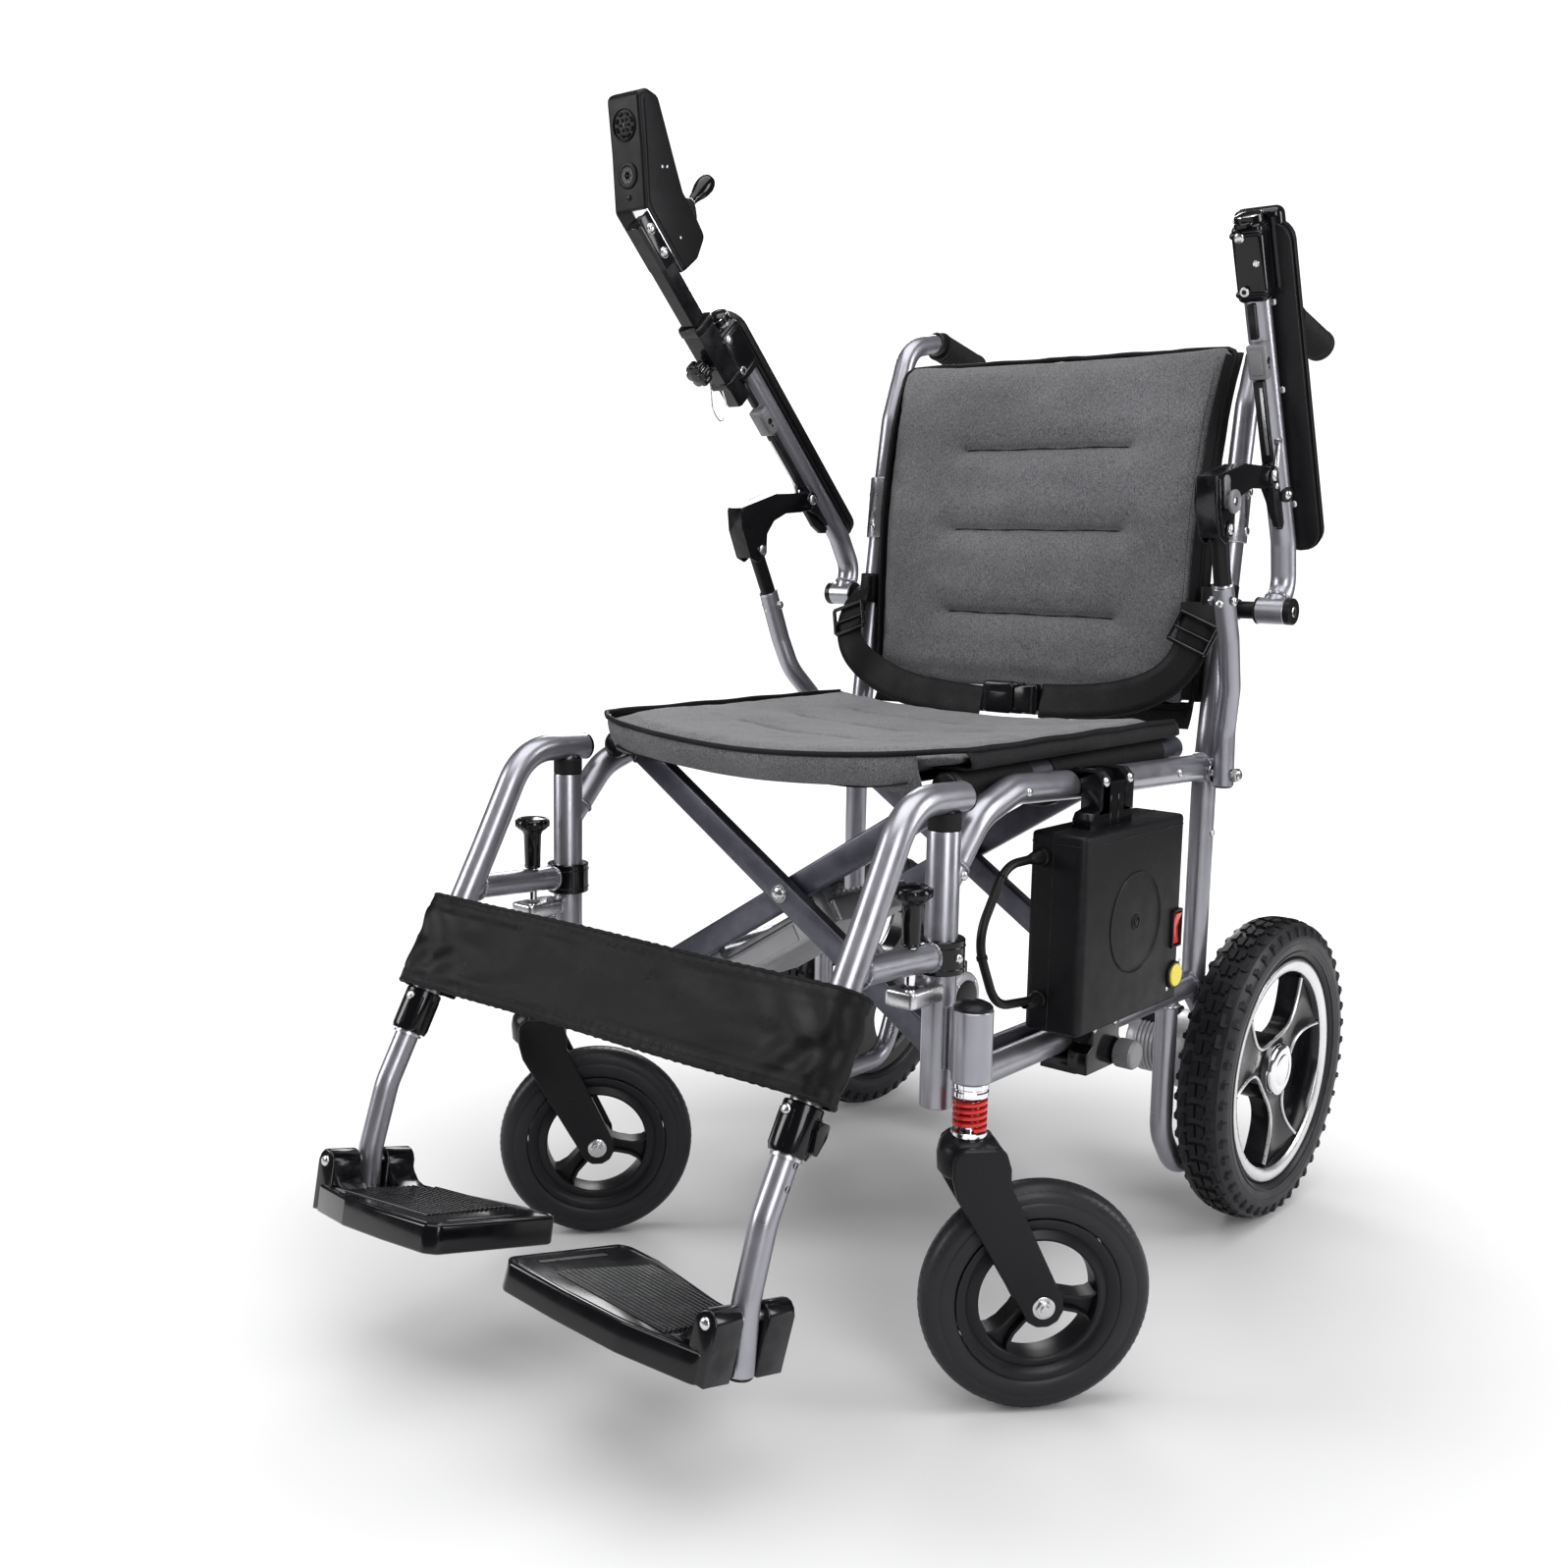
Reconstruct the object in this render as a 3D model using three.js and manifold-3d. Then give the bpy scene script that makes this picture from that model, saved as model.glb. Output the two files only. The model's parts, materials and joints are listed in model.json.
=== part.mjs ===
// Folding power wheelchair, millimetres, +Z up, chair facing -Y, chair's left side at +X.
// The two side frames are joined by a scissor of two legs. Each part is one closed solid.
import * as THREE from 'three';
import { mergeVertices } from 'three/addons/utils/BufferGeometryUtils.js';
import Module from 'manifold-3d';

const wasm = await Module();
wasm.setup();

// ---------------------------------------------------------------- driving dimensions
const ORIGIN_X = 31.33;          // working frame -> part frame (box centre on the ground)
const ORIGIN_Y = 252.5;
const RAIL_X = 227;              // side frame plane
const POST_Y = 48.5, POST_R = 14.2, POST_Z0 = 255, POST_Z1 = 490;
const RAIL_R = 13.5, RAIL_Z = 505;
const LOWER_R = 12.7, LOWER_Z = 268;
const REAR_Y = 522, REAR_R = 12.5;
const STEM_X = 266.1, STEM_Y = 41.3, HOUSING_R = 16.9, HOUSING_Z0 = 287.5, HOUSING_Z1 = 348.8;
const CASTER_R = 100, CASTER_W = 32, CASTER_TRAIL = 60.8, CASTER_HEADING = -41.8;
const WHEEL_R = 164.5, WHEEL_Y = 613.9, WHEEL_Z = 164.5, WHEEL_X0 = 243, WHEEL_X1 = 299;
const LEG_X = 200, LEG_Z0 = 268, LEG_Z1 = 518, LEG_ZC = 393, LEG_TUBE_R = 12.5;
const BAR_H = 26, BAR_T = 13, BAR_A1 = 116, BAR_B1 = 132, BAR_A2 = 412, BAR_B2 = 428;
const ARM_X = 278, ARM_PIVOT_Y = 554, ARM_PIVOT_Z = 661, ARM_R = 12.5, ARM_RISE = 39, ARM_LEN = 386;
const ARM_ANGLE_L = 67.6, ARM_ANGLE_R = 46;        // raised angle of each arm above horizontal
const ELBOW_U = 139, ELBOW_V = 16;                  // elbow pin on the arm
const SUPPORT_Y = 510, SUPPORT_Z = 495, SUPPORT_LEN = 254.5, SUPPORT_X = 253.5;
const HANGER_X = 229, HANGER_R = 13;
const PLATE_TILT = 14, PLATE_CANT = 5, PLATE_Y = -194.5, PLATE_Z = 156.5;
const RAD = Math.PI / 180;

// ---------------------------------------------------------------- solid helpers
function solidOf(geometry) {
  const g = geometry.clone();
  g.deleteAttribute('normal'); g.deleteAttribute('uv');
  const m = mergeVertices(g, 1e-4);
  const tri = new Uint32Array(m.index.array);
  const pos = new Float32Array(m.attributes.position.array);
  let v = 0;
  for (let i = 0; i < tri.length; i += 3) {
    const [a, b, c] = [tri[i] * 3, tri[i + 1] * 3, tri[i + 2] * 3];
    v += pos[a] * (pos[b + 1] * pos[c + 2] - pos[b + 2] * pos[c + 1])
       - pos[a + 1] * (pos[b] * pos[c + 2] - pos[b + 2] * pos[c])
       + pos[a + 2] * (pos[b] * pos[c + 1] - pos[b + 1] * pos[c]);
  }
  if (v < 0) for (let i = 0; i < tri.length; i += 3) { const t = tri[i]; tri[i] = tri[i + 1]; tri[i + 1] = t; }
  return new wasm.Manifold(new wasm.Mesh({ numProp: 3, vertProperties: pos, triVerts: tri }));
}
const asSolid = (s) => (s.isBufferGeometry ? solidOf(s) : s);
function join(...items) {
  let r = asSolid(items[0]);
  for (let i = 1; i < items.length; i++) r = r.add(asSolid(items[i]));
  return r;
}
function cut(base, ...tools) {
  let r = asSolid(base);
  for (const t of tools) r = r.subtract(asSolid(t));
  return r;
}
function geometryOf(solid) {
  if (solid.isBufferGeometry) return solid;
  const m = solid.getMesh();
  const n = m.numProp, src = m.vertProperties, pos = new Float32Array((src.length / n) * 3);
  for (let i = 0; i < src.length / n; i++) for (let k = 0; k < 3; k++) pos[i * 3 + k] = src[i * n + k];
  const g = new THREE.BufferGeometry();
  g.setAttribute('position', new THREE.BufferAttribute(pos, 3));
  g.setIndex(new THREE.BufferAttribute(new Uint32Array(m.triVerts), 1));
  const flat = g.toNonIndexed();
  flat.computeVertexNormals();
  return flat;
}

// A path whose rings sit exactly at the given points.
class Route extends THREE.Curve {
  constructor(points) { super(); this.p = points.map((q) => new THREE.Vector3(...q)); }
  getPoint(t, out = new THREE.Vector3()) {
    const n = this.p.length - 1, i = Math.min(n - 1, Math.floor(t * n)), f = t * n - i;
    return out.copy(this.p[i]).lerp(this.p[i + 1], f);
  }
  getPointAt(u, out) { return this.getPoint(u, out); }
  getSpacedPoints() { return this.p.map((q) => q.clone()); }
  getTangentAt(u, out = new THREE.Vector3()) {
    const n = this.p.length - 1, i = Math.round(u * n);
    const a = this.p[Math.max(0, i - 1)], b = this.p[i], c = this.p[Math.min(n, i + 1)];
    const d1 = b.clone().sub(a), d2 = c.clone().sub(b);
    if (d1.length() > 0) d1.normalize();
    if (d2.length() > 0) d2.normalize();
    return out.copy(d1.add(d2)).normalize();
  }
  getTangent(t, out) { return this.getTangentAt(t, out); }
}
// Corner points with rounded bends of radius r, n facets each.
function rounded(points, r, n = 4) {
  const P = points.map((q) => new THREE.Vector3(...q)), out = [P[0].toArray()];
  for (let i = 1; i < P.length - 1; i++) {
    const a = P[i - 1].clone().sub(P[i]), b = P[i + 1].clone().sub(P[i]);
    const la = a.length(), lb = b.length();
    a.normalize(); b.normalize();
    const ang = a.angleTo(b), t = Math.min(r / Math.tan(ang / 2), la * 0.48, lb * 0.48);
    const s = P[i].clone().addScaledVector(a, t), e = P[i].clone().addScaledVector(b, t);
    for (let k = 0; k <= n; k++) {
      const f = k / n, w0 = (1 - f) * (1 - f), w1 = 2 * f * (1 - f), w2 = f * f;
      out.push([w0 * s.x + w1 * P[i].x + w2 * e.x, w0 * s.y + w1 * P[i].y + w2 * e.y, w0 * s.z + w1 * P[i].z + w2 * e.z]);
    }
  }
  out.push(P[P.length - 1].toArray());
  return out;
}
function ringShape(r, sides, phase = 0) {
  const pts = [];
  for (let i = 0; i < sides; i++) { const a = phase + (i / sides) * Math.PI * 2; pts.push(new THREE.Vector2(r * Math.cos(a), r * Math.sin(a))); }
  return new THREE.Shape(pts);
}
function tube(points, r, sides = 12) {
  return new THREE.ExtrudeGeometry(ringShape(r, sides), { steps: points.length - 1, extrudePath: new Route(points), curveSegments: 1, bevelEnabled: false });
}
function polyShape(points) { return new THREE.Shape(points.map((q) => new THREE.Vector2(...q))); }
function box(x0, x1, y0, y1, z0, z1) {
  return new THREE.BoxGeometry(x1 - x0, y1 - y0, z1 - z0).translate((x0 + x1) / 2, (y0 + y1) / 2, (z0 + z1) / 2);
}
// Cylinder from a to b.
function rod(a, b, r, sides = 16, r2 = r) {
  const A = new THREE.Vector3(...a), B = new THREE.Vector3(...b), d = B.clone().sub(A), L = d.length();
  const g = new THREE.CylinderGeometry(r2, r, L, sides);
  g.applyQuaternion(new THREE.Quaternion().setFromUnitVectors(new THREE.Vector3(0, 1, 0), d.normalize()));
  return g.translate((A.x + B.x) / 2, (A.y + B.y) / 2, (A.z + B.z) / 2);
}
// Revolved profile [radius, along] about X through (y, z).
function turnedX(profile, sides, y, z) {
  const g = new THREE.LatheGeometry(profile.map((q) => new THREE.Vector2(q[0], q[1])), sides);
  return g.rotateZ(-Math.PI / 2).translate(0, y, z);
}
function turnedZ(profile, sides, x, y) {
  const g = new THREE.LatheGeometry(profile.map((q) => new THREE.Vector2(q[0], q[1])), sides);
  return g.rotateX(Math.PI / 2).translate(x, y, 0);
}
// Polygon in (y, z) extruded from x0 to x1.
function slabX(points, x0, x1) {
  const g = new THREE.ExtrudeGeometry(polyShape(points), { depth: x1 - x0, bevelEnabled: false, curveSegments: 1 });
  const m = new THREE.Matrix4().makeBasis(new THREE.Vector3(0, 1, 0), new THREE.Vector3(0, 0, 1), new THREE.Vector3(1, 0, 0));
  return g.applyMatrix4(m).translate(x0, 0, 0);
}
// Polygon in (x, z) extruded from y0 to y1.
function slabY(points, y0, y1) {
  const g = new THREE.ExtrudeGeometry(polyShape(points.map((q) => [q[0], q[1]])), { depth: y1 - y0, bevelEnabled: false, curveSegments: 1 });
  const m = new THREE.Matrix4().makeBasis(new THREE.Vector3(1, 0, 0), new THREE.Vector3(0, 0, 1), new THREE.Vector3(0, -1, 0));
  return g.applyMatrix4(m).translate(0, y1, 0);
}
// Polygon in (x, y) extruded from z0 to z1.
function slabZ(points, z0, z1) {
  return new THREE.ExtrudeGeometry(polyShape(points), { depth: z1 - z0, bevelEnabled: false, curveSegments: 1 }).translate(0, 0, z0);
}

// ---------------------------------------------------------------- scene
const COLOURS = {
  frame: [0x77757f, 0.42, 0.75], steel: [0xc8c8cc, 0.25, 1], black: [0x121214, 0.45, 0], rubber: [0x18181a, 0.85, 0],
  fabric: [0x58585c, 0.95, 0], webbing: [0x101013, 0.8, 0], red: [0xc0201c, 0.35, 0.1], dark: [0x3a3a42, 0.5, 0.6],
  alu: [0xb4b6ba, 0.35, 0.9], vinyl: [0x151517, 0.5, 0], grey: [0x8d8d90, 0.5, 0.2],
};
const chair = new THREE.Group();
chair.position.set(-ORIGIN_X, -ORIGIN_Y, 0);
const object = new THREE.Group();
object.add(chair);
function part(name, solid, colour, parent = chair) {
  const [c, roughness, metalness] = COLOURS[colour];
  const mesh = new THREE.Mesh(geometryOf(solid), new THREE.MeshStandardMaterial({ color: c, roughness, metalness, flatShading: true }));
  mesh.name = name;
  parent.add(mesh);
  return mesh;
}

// ---------------------------------------------------------------- side frames (welded tube)
function sideFrame(s) {
  const X = s * RAIL_X;
  const upper = rounded([[X, 50, 446], [X, 96, 496], [X, 150, 513], [X, 285, 505.5], [X, REAR_Y, 499]], 60, 3);
  const rear = [[X, REAR_Y, 258], [X, REAR_Y, 480], [X, 536, 590], [X, 549, 680], [X, 556, 733]];
  const drop = rounded([[X, 465, 262], [X, 465, 118], [X, 500, 72], [X, 590, 72], [X, WHEEL_Y, 132]], 45, 3);
  let f = join(
    rod([X, POST_Y, POST_Z0], [X, POST_Y, POST_Z1], POST_R, 14),
    tube(upper, RAIL_R, 12),
    rod([X, POST_Y, LOWER_Z], [X, REAR_Y, LOWER_Z], LOWER_R, 12),
    tube(rear, REAR_R, 12),
    tube(drop, 11.5, 10),
    rod([s * STEM_X, STEM_Y, HOUSING_Z0], [s * STEM_X, STEM_Y, HOUSING_Z1], HOUSING_R, 16),
    box(-15, 15, -5, 5, 291, 345).rotateZ(s * -10.4 * RAD).translate(s * 247, 44.8, 0),
    rod([X, 555.5, 731], [X, 562, 800], 15.5, 14),
    tube(rounded([[X, 561, 790], [X, 574, 870], [X, 606, 958], [X, 660, 968], [X, 745.4, 948]], 46, 4), 12, 12),
    // motor flange and its strut
    rod([s * 213.5, WHEEL_Y, WHEEL_Z], [s * 226, WHEEL_Y, WHEEL_Z], 42, 20),
    rod([s * 225, REAR_Y + 2, 262], [s * 225, 600, 178], 10.5, 10),
    // scissor lugs with their pins
    box(Math.min(s * 194, s * 222), Math.max(s * 194, s * 222), 92, 100, 256, 280),
    rod([s * LEG_X, 96, LEG_Z0], [s * LEG_X, 118, LEG_Z0], 6, 12),
    box(Math.min(s * 194, s * 222), Math.max(s * 194, s * 222), 450, 458, 256, 280),
    rod([s * LEG_X, 432, LEG_Z0], [s * LEG_X, 454, LEG_Z0], 6, 12),
    // cups that carry the seat tube
    box(Math.min(s * 190, s * 222), Math.max(s * 190, s * 222), 213, 239, 489, 504.3),
    box(Math.min(s * 190, s * 222), Math.max(s * 190, s * 222), 463, 489, 486, 504.3),
    // latch plate of the footrest hanger
    box(s * HANGER_X - 15, s * HANGER_X + 15, -12, 37, 352, 366),
    // arm pivot stub, its pin and the support stub
    rod([s * 222, 552, ARM_PIVOT_Z], [s * 262, ARM_PIVOT_Y, ARM_PIVOT_Z], 9, 12),
    rod([s * 260, ARM_PIVOT_Y, ARM_PIVOT_Z], [s * 289, ARM_PIVOT_Y, ARM_PIVOT_Z], 6, 12),
    rod([s * 222, SUPPORT_Y + 4, SUPPORT_Z], [s * 241.5, SUPPORT_Y, SUPPORT_Z], 9, 12),
    rod([s * 240, SUPPORT_Y, SUPPORT_Z], [s * 271, SUPPORT_Y, SUPPORT_Z], 4.5, 12),
  );
  return cut(f,
    rod([s * STEM_X, STEM_Y, HOUSING_Z0 - 5], [s * STEM_X, STEM_Y, 341], 9, 16),
    rod([X, POST_Y, 466], [X, POST_Y, POST_Z1 + 5], 9.6, 14),
    rod([s * 205, WHEEL_Y, WHEEL_Z], [s * 235, WHEEL_Y, WHEEL_Z], 10, 16),
    rod([s * HANGER_X, 3.5, 345], [s * HANGER_X, 3.5, 372], 5, 12),
  );
}
part('side_frame_left', sideFrame(1), 'frame');
part('side_frame_right', sideFrame(-1), 'frame');

function backGrip(s) {
  const X = s * RAIL_X;
  const a = [X, 668, 966.2], b = [X, 752, 946.2];
  return cut(rod(a, b, 17.5, 14), rod([X, 640, 972.6], [X, 747, 947.4], 13.4, 14));
}
for (const [n, s] of [['left', 1], ['right', -1]]) {
  part(`push_grip_${n}`, backGrip(s), 'rubber');
}

// ---------------------------------------------------------------- motors and rear wheels
function motor(s) {
  const f = (x) => s * x;
  return join(
    rod([f(118), WHEEL_Y, WHEEL_Z], [f(176), WHEEL_Y, WHEEL_Z], 33, 20),
    rod([f(172), WHEEL_Y, WHEEL_Z], [f(213), WHEEL_Y, WHEEL_Z], 44, 20),
    box(Math.min(f(128), f(168)), Math.max(f(128), f(168)), WHEEL_Y - 20, WHEEL_Y + 20, WHEEL_Z + 25, WHEEL_Z + 44),
  );
}
function rearTyre(s) {
  const c = s * (WHEEL_X0 + WHEEL_X1) / 2, w = (WHEEL_X1 - WHEEL_X0) / 2;
  return turnedX([[124, c - 20], [136, c - w + 3], [150, c - w], [160, c - w + 6], [WHEEL_R, c - 13], [WHEEL_R, c + 13],
    [160, c + w - 6], [150, c + w], [136, c + w - 3], [124, c + 20], [124, c - 20]], 40, WHEEL_Y, WHEEL_Z);
}
function rearRim(s) {
  const c = s * 271;
  let r = cut(
    turnedX([[0, c - 22], [123.6, c - 22], [123.6, c + 22], [0, c + 22]], 40, WHEEL_Y, WHEEL_Z),
    turnedX([[0, c - 30], [106, c - 30], [106, c + 30], [0, c + 30]], 40, WHEEL_Y, WHEEL_Z));
  const arms = [];
  for (let k = 0; k < 3; k++) {
    const a0 = (s > 0 ? 18 : 162) + k * 120;
    const pts = [];
    for (const [rr, da] of [[20, -70], [62, -34], [108, -30], [112, 0], [108, 30], [62, 34], [20, 70]]) {
      const a = (a0 + da) * RAD; pts.push([WHEEL_Y + rr * Math.cos(a), WHEEL_Z + rr * Math.sin(a)]);
    }
    arms.push(slabX(pts, Math.min(s * 262, s * 284), Math.max(s * 262, s * 284)));
  }
  r = join(r, ...arms, rod([s * 246, WHEEL_Y, WHEEL_Z], [s * 290, WHEEL_Y, WHEEL_Z], 30, 20),
    rod([s * 290, WHEEL_Y, WHEEL_Z], [s * 295, WHEEL_Y, WHEEL_Z], 25, 20),
    rod([s * 214, WHEEL_Y, WHEEL_Z], [s * 248, WHEEL_Y, WHEEL_Z], 9, 14));
  return r;
}
for (const [n, s] of [['left', 1], ['right', -1]]) {
  part(`drive_motor_${n}`, motor(s), 'alu');
  part(`rear_tyre_${n}`, rearTyre(s), 'rubber');
  part(`rear_rim_${n}`, rearRim(s), 'black');
}

// ---------------------------------------------------------------- casters (local frame: stem axis on Z, wheel trails toward +Y)
function casterGroup(s) {
  const g = new THREE.Group();
  g.position.set(s * STEM_X, STEM_Y, 0);
  g.rotation.z = CASTER_HEADING * RAD;
  chair.add(g);
  return g;
}
const SPRING_Z0 = 246.3, SPRING_Z1 = 274.7;
function casterStem() {
  return join(turnedZ([[0, 222], [8.4, 222], [8.4, 275], [15.2, 275], [15.2, 287.2], [8.6, 287.2], [8.6, 339], [0, 339]], 16, 0, 0));
}
function casterSpring() {
  return turnedZ([[9.4, SPRING_Z0], [14.6, SPRING_Z0], [14.6, SPRING_Z1], [9.4, SPRING_Z1], [9.4, SPRING_Z0]], 14, 0, 0);
}
function casterFork() {
  const T = CASTER_TRAIL;
  const leg = [[-18, 236], [-19, 214], [-15, 196], [T - 17, 93], [T - 9, 83], [T + 6, 82], [T + 16, 92], [T + 17, 104], [29, 208], [24, 236]];
  const crown = join(
    turnedZ([[0, 230], [15.2, 230], [15.2, 246], [0, 246]], 16, 0, 0),
    turnedZ([[0, 206], [25, 206], [27, 230], [24, 238], [19, 241], [0, 241]], 18, 0, 0),
    slabX(leg, 20, 28), slabX(leg, -28, -20),
    rod([26, T, 100], [33, T, 100], 8, 6), rod([-26, T, 100], [-33, T, 100], 8, 6),
    rod([-28, T, 100], [28, T, 100], 5, 12),
  );
  return cut(crown, rod([0, 0, 207.5], [0, 0, 260], 8.9, 16));
}
function casterHub() {
  const T = CASTER_TRAIL;
  let h = cut(turnedX([[0, -15], [69.6, -15], [69.6, 15], [0, 15]], 32, T, 100),
    turnedX([[0, -20], [52, -20], [52, 20], [0, 20]], 32, T, 100));
  const spokes = [];
  for (let k = 0; k < 3; k++) {
    const a = (-12 + 120 * k) * RAD, c = Math.cos(a), d = Math.sin(a);
    const q = (u, v) => [T + u * c - v * d, 100 + u * d + v * c];
    spokes.push(slabX([q(8, -11), q(30, -9), q(56, -14), q(56, 14), q(30, 9), q(8, 11)], -10, 10));
  }
  h = join(h, ...spokes, rod([-18.5, T, 100], [18.5, T, 100], 15, 16));
  return cut(h, rod([-25, T, 100], [25, T, 100], 5.3, 12));
}
function casterTyre() {
  const R = CASTER_R, w = CASTER_W / 2;
  return turnedX([[70, -w + 2], [80, -w], [92, -w + 2], [98, -w + 7], [R, -w + 13], [R, w - 13], [98, w - 7], [92, w - 2], [80, w], [70, w - 2], [70, -w + 2]], 36, CASTER_TRAIL, 100);
}
for (const [n, s] of [['left', 1], ['right', -1]]) {
  const g = casterGroup(s);
  part(`caster_stem_${n}`, casterStem(), 'steel', g);
  part(`caster_spring_${n}`, casterSpring(), 'red', g);
  part(`caster_fork_${n}`, casterFork(), 'black', g);
  part(`caster_hub_${n}`, casterHub(), 'dark', g);
  part(`caster_tyre_${n}`, casterTyre(), 'rubber', g);
}

// ---------------------------------------------------------------- scissor legs
function bar(x0, z0, x1, z1, y) {
  const dx = x1 - x0, dz = z1 - z0, L = Math.hypot(dx, dz), nx = -dz / L * BAR_H / 2, nz = dx / L * BAR_H / 2;
  return slabY([[x0 - nx, z0 - nz], [x1 - nx, z1 - nz], [x1 + nx, z1 + nz], [x0 + nx, z0 + nz]], y - BAR_T / 2, y + BAR_T / 2);
}
// s = +1: leg from the left lower pivot up to the right seat tube
function crossLeg(s, yFront, yRear) {
  let leg = join(
    rod([-s * LEG_X, 88, LEG_Z1], [-s * LEG_X, 500, LEG_Z1], LEG_TUBE_R, 14),
    rod([s * LEG_X, 104, LEG_Z0], [s * LEG_X, 446, LEG_Z0], LEG_TUBE_R, 14),
    bar(s * LEG_X, LEG_Z0, -s * LEG_X, LEG_Z1, yFront),
    bar(s * LEG_X, LEG_Z0, -s * LEG_X, LEG_Z1, yRear),
  );
  leg = cut(leg,
    rod([s * LEG_X, 100, LEG_Z0], [s * LEG_X, 120, LEG_Z0], 6.4, 12),
    rod([s * LEG_X, 430, LEG_Z0], [s * LEG_X, 450, LEG_Z0], 6.4, 12));
  return leg;
}
const boltA = (y0, y1) => join(
  rod([0, y0, LEG_ZC], [0, y1, LEG_ZC], 4, 12), rod([0, y0, LEG_ZC], [0, y0 + 4, LEG_ZC], 7.5, 12), rod([0, y1 - 5, LEG_ZC], [0, y1, LEG_ZC], 7, 6));
part('cross_leg_a', join(crossLeg(1, BAR_A1, BAR_A2), boltA(105, 144.5), boltA(401, 440.5)), 'dark');
part('cross_leg_b', cut(crossLeg(-1, BAR_B1, BAR_B2), rod([0, 120, LEG_ZC], [0, 142, LEG_ZC], 4.5, 12), rod([0, 419, LEG_ZC], [0, 438, LEG_ZC], 4.5, 12)), 'dark');

// control unit under the seat, on the scissor's second leg
{
  const g = new THREE.Group();
  g.position.set(0, 0, LEG_ZC);
  g.rotation.y = -32 * RAD;
  chair.add(g);
  part('control_unit', join(box(-150, 30, 142, 262, -48, -16), box(-146, -130, 138.9, 150, -46, -8), box(10, 26, 138.9, 150, -46, -8)), 'alu', g);
}

// ---------------------------------------------------------------- seat and back (padded, two halves that fold)
const SEAT_Z = 498, SEAT_Y0 = 40, SEAT_Y1 = 478;
function seatHalf(s) {
  const section = [[0.3, 509], [148, 509], [184, 528], [186, 532.5], [222, 532.5], [224, 548], [206, 556], [110, 548], [0.3, 538]].map(([x, z]) => [s * x, z]);
  const plan = [[0, SEAT_Y0], [110, 44], [185, 58], [190, 86], [226, 90], [226, SEAT_Y1], [0, SEAT_Y1]].map(([x, y]) => [s * x, y]);
  return asSolid(slabY(section, 20, 490)).intersect(asSolid(slabZ(plan, 480, 580)));
}
part('seat_cushion_left', seatHalf(1), 'fabric');
part('seat_cushion_right', seatHalf(-1), 'fabric');
const BACK_FRONT = [[519, 556], [520, 600], [520, 668], [524, 761], [541, 854], [574, 934]];
function backHalf(s) {
  const rear = BACK_FRONT.map(([y, z]) => [y + 26, z]).reverse();
  const a = Math.min(s * 0.3, s * 212), b = Math.max(s * 0.3, s * 212);
  return slabX([...BACK_FRONT, ...rear], a, b);
}
part('back_cushion_left', backHalf(1), 'fabric');
part('back_cushion_right', backHalf(-1), 'fabric');

// ---------------------------------------------------------------- lap belt
part('lap_belt_left', tube([[208, 512, 640], [196, 502, 612], [186, 494, 588], [160, 490, 574], [110, 488, 566], [48, 486, 560]].map((q) => q), 3, 6).scale(1, 1, 1), 'webbing');
part('lap_belt_right', tube([[-208, 512, 640], [-200, 500, 606], [-184, 494, 584], [-150, 490, 568], [-100, 488, 558], [-28, 486, 554]], 3, 6), 'webbing');
part('belt_buckle', box(-25, 45, 481, 497, 538, 576), 'black');

// ---------------------------------------------------------------- footrest hangers
const SLOPE = new THREE.Vector3(0, -0.4966, -0.868);        // down the straight of the hanger
const SLEEVE_TOP = [0, -126.8, 306], SLEEVE_END = [0, -148.5, 267.5];
function hanger(s) {
  const X = s * HANGER_X, P = s * RAIL_X;
  const top = rounded([[X, 72, 515.5], [X, -6, 519], [X, -58, 424], [X, -140, 281]], 58, 4);
  const along = (p, d) => [X, p[1] + SLOPE.y * d, p[2] + SLOPE.z * d];
  let h = join(
    tube(top, HANGER_R, 14),
    rod([X, -74, 392], [X, 30, 386.5], 11.5, 12),
    rod([P, POST_Y, 371], [P, POST_Y, 400], 20.5, 16),
    rod([P, POST_Y, 470], [P, POST_Y, 512], 9, 14),
    rod([P, POST_Y, 490.6], [P, POST_Y, 505], 14, 14),
    rod([X, -130.2, 299.5], [X, -148.5, 267.5], 16.5, 14),
  );
  return cut(h,
    rod([P, POST_Y, 365], [P, POST_Y, 404], POST_R + 0.6, 20),
    rod(along([0, -148.5, 267.5], -78), along([0, -148.5, 267.5], 8), 11.4, 14),
    rod([X, 3.5, 370], [X, 3.5, 402], 5.2, 12));
}
function releaseKnob(s) {
  const X = s * HANGER_X;
  return turnedZ([[0, 368], [4.4, 368], [4.4, 400.5], [7.5, 400.5], [8.5, 436], [14, 440], [16.5, 445], [14, 450], [0, 452]], 16, X, 3.5);
}
function legPath(s) {
  const X = s * HANGER_X;
  const e = [0, -148.5, 267.5];
  return rounded([[X, e[1] - SLOPE.y * 70, e[2] - SLOPE.z * 70], [X, e[1] + SLOPE.y * 50, e[2] + SLOPE.z * 50], [X, -193, 165], [X, -198.5, 112]], 70, 4);
}
function legTube(s) {
  const path = legPath(s);
  return cut(tube(path, 11, 14), rod([s * 231, PLATE_Y + 38.8, PLATE_Z - 9.7], [s * 231, PLATE_Y - 38.8, PLATE_Z + 9.7], 5.4, 12));
}
function plateGroup(s) {
  const g = new THREE.Group();
  g.position.set(s * 231, PLATE_Y, PLATE_Z);
  g.rotation.set(-PLATE_TILT * RAD, s * PLATE_CANT * RAD, 0, 'XYZ');
  chair.add(g);
  return g;
}
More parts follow.
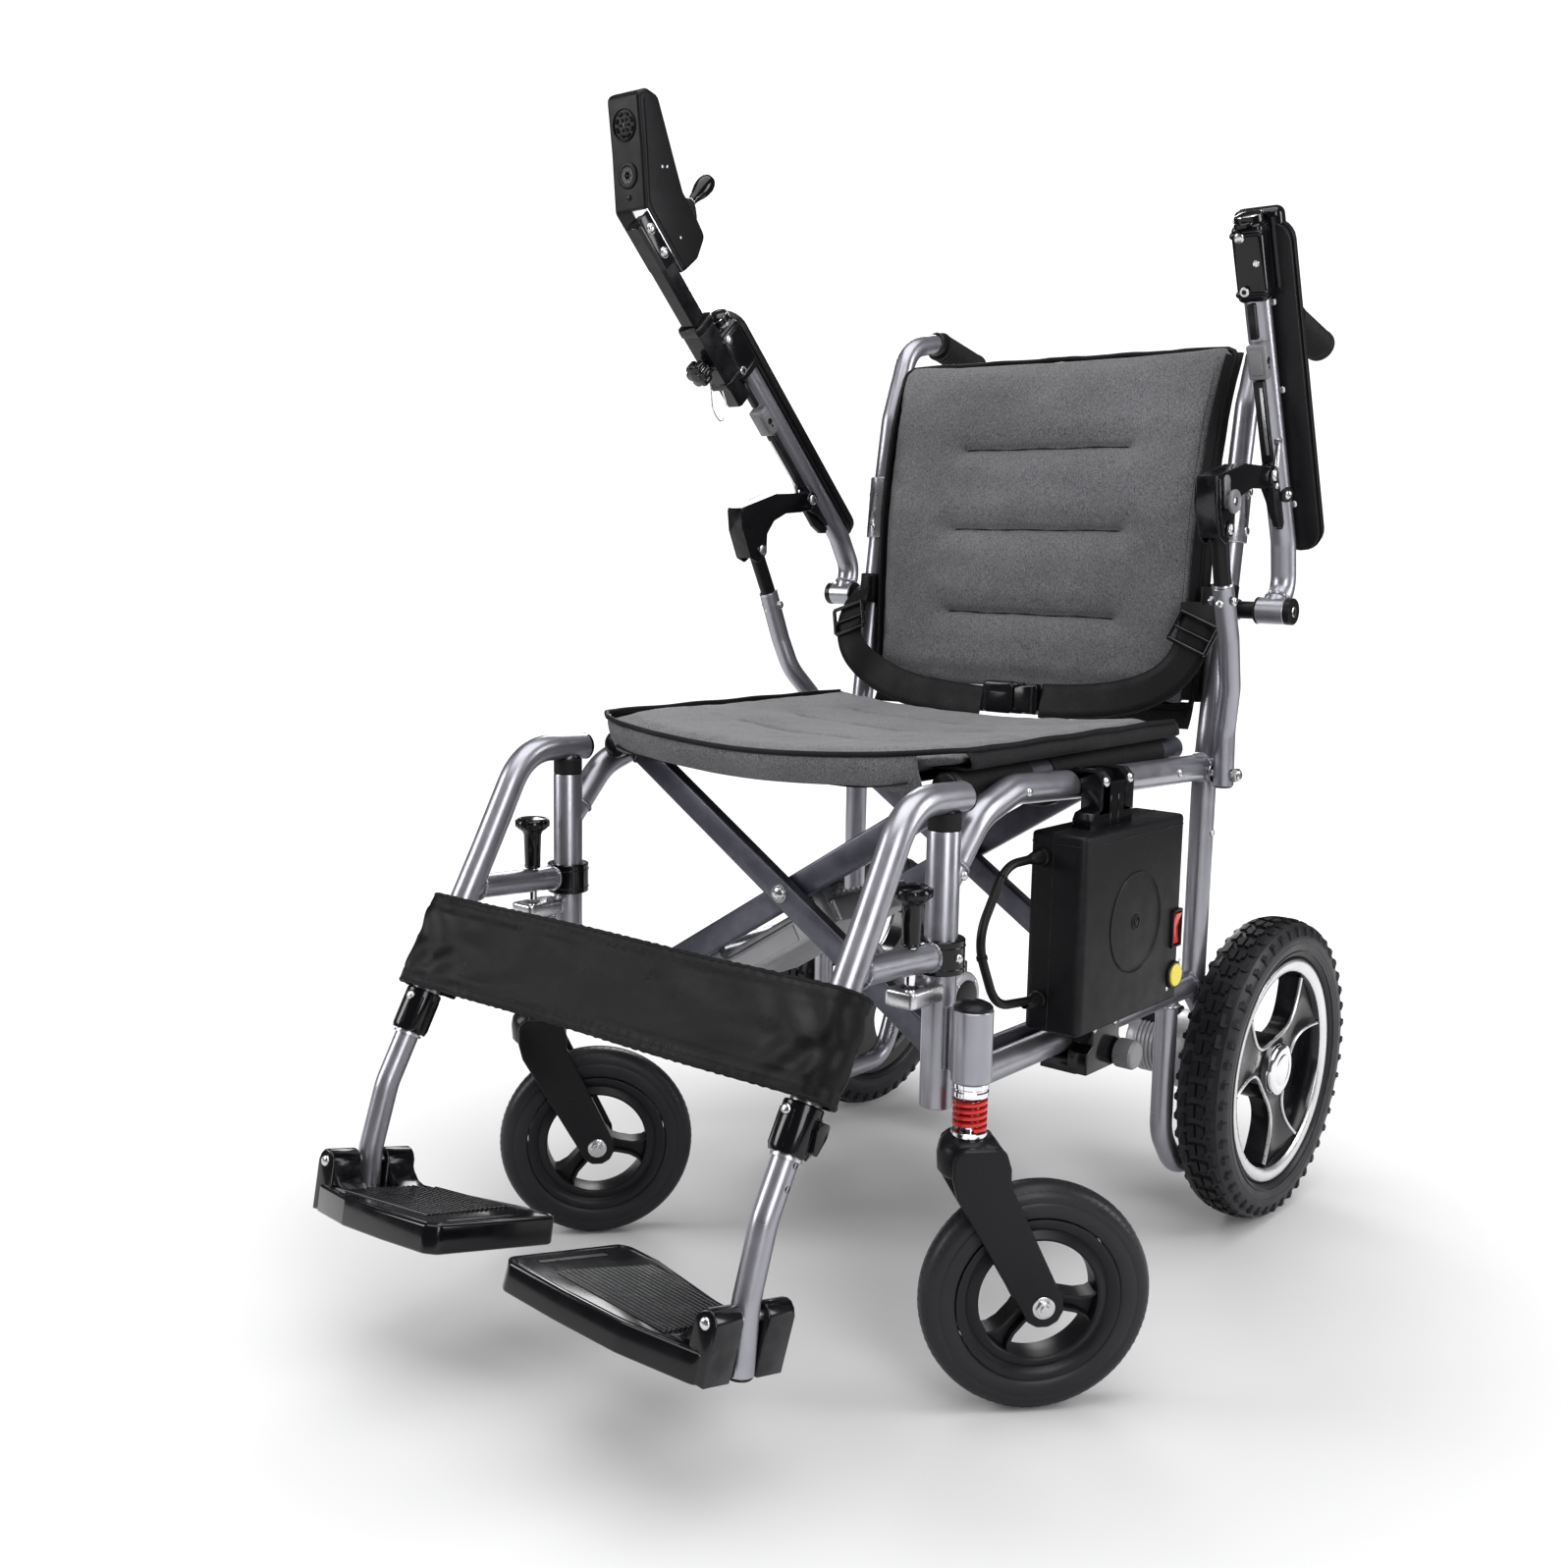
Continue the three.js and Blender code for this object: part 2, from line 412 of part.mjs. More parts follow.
// plate frame: +v forward along the hinge axis is -Y, inward is -s X
function footplate(s, place) {
  const out = [[5, 47], [-60, 66], [-120, 72], [-178, 74], [-188, 66], [-190, -58], [-182, -66], [-150, -68], [-60, -50], [5, -44]].map(([x, v]) => [s * x, -v]);
  let p = join(
    slabZ(out, -45, -21),
    // ears
    slabY([[-11, -44], [-11, 0], [-7, 8], [0, 10.5], [7, 8], [11, 0], [11, -44]], -46, -14.5),
    slabY([[-11, -44], [-11, 0], [-7, 8], [0, 10.5], [7, 8], [11, 0], [11, -44]], 14.5, 46),
    rod([0, -46, 0], [0, 46, 0], 5, 12),
  );
  p = cut(p, slabZ([[s * -13, -42], [s * -60, -52], [s * -176, -60], [s * -176, 54], [s * -60, 40], [s * -13, 36]], -60, -27),
    box(-13, 13, -13.5, 13.5, -60, -18),
    // room for the leg tube as the plate flips up
    box(-13, 13, 10, 19, -60, -12),
    tube([[s * 229, -180, 206], ...legPath(s).slice(-6), [s * 229, -201, 90]].filter((q) => q[2] < 208), 11.8, 14).applyMatrix4(place.matrix.clone().invert()));
  return join(p, rod([0, -40, 0], [0, 40, 0], 5, 12));
}
for (const [n, s] of [['left', 1], ['right', -1]]) {
  part(`footrest_hanger_${n}`, hanger(s), 'frame');
  part(`hanger_release_${n}`, releaseKnob(s), 'black');
  part(`leg_tube_${n}`, legTube(s), 'frame');
  const g = plateGroup(s);
  g.updateMatrix();
  part(`footplate_${n}`, footplate(s, g), 'black', g);
}

// ---------------------------------------------------------------- calf strap
{
  const g = new THREE.Group();
  g.position.set(0, -106.5, 341.5);
  // local: x across, y = out in front of the tubes, z = up along the tubes
  const zAxis = SLOPE.clone().multiplyScalar(-1), yAxis = new THREE.Vector3(0, -0.868, 0.4966), xAxis = new THREE.Vector3().crossVectors(yAxis, zAxis);
  g.quaternion.setFromRotationMatrix(new THREE.Matrix4().makeBasis(xAxis, yAxis, zAxis));
  chair.add(g);
  const prof = [[-252, -15], [-252, 19], [252, 19], [252, -15], [206, -15], [206, -18.5], [255.5, -18.5], [255.5, 22.5], [-255.5, 22.5], [-255.5, -18.5], [-206, -18.5], [-206, -15]];
  part('calf_strap', slabZ(prof, -42, 42), 'vinyl', g);
}

// ---------------------------------------------------------------- arms (local frame: pivot at origin, arm lowered, forward is -Y)
function armGroup(s, angle) {
  const g = new THREE.Group();
  g.position.set(0, ARM_PIVOT_Y, ARM_PIVOT_Z);
  g.rotation.x = -angle * RAD;
  chair.add(g);
  return g;
}
const L = (x, u, v) => [x, -u, v];
const boxL = (x0, x1, u0, u1, v0, v1) => box(Math.min(x0, x1), Math.max(x0, x1), -u1, -u0, v0, v1);
function armTube(s) {
  const X = s * ARM_X;
  const path = rounded([L(X, 0, 0), L(X, 14, 28), L(X, 60, ARM_RISE), L(X, ARM_LEN, ARM_RISE)], 40, 3);
  return cut(join(
    rod([s * 262.6, 0, 0], [s * 292, 0, 0], 13.5, 16),
    tube(path, ARM_R, 12),
    boxL(s * 275 - 3, s * 275 + 3, 88, 150, 8, 30),
    boxL(X - 10, X + 10, 234, 268, 19, 32),
  ), rod([s * 255, 0, 0], [s * 290, 0, 0], 6.4, 14));
}
function armPad(s) {
  const c = s * 290;
  const w = 22;
  const section = [[c - w, ARM_RISE + 13], [c + w, ARM_RISE + 13], [c + w, ARM_RISE + 23], [c + w - 7, ARM_RISE + 30], [c - w + 7, ARM_RISE + 30], [c - w, ARM_RISE + 23]];
  return slabY(section, -376, -44);
}
function armBracket(s) {
  const X = s * ARM_X;
  const b = s > 0 ? boxL(X - 14, X + 16, 306, 378, 24.5, 51) : boxL(X - 16, X + 16, 314, 374, 14, 51);
  const body = s > 0 ? b : join(b, boxL(X - 15, X + 15, 322, 403, -8, 23));
  const hollow = cut(body, rod(L(X, 300, ARM_RISE), L(X, 392, ARM_RISE), ARM_R + 0.4, 16));
  return s > 0 ? hollow : cut(hollow, boxL(X - 11.3, X + 11.3, 295, 410, -4.3, 18.3));
}
function elbow(s, rot) {
  // profile around the elbow pin: y back, z up
  const P = [[-124, -13], [-64, 5], [-20, 7], [2, 8], [7.5, 5.2], [9.5, 0], [7.5, -6], [0, -12], [-19, -15], [-46, -17], [-67, -26], [-79, -41], [-80, -64], [-94, -74], [-107, -69], [-121, -38]];
  const c = Math.cos(rot * RAD), d = Math.sin(rot * RAD);
  const R = P.map(([y, z]) => [y * c - z * d, y * d + z * c]);
  const a = s * 263, b = s * 286;
  let e = asSolid(slabX(R, Math.min(a, b), Math.max(a, b)));
  // open channel between the cheeks: everything but the front web
  const K = [[-119, 12], [-120, -2], [-117, -37], [-103.5, -66], [-92, -90], [-60, -90], [40, -30], [40, 30], [-100, 30]].map(([y, z]) => [y * c - z * d, y * d + z * c]);
  e = e.subtract(asSolid(slabX(K, Math.min(s * 265.5, s * 283.6), Math.max(s * 265.5, s * 283.6))));
  const bt = [-99 * c + 34 * d, -99 * d - 34 * c];
  e = e.subtract(asSolid(rod([s * 280, ...bt], [s * 299, ...bt], 7.5, 16)));
  return e;
}
function elbowButton(s, rot) {
  const c = Math.cos(rot * RAD), d = Math.sin(rot * RAD), bt = [-99 * c + 34 * d, -99 * d - 34 * c];
  return join(rod([s * 284.8, ...bt], [s * 292, ...bt], 7, 16), rod([s * 291, ...bt], [s * 295.5, ...bt], 11.5, 18));
}
function supportTube(s, points, top) {
  // low pivot on the rail, bent outward, black insert at the top
  const P = points.map(([x, y, z]) => [s * x, y, z]);
  const e = P[P.length - 1], q = P[P.length - 2], n = Math.hypot(...e.map((v, i) => v - q[i]));
  const back = e.map((v, i) => v - (v - q[i]) / n * 12);
  return cut(join(tube(rounded(P, 45, 3), 10.5, 12), rod(back, [s * 274.5, ...top], 8.5, 12)),
    rod([s * 235, SUPPORT_Y, SUPPORT_Z], [s * 280, SUPPORT_Y, SUPPORT_Z], 4.9, 12));
}
const SUPPORT_PATH = {
  left: [[253.5, 511, 483], [253.5, 508, 540], [263, 494, 585], [271, 467, 636], [274.5, 440, 688]],
  right: [[253.5, 520, 485], [254, 461, 545], [262, 434, 575], [270, 424, 610], [274.5, 406, 664]],
};
const SUPPORT_TOP = { left: [423.5, 746], right: [379, 717] };
const armSpec = { left: [1, ARM_ANGLE_L, -3], right: [-1, ARM_ANGLE_R, 0] };
const elbowPin = (angle) => {
  const c = Math.cos(angle * RAD), d = Math.sin(angle * RAD);
  return [ARM_PIVOT_Y - ELBOW_U * c + ELBOW_V * d, ARM_PIVOT_Z + ELBOW_U * d + ELBOW_V * c];
};
for (const n of ['left', 'right']) {
  const [s, angle, rot] = armSpec[n];
  const g = armGroup(s, angle);
  part(`arm_tube_${n}`, armTube(s), 'frame', g);
  part(`arm_pad_${n}`, armPad(s), 'black', g);
  part(`arm_bracket_${n}`, armBracket(s), 'black', g);
  const e = new THREE.Group(), pin = elbowPin(angle);
  e.position.set(0, pin[0], pin[1]);
  chair.add(e);
  part(`arm_elbow_${n}`, elbow(s, rot), 'black', e);
  part(`elbow_button_${n}`, elbowButton(s, rot), 'grey', e);
  part(`arm_support_${n}`, supportTube(s, SUPPORT_PATH[n], SUPPORT_TOP[n]), 'frame');
}
// joystick unit on the right arm
{
  const g = armGroup(-1, ARM_ANGLE_R), X = -ARM_X;
  part('joystick_rod', join(boxL(X - 11, X + 11, 294, 528, -4, 18)), 'black', g);
  const side = [[455, 19], [535, 19], [581, 56], [626, 89], [621, 103], [606, 112], [579, 102], [542, 88], [515, 78], [488, 78], [462, 75], [452, 50]];
  part('joystick_box', slabX(side.map(([u, v]) => [-u, v]), -316, -268), 'black', g);
  const bu = 489, bx = -292;
  part('joystick_boot', turnedZ([[0, 79], [19, 79], [18, 86], [11, 96], [6, 100], [0, 100]], 16, bx, -bu), 'rubber', g);
  part('joystick_lever', turnedZ([[0, 100.4], [5, 100.4], [6, 112], [9, 122], [10, 134], [8, 141], [3, 145], [0, 145]], 14, bx, -(bu)), 'black', g);
  // star knob under the bracket
  const star = [];
  for (let i = 0; i < 14; i++) { const a = (i / 14) * Math.PI * 2, r = i % 2 ? 14.5 : 11.5; star.push([X + r * Math.cos(a), -358 + r * Math.sin(a)]); }
  part('rod_clamp_knob', join(slabZ(star, -30, -17), rod([X, -358, -18], [X, -358, -8.3], 6, 12)), 'black', g);
}

// ---------------------------------------------------------------- battery, bracket, lead
const BAT = [222, 279, 190, 380, 291, 472];
part('battery_case', cut(join(slabZ([[BAT[0] + 8, BAT[2]], [BAT[1] - 8, BAT[2]], [BAT[1], BAT[2] + 8], [BAT[1], BAT[3] - 8], [BAT[1] - 8, BAT[3]], [BAT[0] + 8, BAT[3]], [BAT[0], BAT[3] - 8], [BAT[0], BAT[2] + 8]], BAT[4], BAT[5]),
  // hooks over the upper rail
  box(241.2, 262, 228, 305, 470, 512), box(225, 262, 246, 292, 470, 488), box(214.5, 262, 243, 261, 484, 522), box(214.5, 262, 287, 305, 484, 522),
  // catch around the lower rail
  box(212, 262, 240, 305, 240, 254.4), box(240.6, 262, 240, 305, 240, 293), box(212, 214, 240, 305, 240, 262)),
  rod([227, 215, 509.5], [227, 320, 503.5], 14.4, 16), rod([262.5, 297, 252], [250, 297, 252], 5.4, 12),
  box(269, 285, 362, 376, 346, 378), rod([274, 369, 316], [285, 369, 316], 11, 18)), 'black');
part('battery_switch', slabY([[273.6, 347], [280.5, 347], [279.6, 362], [282.6, 377], [273.6, 377]], 362.6, 375.4), 'red');
part('battery_latch_knob', join(rod([251, 297, 252], [264, 297, 252], 5, 12), rod([263, 297, 252], [282, 297, 252], 13.5, 18)), 'grey');
part('battery_lead', tube(rounded([[236, 189.4, 450], [236, 130, 450], [238, 86, 392], [238, 118, 328], [238, 189.4, 320]], 40, 4), 4, 8), 'black');

export default object;
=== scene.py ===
import bmesh
import bpy, bmesh, math, json, random
from mathutils import Vector, Matrix, noise


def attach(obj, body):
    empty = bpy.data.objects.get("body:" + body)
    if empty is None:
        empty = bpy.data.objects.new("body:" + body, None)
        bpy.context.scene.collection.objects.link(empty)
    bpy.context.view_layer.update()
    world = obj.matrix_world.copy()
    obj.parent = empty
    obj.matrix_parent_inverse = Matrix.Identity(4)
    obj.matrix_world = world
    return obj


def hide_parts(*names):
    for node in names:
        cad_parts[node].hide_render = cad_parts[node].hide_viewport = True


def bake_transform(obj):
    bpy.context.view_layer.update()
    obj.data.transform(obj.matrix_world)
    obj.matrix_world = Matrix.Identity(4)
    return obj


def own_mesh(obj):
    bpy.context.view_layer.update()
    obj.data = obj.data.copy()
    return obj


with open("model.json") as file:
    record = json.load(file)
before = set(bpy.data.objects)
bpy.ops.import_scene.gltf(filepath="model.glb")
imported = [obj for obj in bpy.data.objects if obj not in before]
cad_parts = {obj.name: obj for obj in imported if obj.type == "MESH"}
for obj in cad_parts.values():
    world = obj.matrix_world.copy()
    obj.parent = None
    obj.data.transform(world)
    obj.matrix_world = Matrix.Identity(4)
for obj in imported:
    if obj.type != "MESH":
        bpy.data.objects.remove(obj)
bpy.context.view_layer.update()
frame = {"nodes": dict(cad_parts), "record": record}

random.seed(7)
OX, OY = 31.33, 252.5          # the row frame's origin in the chair's working frame, mm
REC = frame["record"]


def F(p):
    """working frame, mm -> row frame, m"""
    return Vector(((p[0] - OX) / 1000, (p[1] - OY) / 1000, p[2] / 1000))


# ------------------------------------------------------------------ camera
az, el, ro = math.radians(40.0), math.radians(8.3), math.radians(1.01)
back = Vector((math.sin(az) * math.cos(el), -math.cos(az) * math.cos(el), math.sin(el)))
right = Vector((math.cos(az), math.sin(az), 0))
up = back.cross(right)
rx = right * math.cos(ro) + up * math.sin(ro)
ux = -right * math.sin(ro) + up * math.cos(ro)
cam_data = bpy.data.cameras.new("view_camera")
cam_data.sensor_width = 36.0
cam_data.sensor_fit = "HORIZONTAL"
cam_data.lens = 1669.4 / 1597 * 36.0
cam_data.clip_start, cam_data.clip_end = 0.05, 60
cam = bpy.data.objects.new("view_camera", cam_data)
bpy.context.scene.collection.objects.link(cam)
m = Matrix.Identity(4)
for i in range(3):
    m[i][0], m[i][1], m[i][2] = rx[i], ux[i], back[i]
m.translation = F((978.0, -1052.2, 719.1))
cam.matrix_world = m
bpy.context.scene.camera = cam

# ------------------------------------------------------------------ stage and light
def plain(name, verts, faces, build):
    me = bpy.data.meshes.new(name)
    me.from_pydata(verts, [], faces)
    for p in me.polygons:
        p.use_smooth = True
    ob = bpy.data.objects.new(name, me)
    bpy.context.scene.collection.objects.link(ob)
    mat = bpy.data.materials.new(name + "_white")
    mat.use_nodes = True
    build(mat.node_tree)
    me.materials.append(mat)
    return ob


def stage():
    """A flat floor, painted a darker grey in a wide disc round the chair as a painted shadow, that fades into white
    emission and an evenly lit white sweep.
    """
    def floor_painted_shadow_nodes(nt):
        nt.nodes.clear()
        out = nt.nodes.new("ShaderNodeOutputMaterial")
        tc = nt.nodes.new("ShaderNodeTexCoord")
        sep = nt.nodes.new("ShaderNodeVectorMath"); sep.operation = "MULTIPLY"
        sep.inputs[1].default_value = (1, 1, 0)
        nt.links.new(tc.outputs["Object"], sep.inputs[0])
        ln = nt.nodes.new("ShaderNodeVectorMath"); ln.operation = "LENGTH"
        nt.links.new(sep.outputs[0], ln.inputs[0])
        # painted shadow mask: the darker floor colour fades out between 0.34 m and 1.02 m from the origin
        painted_shadow_fade = nt.nodes.new("ShaderNodeMapRange"); painted_shadow_fade.interpolation_type = "SMOOTHSTEP"
        painted_shadow_fade.inputs["From Min"].default_value = 0.34; painted_shadow_fade.inputs["From Max"].default_value = 1.02
        nt.links.new(ln.outputs["Value"], painted_shadow_fade.inputs["Value"])
        # painted shadow: near the chair the floor colour is a darker grey (0.66) that stands in for the soft shadow
        # under the chair
        d = nt.nodes.new("ShaderNodeBsdfDiffuse"); d.inputs["Color"].default_value = (0.66, 0.66, 0.665, 1)
        e = nt.nodes.new("ShaderNodeEmission"); e.inputs["Color"].default_value = (1, 1, 1, 1); e.inputs["Strength"].default_value = 1.0
        mx = nt.nodes.new("ShaderNodeMixShader")
        nt.links.new(painted_shadow_fade.outputs["Result"], mx.inputs[0])
        nt.links.new(d.outputs[0], mx.inputs[1]); nt.links.new(e.outputs[0], mx.inputs[2])
        nt.links.new(mx.outputs[0], out.inputs["Surface"])

    def wall_nodes(nt):
        nt.nodes.clear()
        out = nt.nodes.new("ShaderNodeOutputMaterial")
        e = nt.nodes.new("ShaderNodeEmission"); e.inputs["Color"].default_value = (1, 1, 1, 1); e.inputs["Strength"].default_value = 1.0
        nt.links.new(e.outputs[0], out.inputs["Surface"])

    r, n = 2.6, 48
    V = [(0, 0, 0)] + [(r * math.cos(2 * math.pi * i / n), r * math.sin(2 * math.pi * i / n), 0) for i in range(n)]
    fl = plain("floor", V, [(0, 1 + i, 1 + (i + 1) % n) for i in range(n)], floor_painted_shadow_nodes)
    # the sweep: a dome that the view sees but that neither lights the chair nor shows in its finishes
    V, Fc = [], []
    rings = 14
    R = 9.0
    for j in range(rings + 1):
        a = -0.35 + (math.pi / 2 + 0.35) * j / rings
        for i in range(n):
            V.append((R * math.cos(a) * math.cos(2 * math.pi * i / n), R * math.cos(a) * math.sin(2 * math.pi * i / n), R * math.sin(a)))
    for j in range(rings):
        for i in range(n):
            Fc.append((j * n + i, (j + 1) * n + i, (j + 1) * n + (i + 1) % n, j * n + (i + 1) % n))
    wl = plain("sweep", V, Fc, wall_nodes)
    wl.visible_diffuse = False; wl.visible_glossy = False; wl.visible_transmission = False; wl.visible_shadow = False


stage()


def area(name, loc, target, size, power, color=(1, 1, 1), size_y=None):
    L = bpy.data.lights.new(name, "AREA")
    L.energy = power
    L.color = color
    L.shape = "RECTANGLE"
    L.size = size
    L.size_y = size_y or size
    o = bpy.data.objects.new(name, L)
    o.location = loc
    d = Vector(target) - Vector(loc)
    o.rotation_euler = d.to_track_quat("-Z", "Y").to_euler()
    bpy.context.scene.collection.objects.link(o)
    return o


area("top_soft", (0.3, -0.5, 3.6), (0, 0, 0.3), 3.6, 95)
area("front_left", (-2.6, -2.6, 1.9), (0, 0, 0.55), 1.5, 60, size_y=2.2)
area("front_right", (2.7, -1.7, 1.7), (0, 0, 0.55), 1.2, 42, size_y=2.2)
area("right_rim", (2.6, 1.6, 1.5), (0, 0, 0.5), 1.0, 34, size_y=2.0)
area("back_rim", (-2.2, 2.6, 2.2), (0, 0, 0.6), 1.6, 42, size_y=1.6)
w = bpy.data.worlds.new("studio")
bpy.context.scene.world = w
w.use_nodes = True
bg = w.node_tree.nodes["Background"]
bg.inputs["Color"].default_value = (1.0, 1.0, 1.0, 1)
bg.inputs["Strength"].default_value = 0.10
vs = bpy.context.scene.view_settings
vs.view_transform = "Standard"
vs.look = "Medium High Contrast"
vs.exposure = 0.0

# ------------------------------------------------------------------ materials
def new_mat(name):
    mat = bpy.data.materials.new(name)
    mat.use_nodes = True
    nt = mat.node_tree
    return mat, nt, nt.nodes["Principled BSDF"]


def N(nt, kind, **inputs):
    n = nt.nodes.new(kind)
    for k, v in inputs.items():
        k2 = k.replace("_", " ")
        if k2 in n.inputs:
            n.inputs[k2].default_value = v
        else:
            setattr(n, k, v)
    return n


def coords(nt, scale=(1, 1, 1)):
    tc = N(nt, "ShaderNodeTexCoord")
    mp = N(nt, "ShaderNodeMapping")
    mp.inputs["Scale"].default_value = scale
    nt.links.new(tc.outputs["Object"], mp.inputs["Vector"])
    return mp.outputs["Vector"]


def ramp(nt, fac, stops):
    r = N(nt, "ShaderNodeValToRGB")
    el_ = r.color_ramp.elements
    while len(el_) < len(stops):
        el_.new(0.5)
    for e, (p, c) in zip(el_, stops):
        e.position = p
        e.color = (*c, 1) if len(c) == 3 else c
    nt.links.new(fac, r.inputs["Fac"])
    return r.outputs["Color"]


def noise_out(nt, vec, scale, detail=4, rough=0.55, dist=0.0):
    n = N(nt, "ShaderNodeTexNoise")
    n.inputs["Scale"].default_value = scale
    n.inputs["Detail"].default_value = detail
    n.inputs["Roughness"].default_value = rough
    n.inputs["Distortion"].default_value = dist
    nt.links.new(vec, n.inputs["Vector"])
    return n.outputs["Fac"]


def maprange(nt, v, a, b, c, d):
    n = N(nt, "ShaderNodeMapRange")
    for k, x in zip(("From Min", "From Max", "To Min", "To Max"), (a, b, c, d)):
        n.inputs[k].default_value = x
    nt.links.new(v, n.inputs["Value"])
    return n.outputs["Result"]


def bump(nt, b, height, strength, distance, normal=None):
    n = N(nt, "ShaderNodeBump")
    n.inputs["Strength"].default_value = strength
    n.inputs["Distance"].default_value = distance
    nt.links.new(height, n.inputs["Height"])
    if normal is not None:
        nt.links.new(normal, n.inputs["Normal"])
    if b is not None:
        nt.links.new(n.outputs["Normal"], b.inputs["Normal"])
    return n.outputs["Normal"]


def mathn(nt, op, a, b=None, clamp=False):
    n = N(nt, "ShaderNodeMath")
    n.operation = op
    n.use_clamp = clamp
    for i, v in enumerate((a, b)):
        if v is None:
            continue
        if isinstance(v, (int, float)):
            n.inputs[i].default_value = v
        else:
            nt.links.new(v, n.inputs[i])
    return n.outputs[0]


def solid_mat(name, color, rough, metal=0.0, grain=0.0, grain_scale=900, vary=0.06, coat=0.0, rough_vary=0.06, spec=0.5, edge=None):
    """A moulded, painted or plated surface: cloudy colour and roughness, fine grain, and edges that are rubbed a little."""
    mat, nt, b = new_mat(name)
    v = coords(nt)
    cloud = noise_out(nt, v, 14, 5)
    fine = noise_out(nt, v, grain_scale, 2)
    lo = tuple(max(0, c * (1 - vary)) for c in color)
    hi = tuple(min(1, c * (1 + vary)) for c in color)
    col = ramp(nt, cloud, [(0.3, lo), (0.7, hi)])
    if edge is not None:
        geo = N(nt, "ShaderNodeNewGeometry")
        wear = maprange(nt, geo.outputs["Pointiness"], 0.53, 0.62, 0.0, 1.0)
        wear = mathn(nt, "MULTIPLY", wear, maprange(nt, noise_out(nt, v, 60, 4), 0.42, 0.62, 0.0, 1.0), True)
        mx = N(nt, "ShaderNodeMix"); mx.data_type = "RGBA"
        nt.links.new(mathn(nt, "MULTIPLY", wear, 0.55), mx.inputs[0])
        nt.links.new(col, mx.inputs[6])
        mx.inputs[7].default_value = (*edge, 1)
        col = mx.outputs[2]
    nt.links.new(col, b.inputs["Base Color"])
    r = maprange(nt, noise_out(nt, v, 45, 6), 0.3, 0.7, rough - rough_vary, rough + rough_vary)
    nt.links.new(r, b.inputs["Roughness"])
    b.inputs["Metallic"].default_value = metal
    b.inputs["Specular IOR Level"].default_value = spec
    if coat:
        b.inputs["Coat Weight"].default_value = coat
        b.inputs["Coat Roughness"].default_value = 0.08
    if grain:
        bump(nt, b, fine, grain, 0.0004)
    return mat


def fabric_mat(name, dark, light, thread=1.15, sheen=0.25, rough=0.92, heather=True, mesh_holes=False):
    """Plain weave in object space: over-and-under threads, slubs and a soft heather mix."""
    mat, nt, b = new_mat(name)
    tc = N(nt, "ShaderNodeTexCoord")
    sx = N(nt, "ShaderNodeSeparateXYZ")
    nt.links.new(tc.outputs["Object"], sx.inputs[0])
    k = 2 * math.pi / (thread / 1000)
    warp = mathn(nt, "SINE", mathn(nt, "MULTIPLY", sx.outputs[0], k))
    # the second thread runs along Y on the seat and along Z on the back: use their sum
    yz = mathn(nt, "ADD", sx.outputs[1], sx.outputs[2])
    weft = mathn(nt, "SINE", mathn(nt, "MULTIPLY", yz, k))
    weave = mathn(nt, "MULTIPLY", warp, weft)
    v = tc.outputs["Object"]
    speck = noise_out(nt, v, 760, 2, 0.6)
    mp = N(nt, "ShaderNodeMapping")
    mp.inputs["Scale"].default_value = (1100, 420, 300)
    nt.links.new(v, mp.inputs["Vector"])
    streak = noise_out(nt, mp.outputs["Vector"], 1.0, 3, 0.6)
    cloud = noise_out(nt, v, 9, 4)
    fac = mathn(nt, "ADD", mathn(nt, "MULTIPLY", speck, 0.55), mathn(nt, "MULTIPLY", streak, 0.45))
    fac = mathn(nt, "ADD", fac, mathn(nt, "MULTIPLY", mathn(nt, "SUBTRACT", cloud, 0.5), 0.16))
    col = ramp(nt, fac, [(0.36, dark), (0.5, tuple((a + c) / 2 for a, c in zip(dark, light))), (0.64, light)])
    nt.links.new(col, b.inputs["Base Color"])
    b.inputs["Roughness"].default_value = rough
    b.inputs["Specular IOR Level"].default_value = 0.25
    b.inputs["Sheen Weight"].default_value = sheen
    b.inputs["Sheen Roughness"].default_value = 0.45
    h = mathn(nt, "ADD", mathn(nt, "MULTIPLY", weave, 0.5), mathn(nt, "MULTIPLY", speck, 0.9))
    n1 = bump(nt, None, h, 0.45, 0.0005)
    bump(nt, b, noise_out(nt, v, 55, 4), 0.18, 0.002, n1)
    return mat


def strap_mat(name, color, period=2.2, rough=0.5, axis=0, sheen=0.1):
    """Woven webbing: fine ribs across the band."""
    mat, nt, b = new_mat(name)
    tc = N(nt, "ShaderNodeTexCoord")
    sx = N(nt, "ShaderNodeSeparateXYZ")
    nt.links.new(tc.outputs["Object"], sx.inputs[0])
    k = 2 * math.pi / (period / 1000)
    s = mathn(nt, "ADD", sx.outputs[0], mathn(nt, "ADD", sx.outputs[1], mathn(nt, "MULTIPLY", sx.outputs[2], 0.6)))
    r = mathn(nt, "SINE", mathn(nt, "MULTIPLY", s, k))
    v = tc.outputs["Object"]
    sp = noise_out(nt, v, 800, 2)
    col = ramp(nt, sp, [(0.35, tuple(c * 0.7 for c in color)), (0.65, tuple(min(1, c * 1.7) for c in color))])
    nt.links.new(col, b.inputs["Base Color"])
    nt.links.new(maprange(nt, noise_out(nt, v, 30, 4), 0.3, 0.7, rough - 0.1, rough + 0.1), b.inputs["Roughness"])
    b.inputs["Sheen Weight"].default_value = sheen
    b.inputs["Specular IOR Level"].default_value = 0.24
    h = mathn(nt, "ADD", mathn(nt, "MULTIPLY", r, 0.4), sp)
    bump(nt, b, h, 0.35, 0.0004)
    return mat


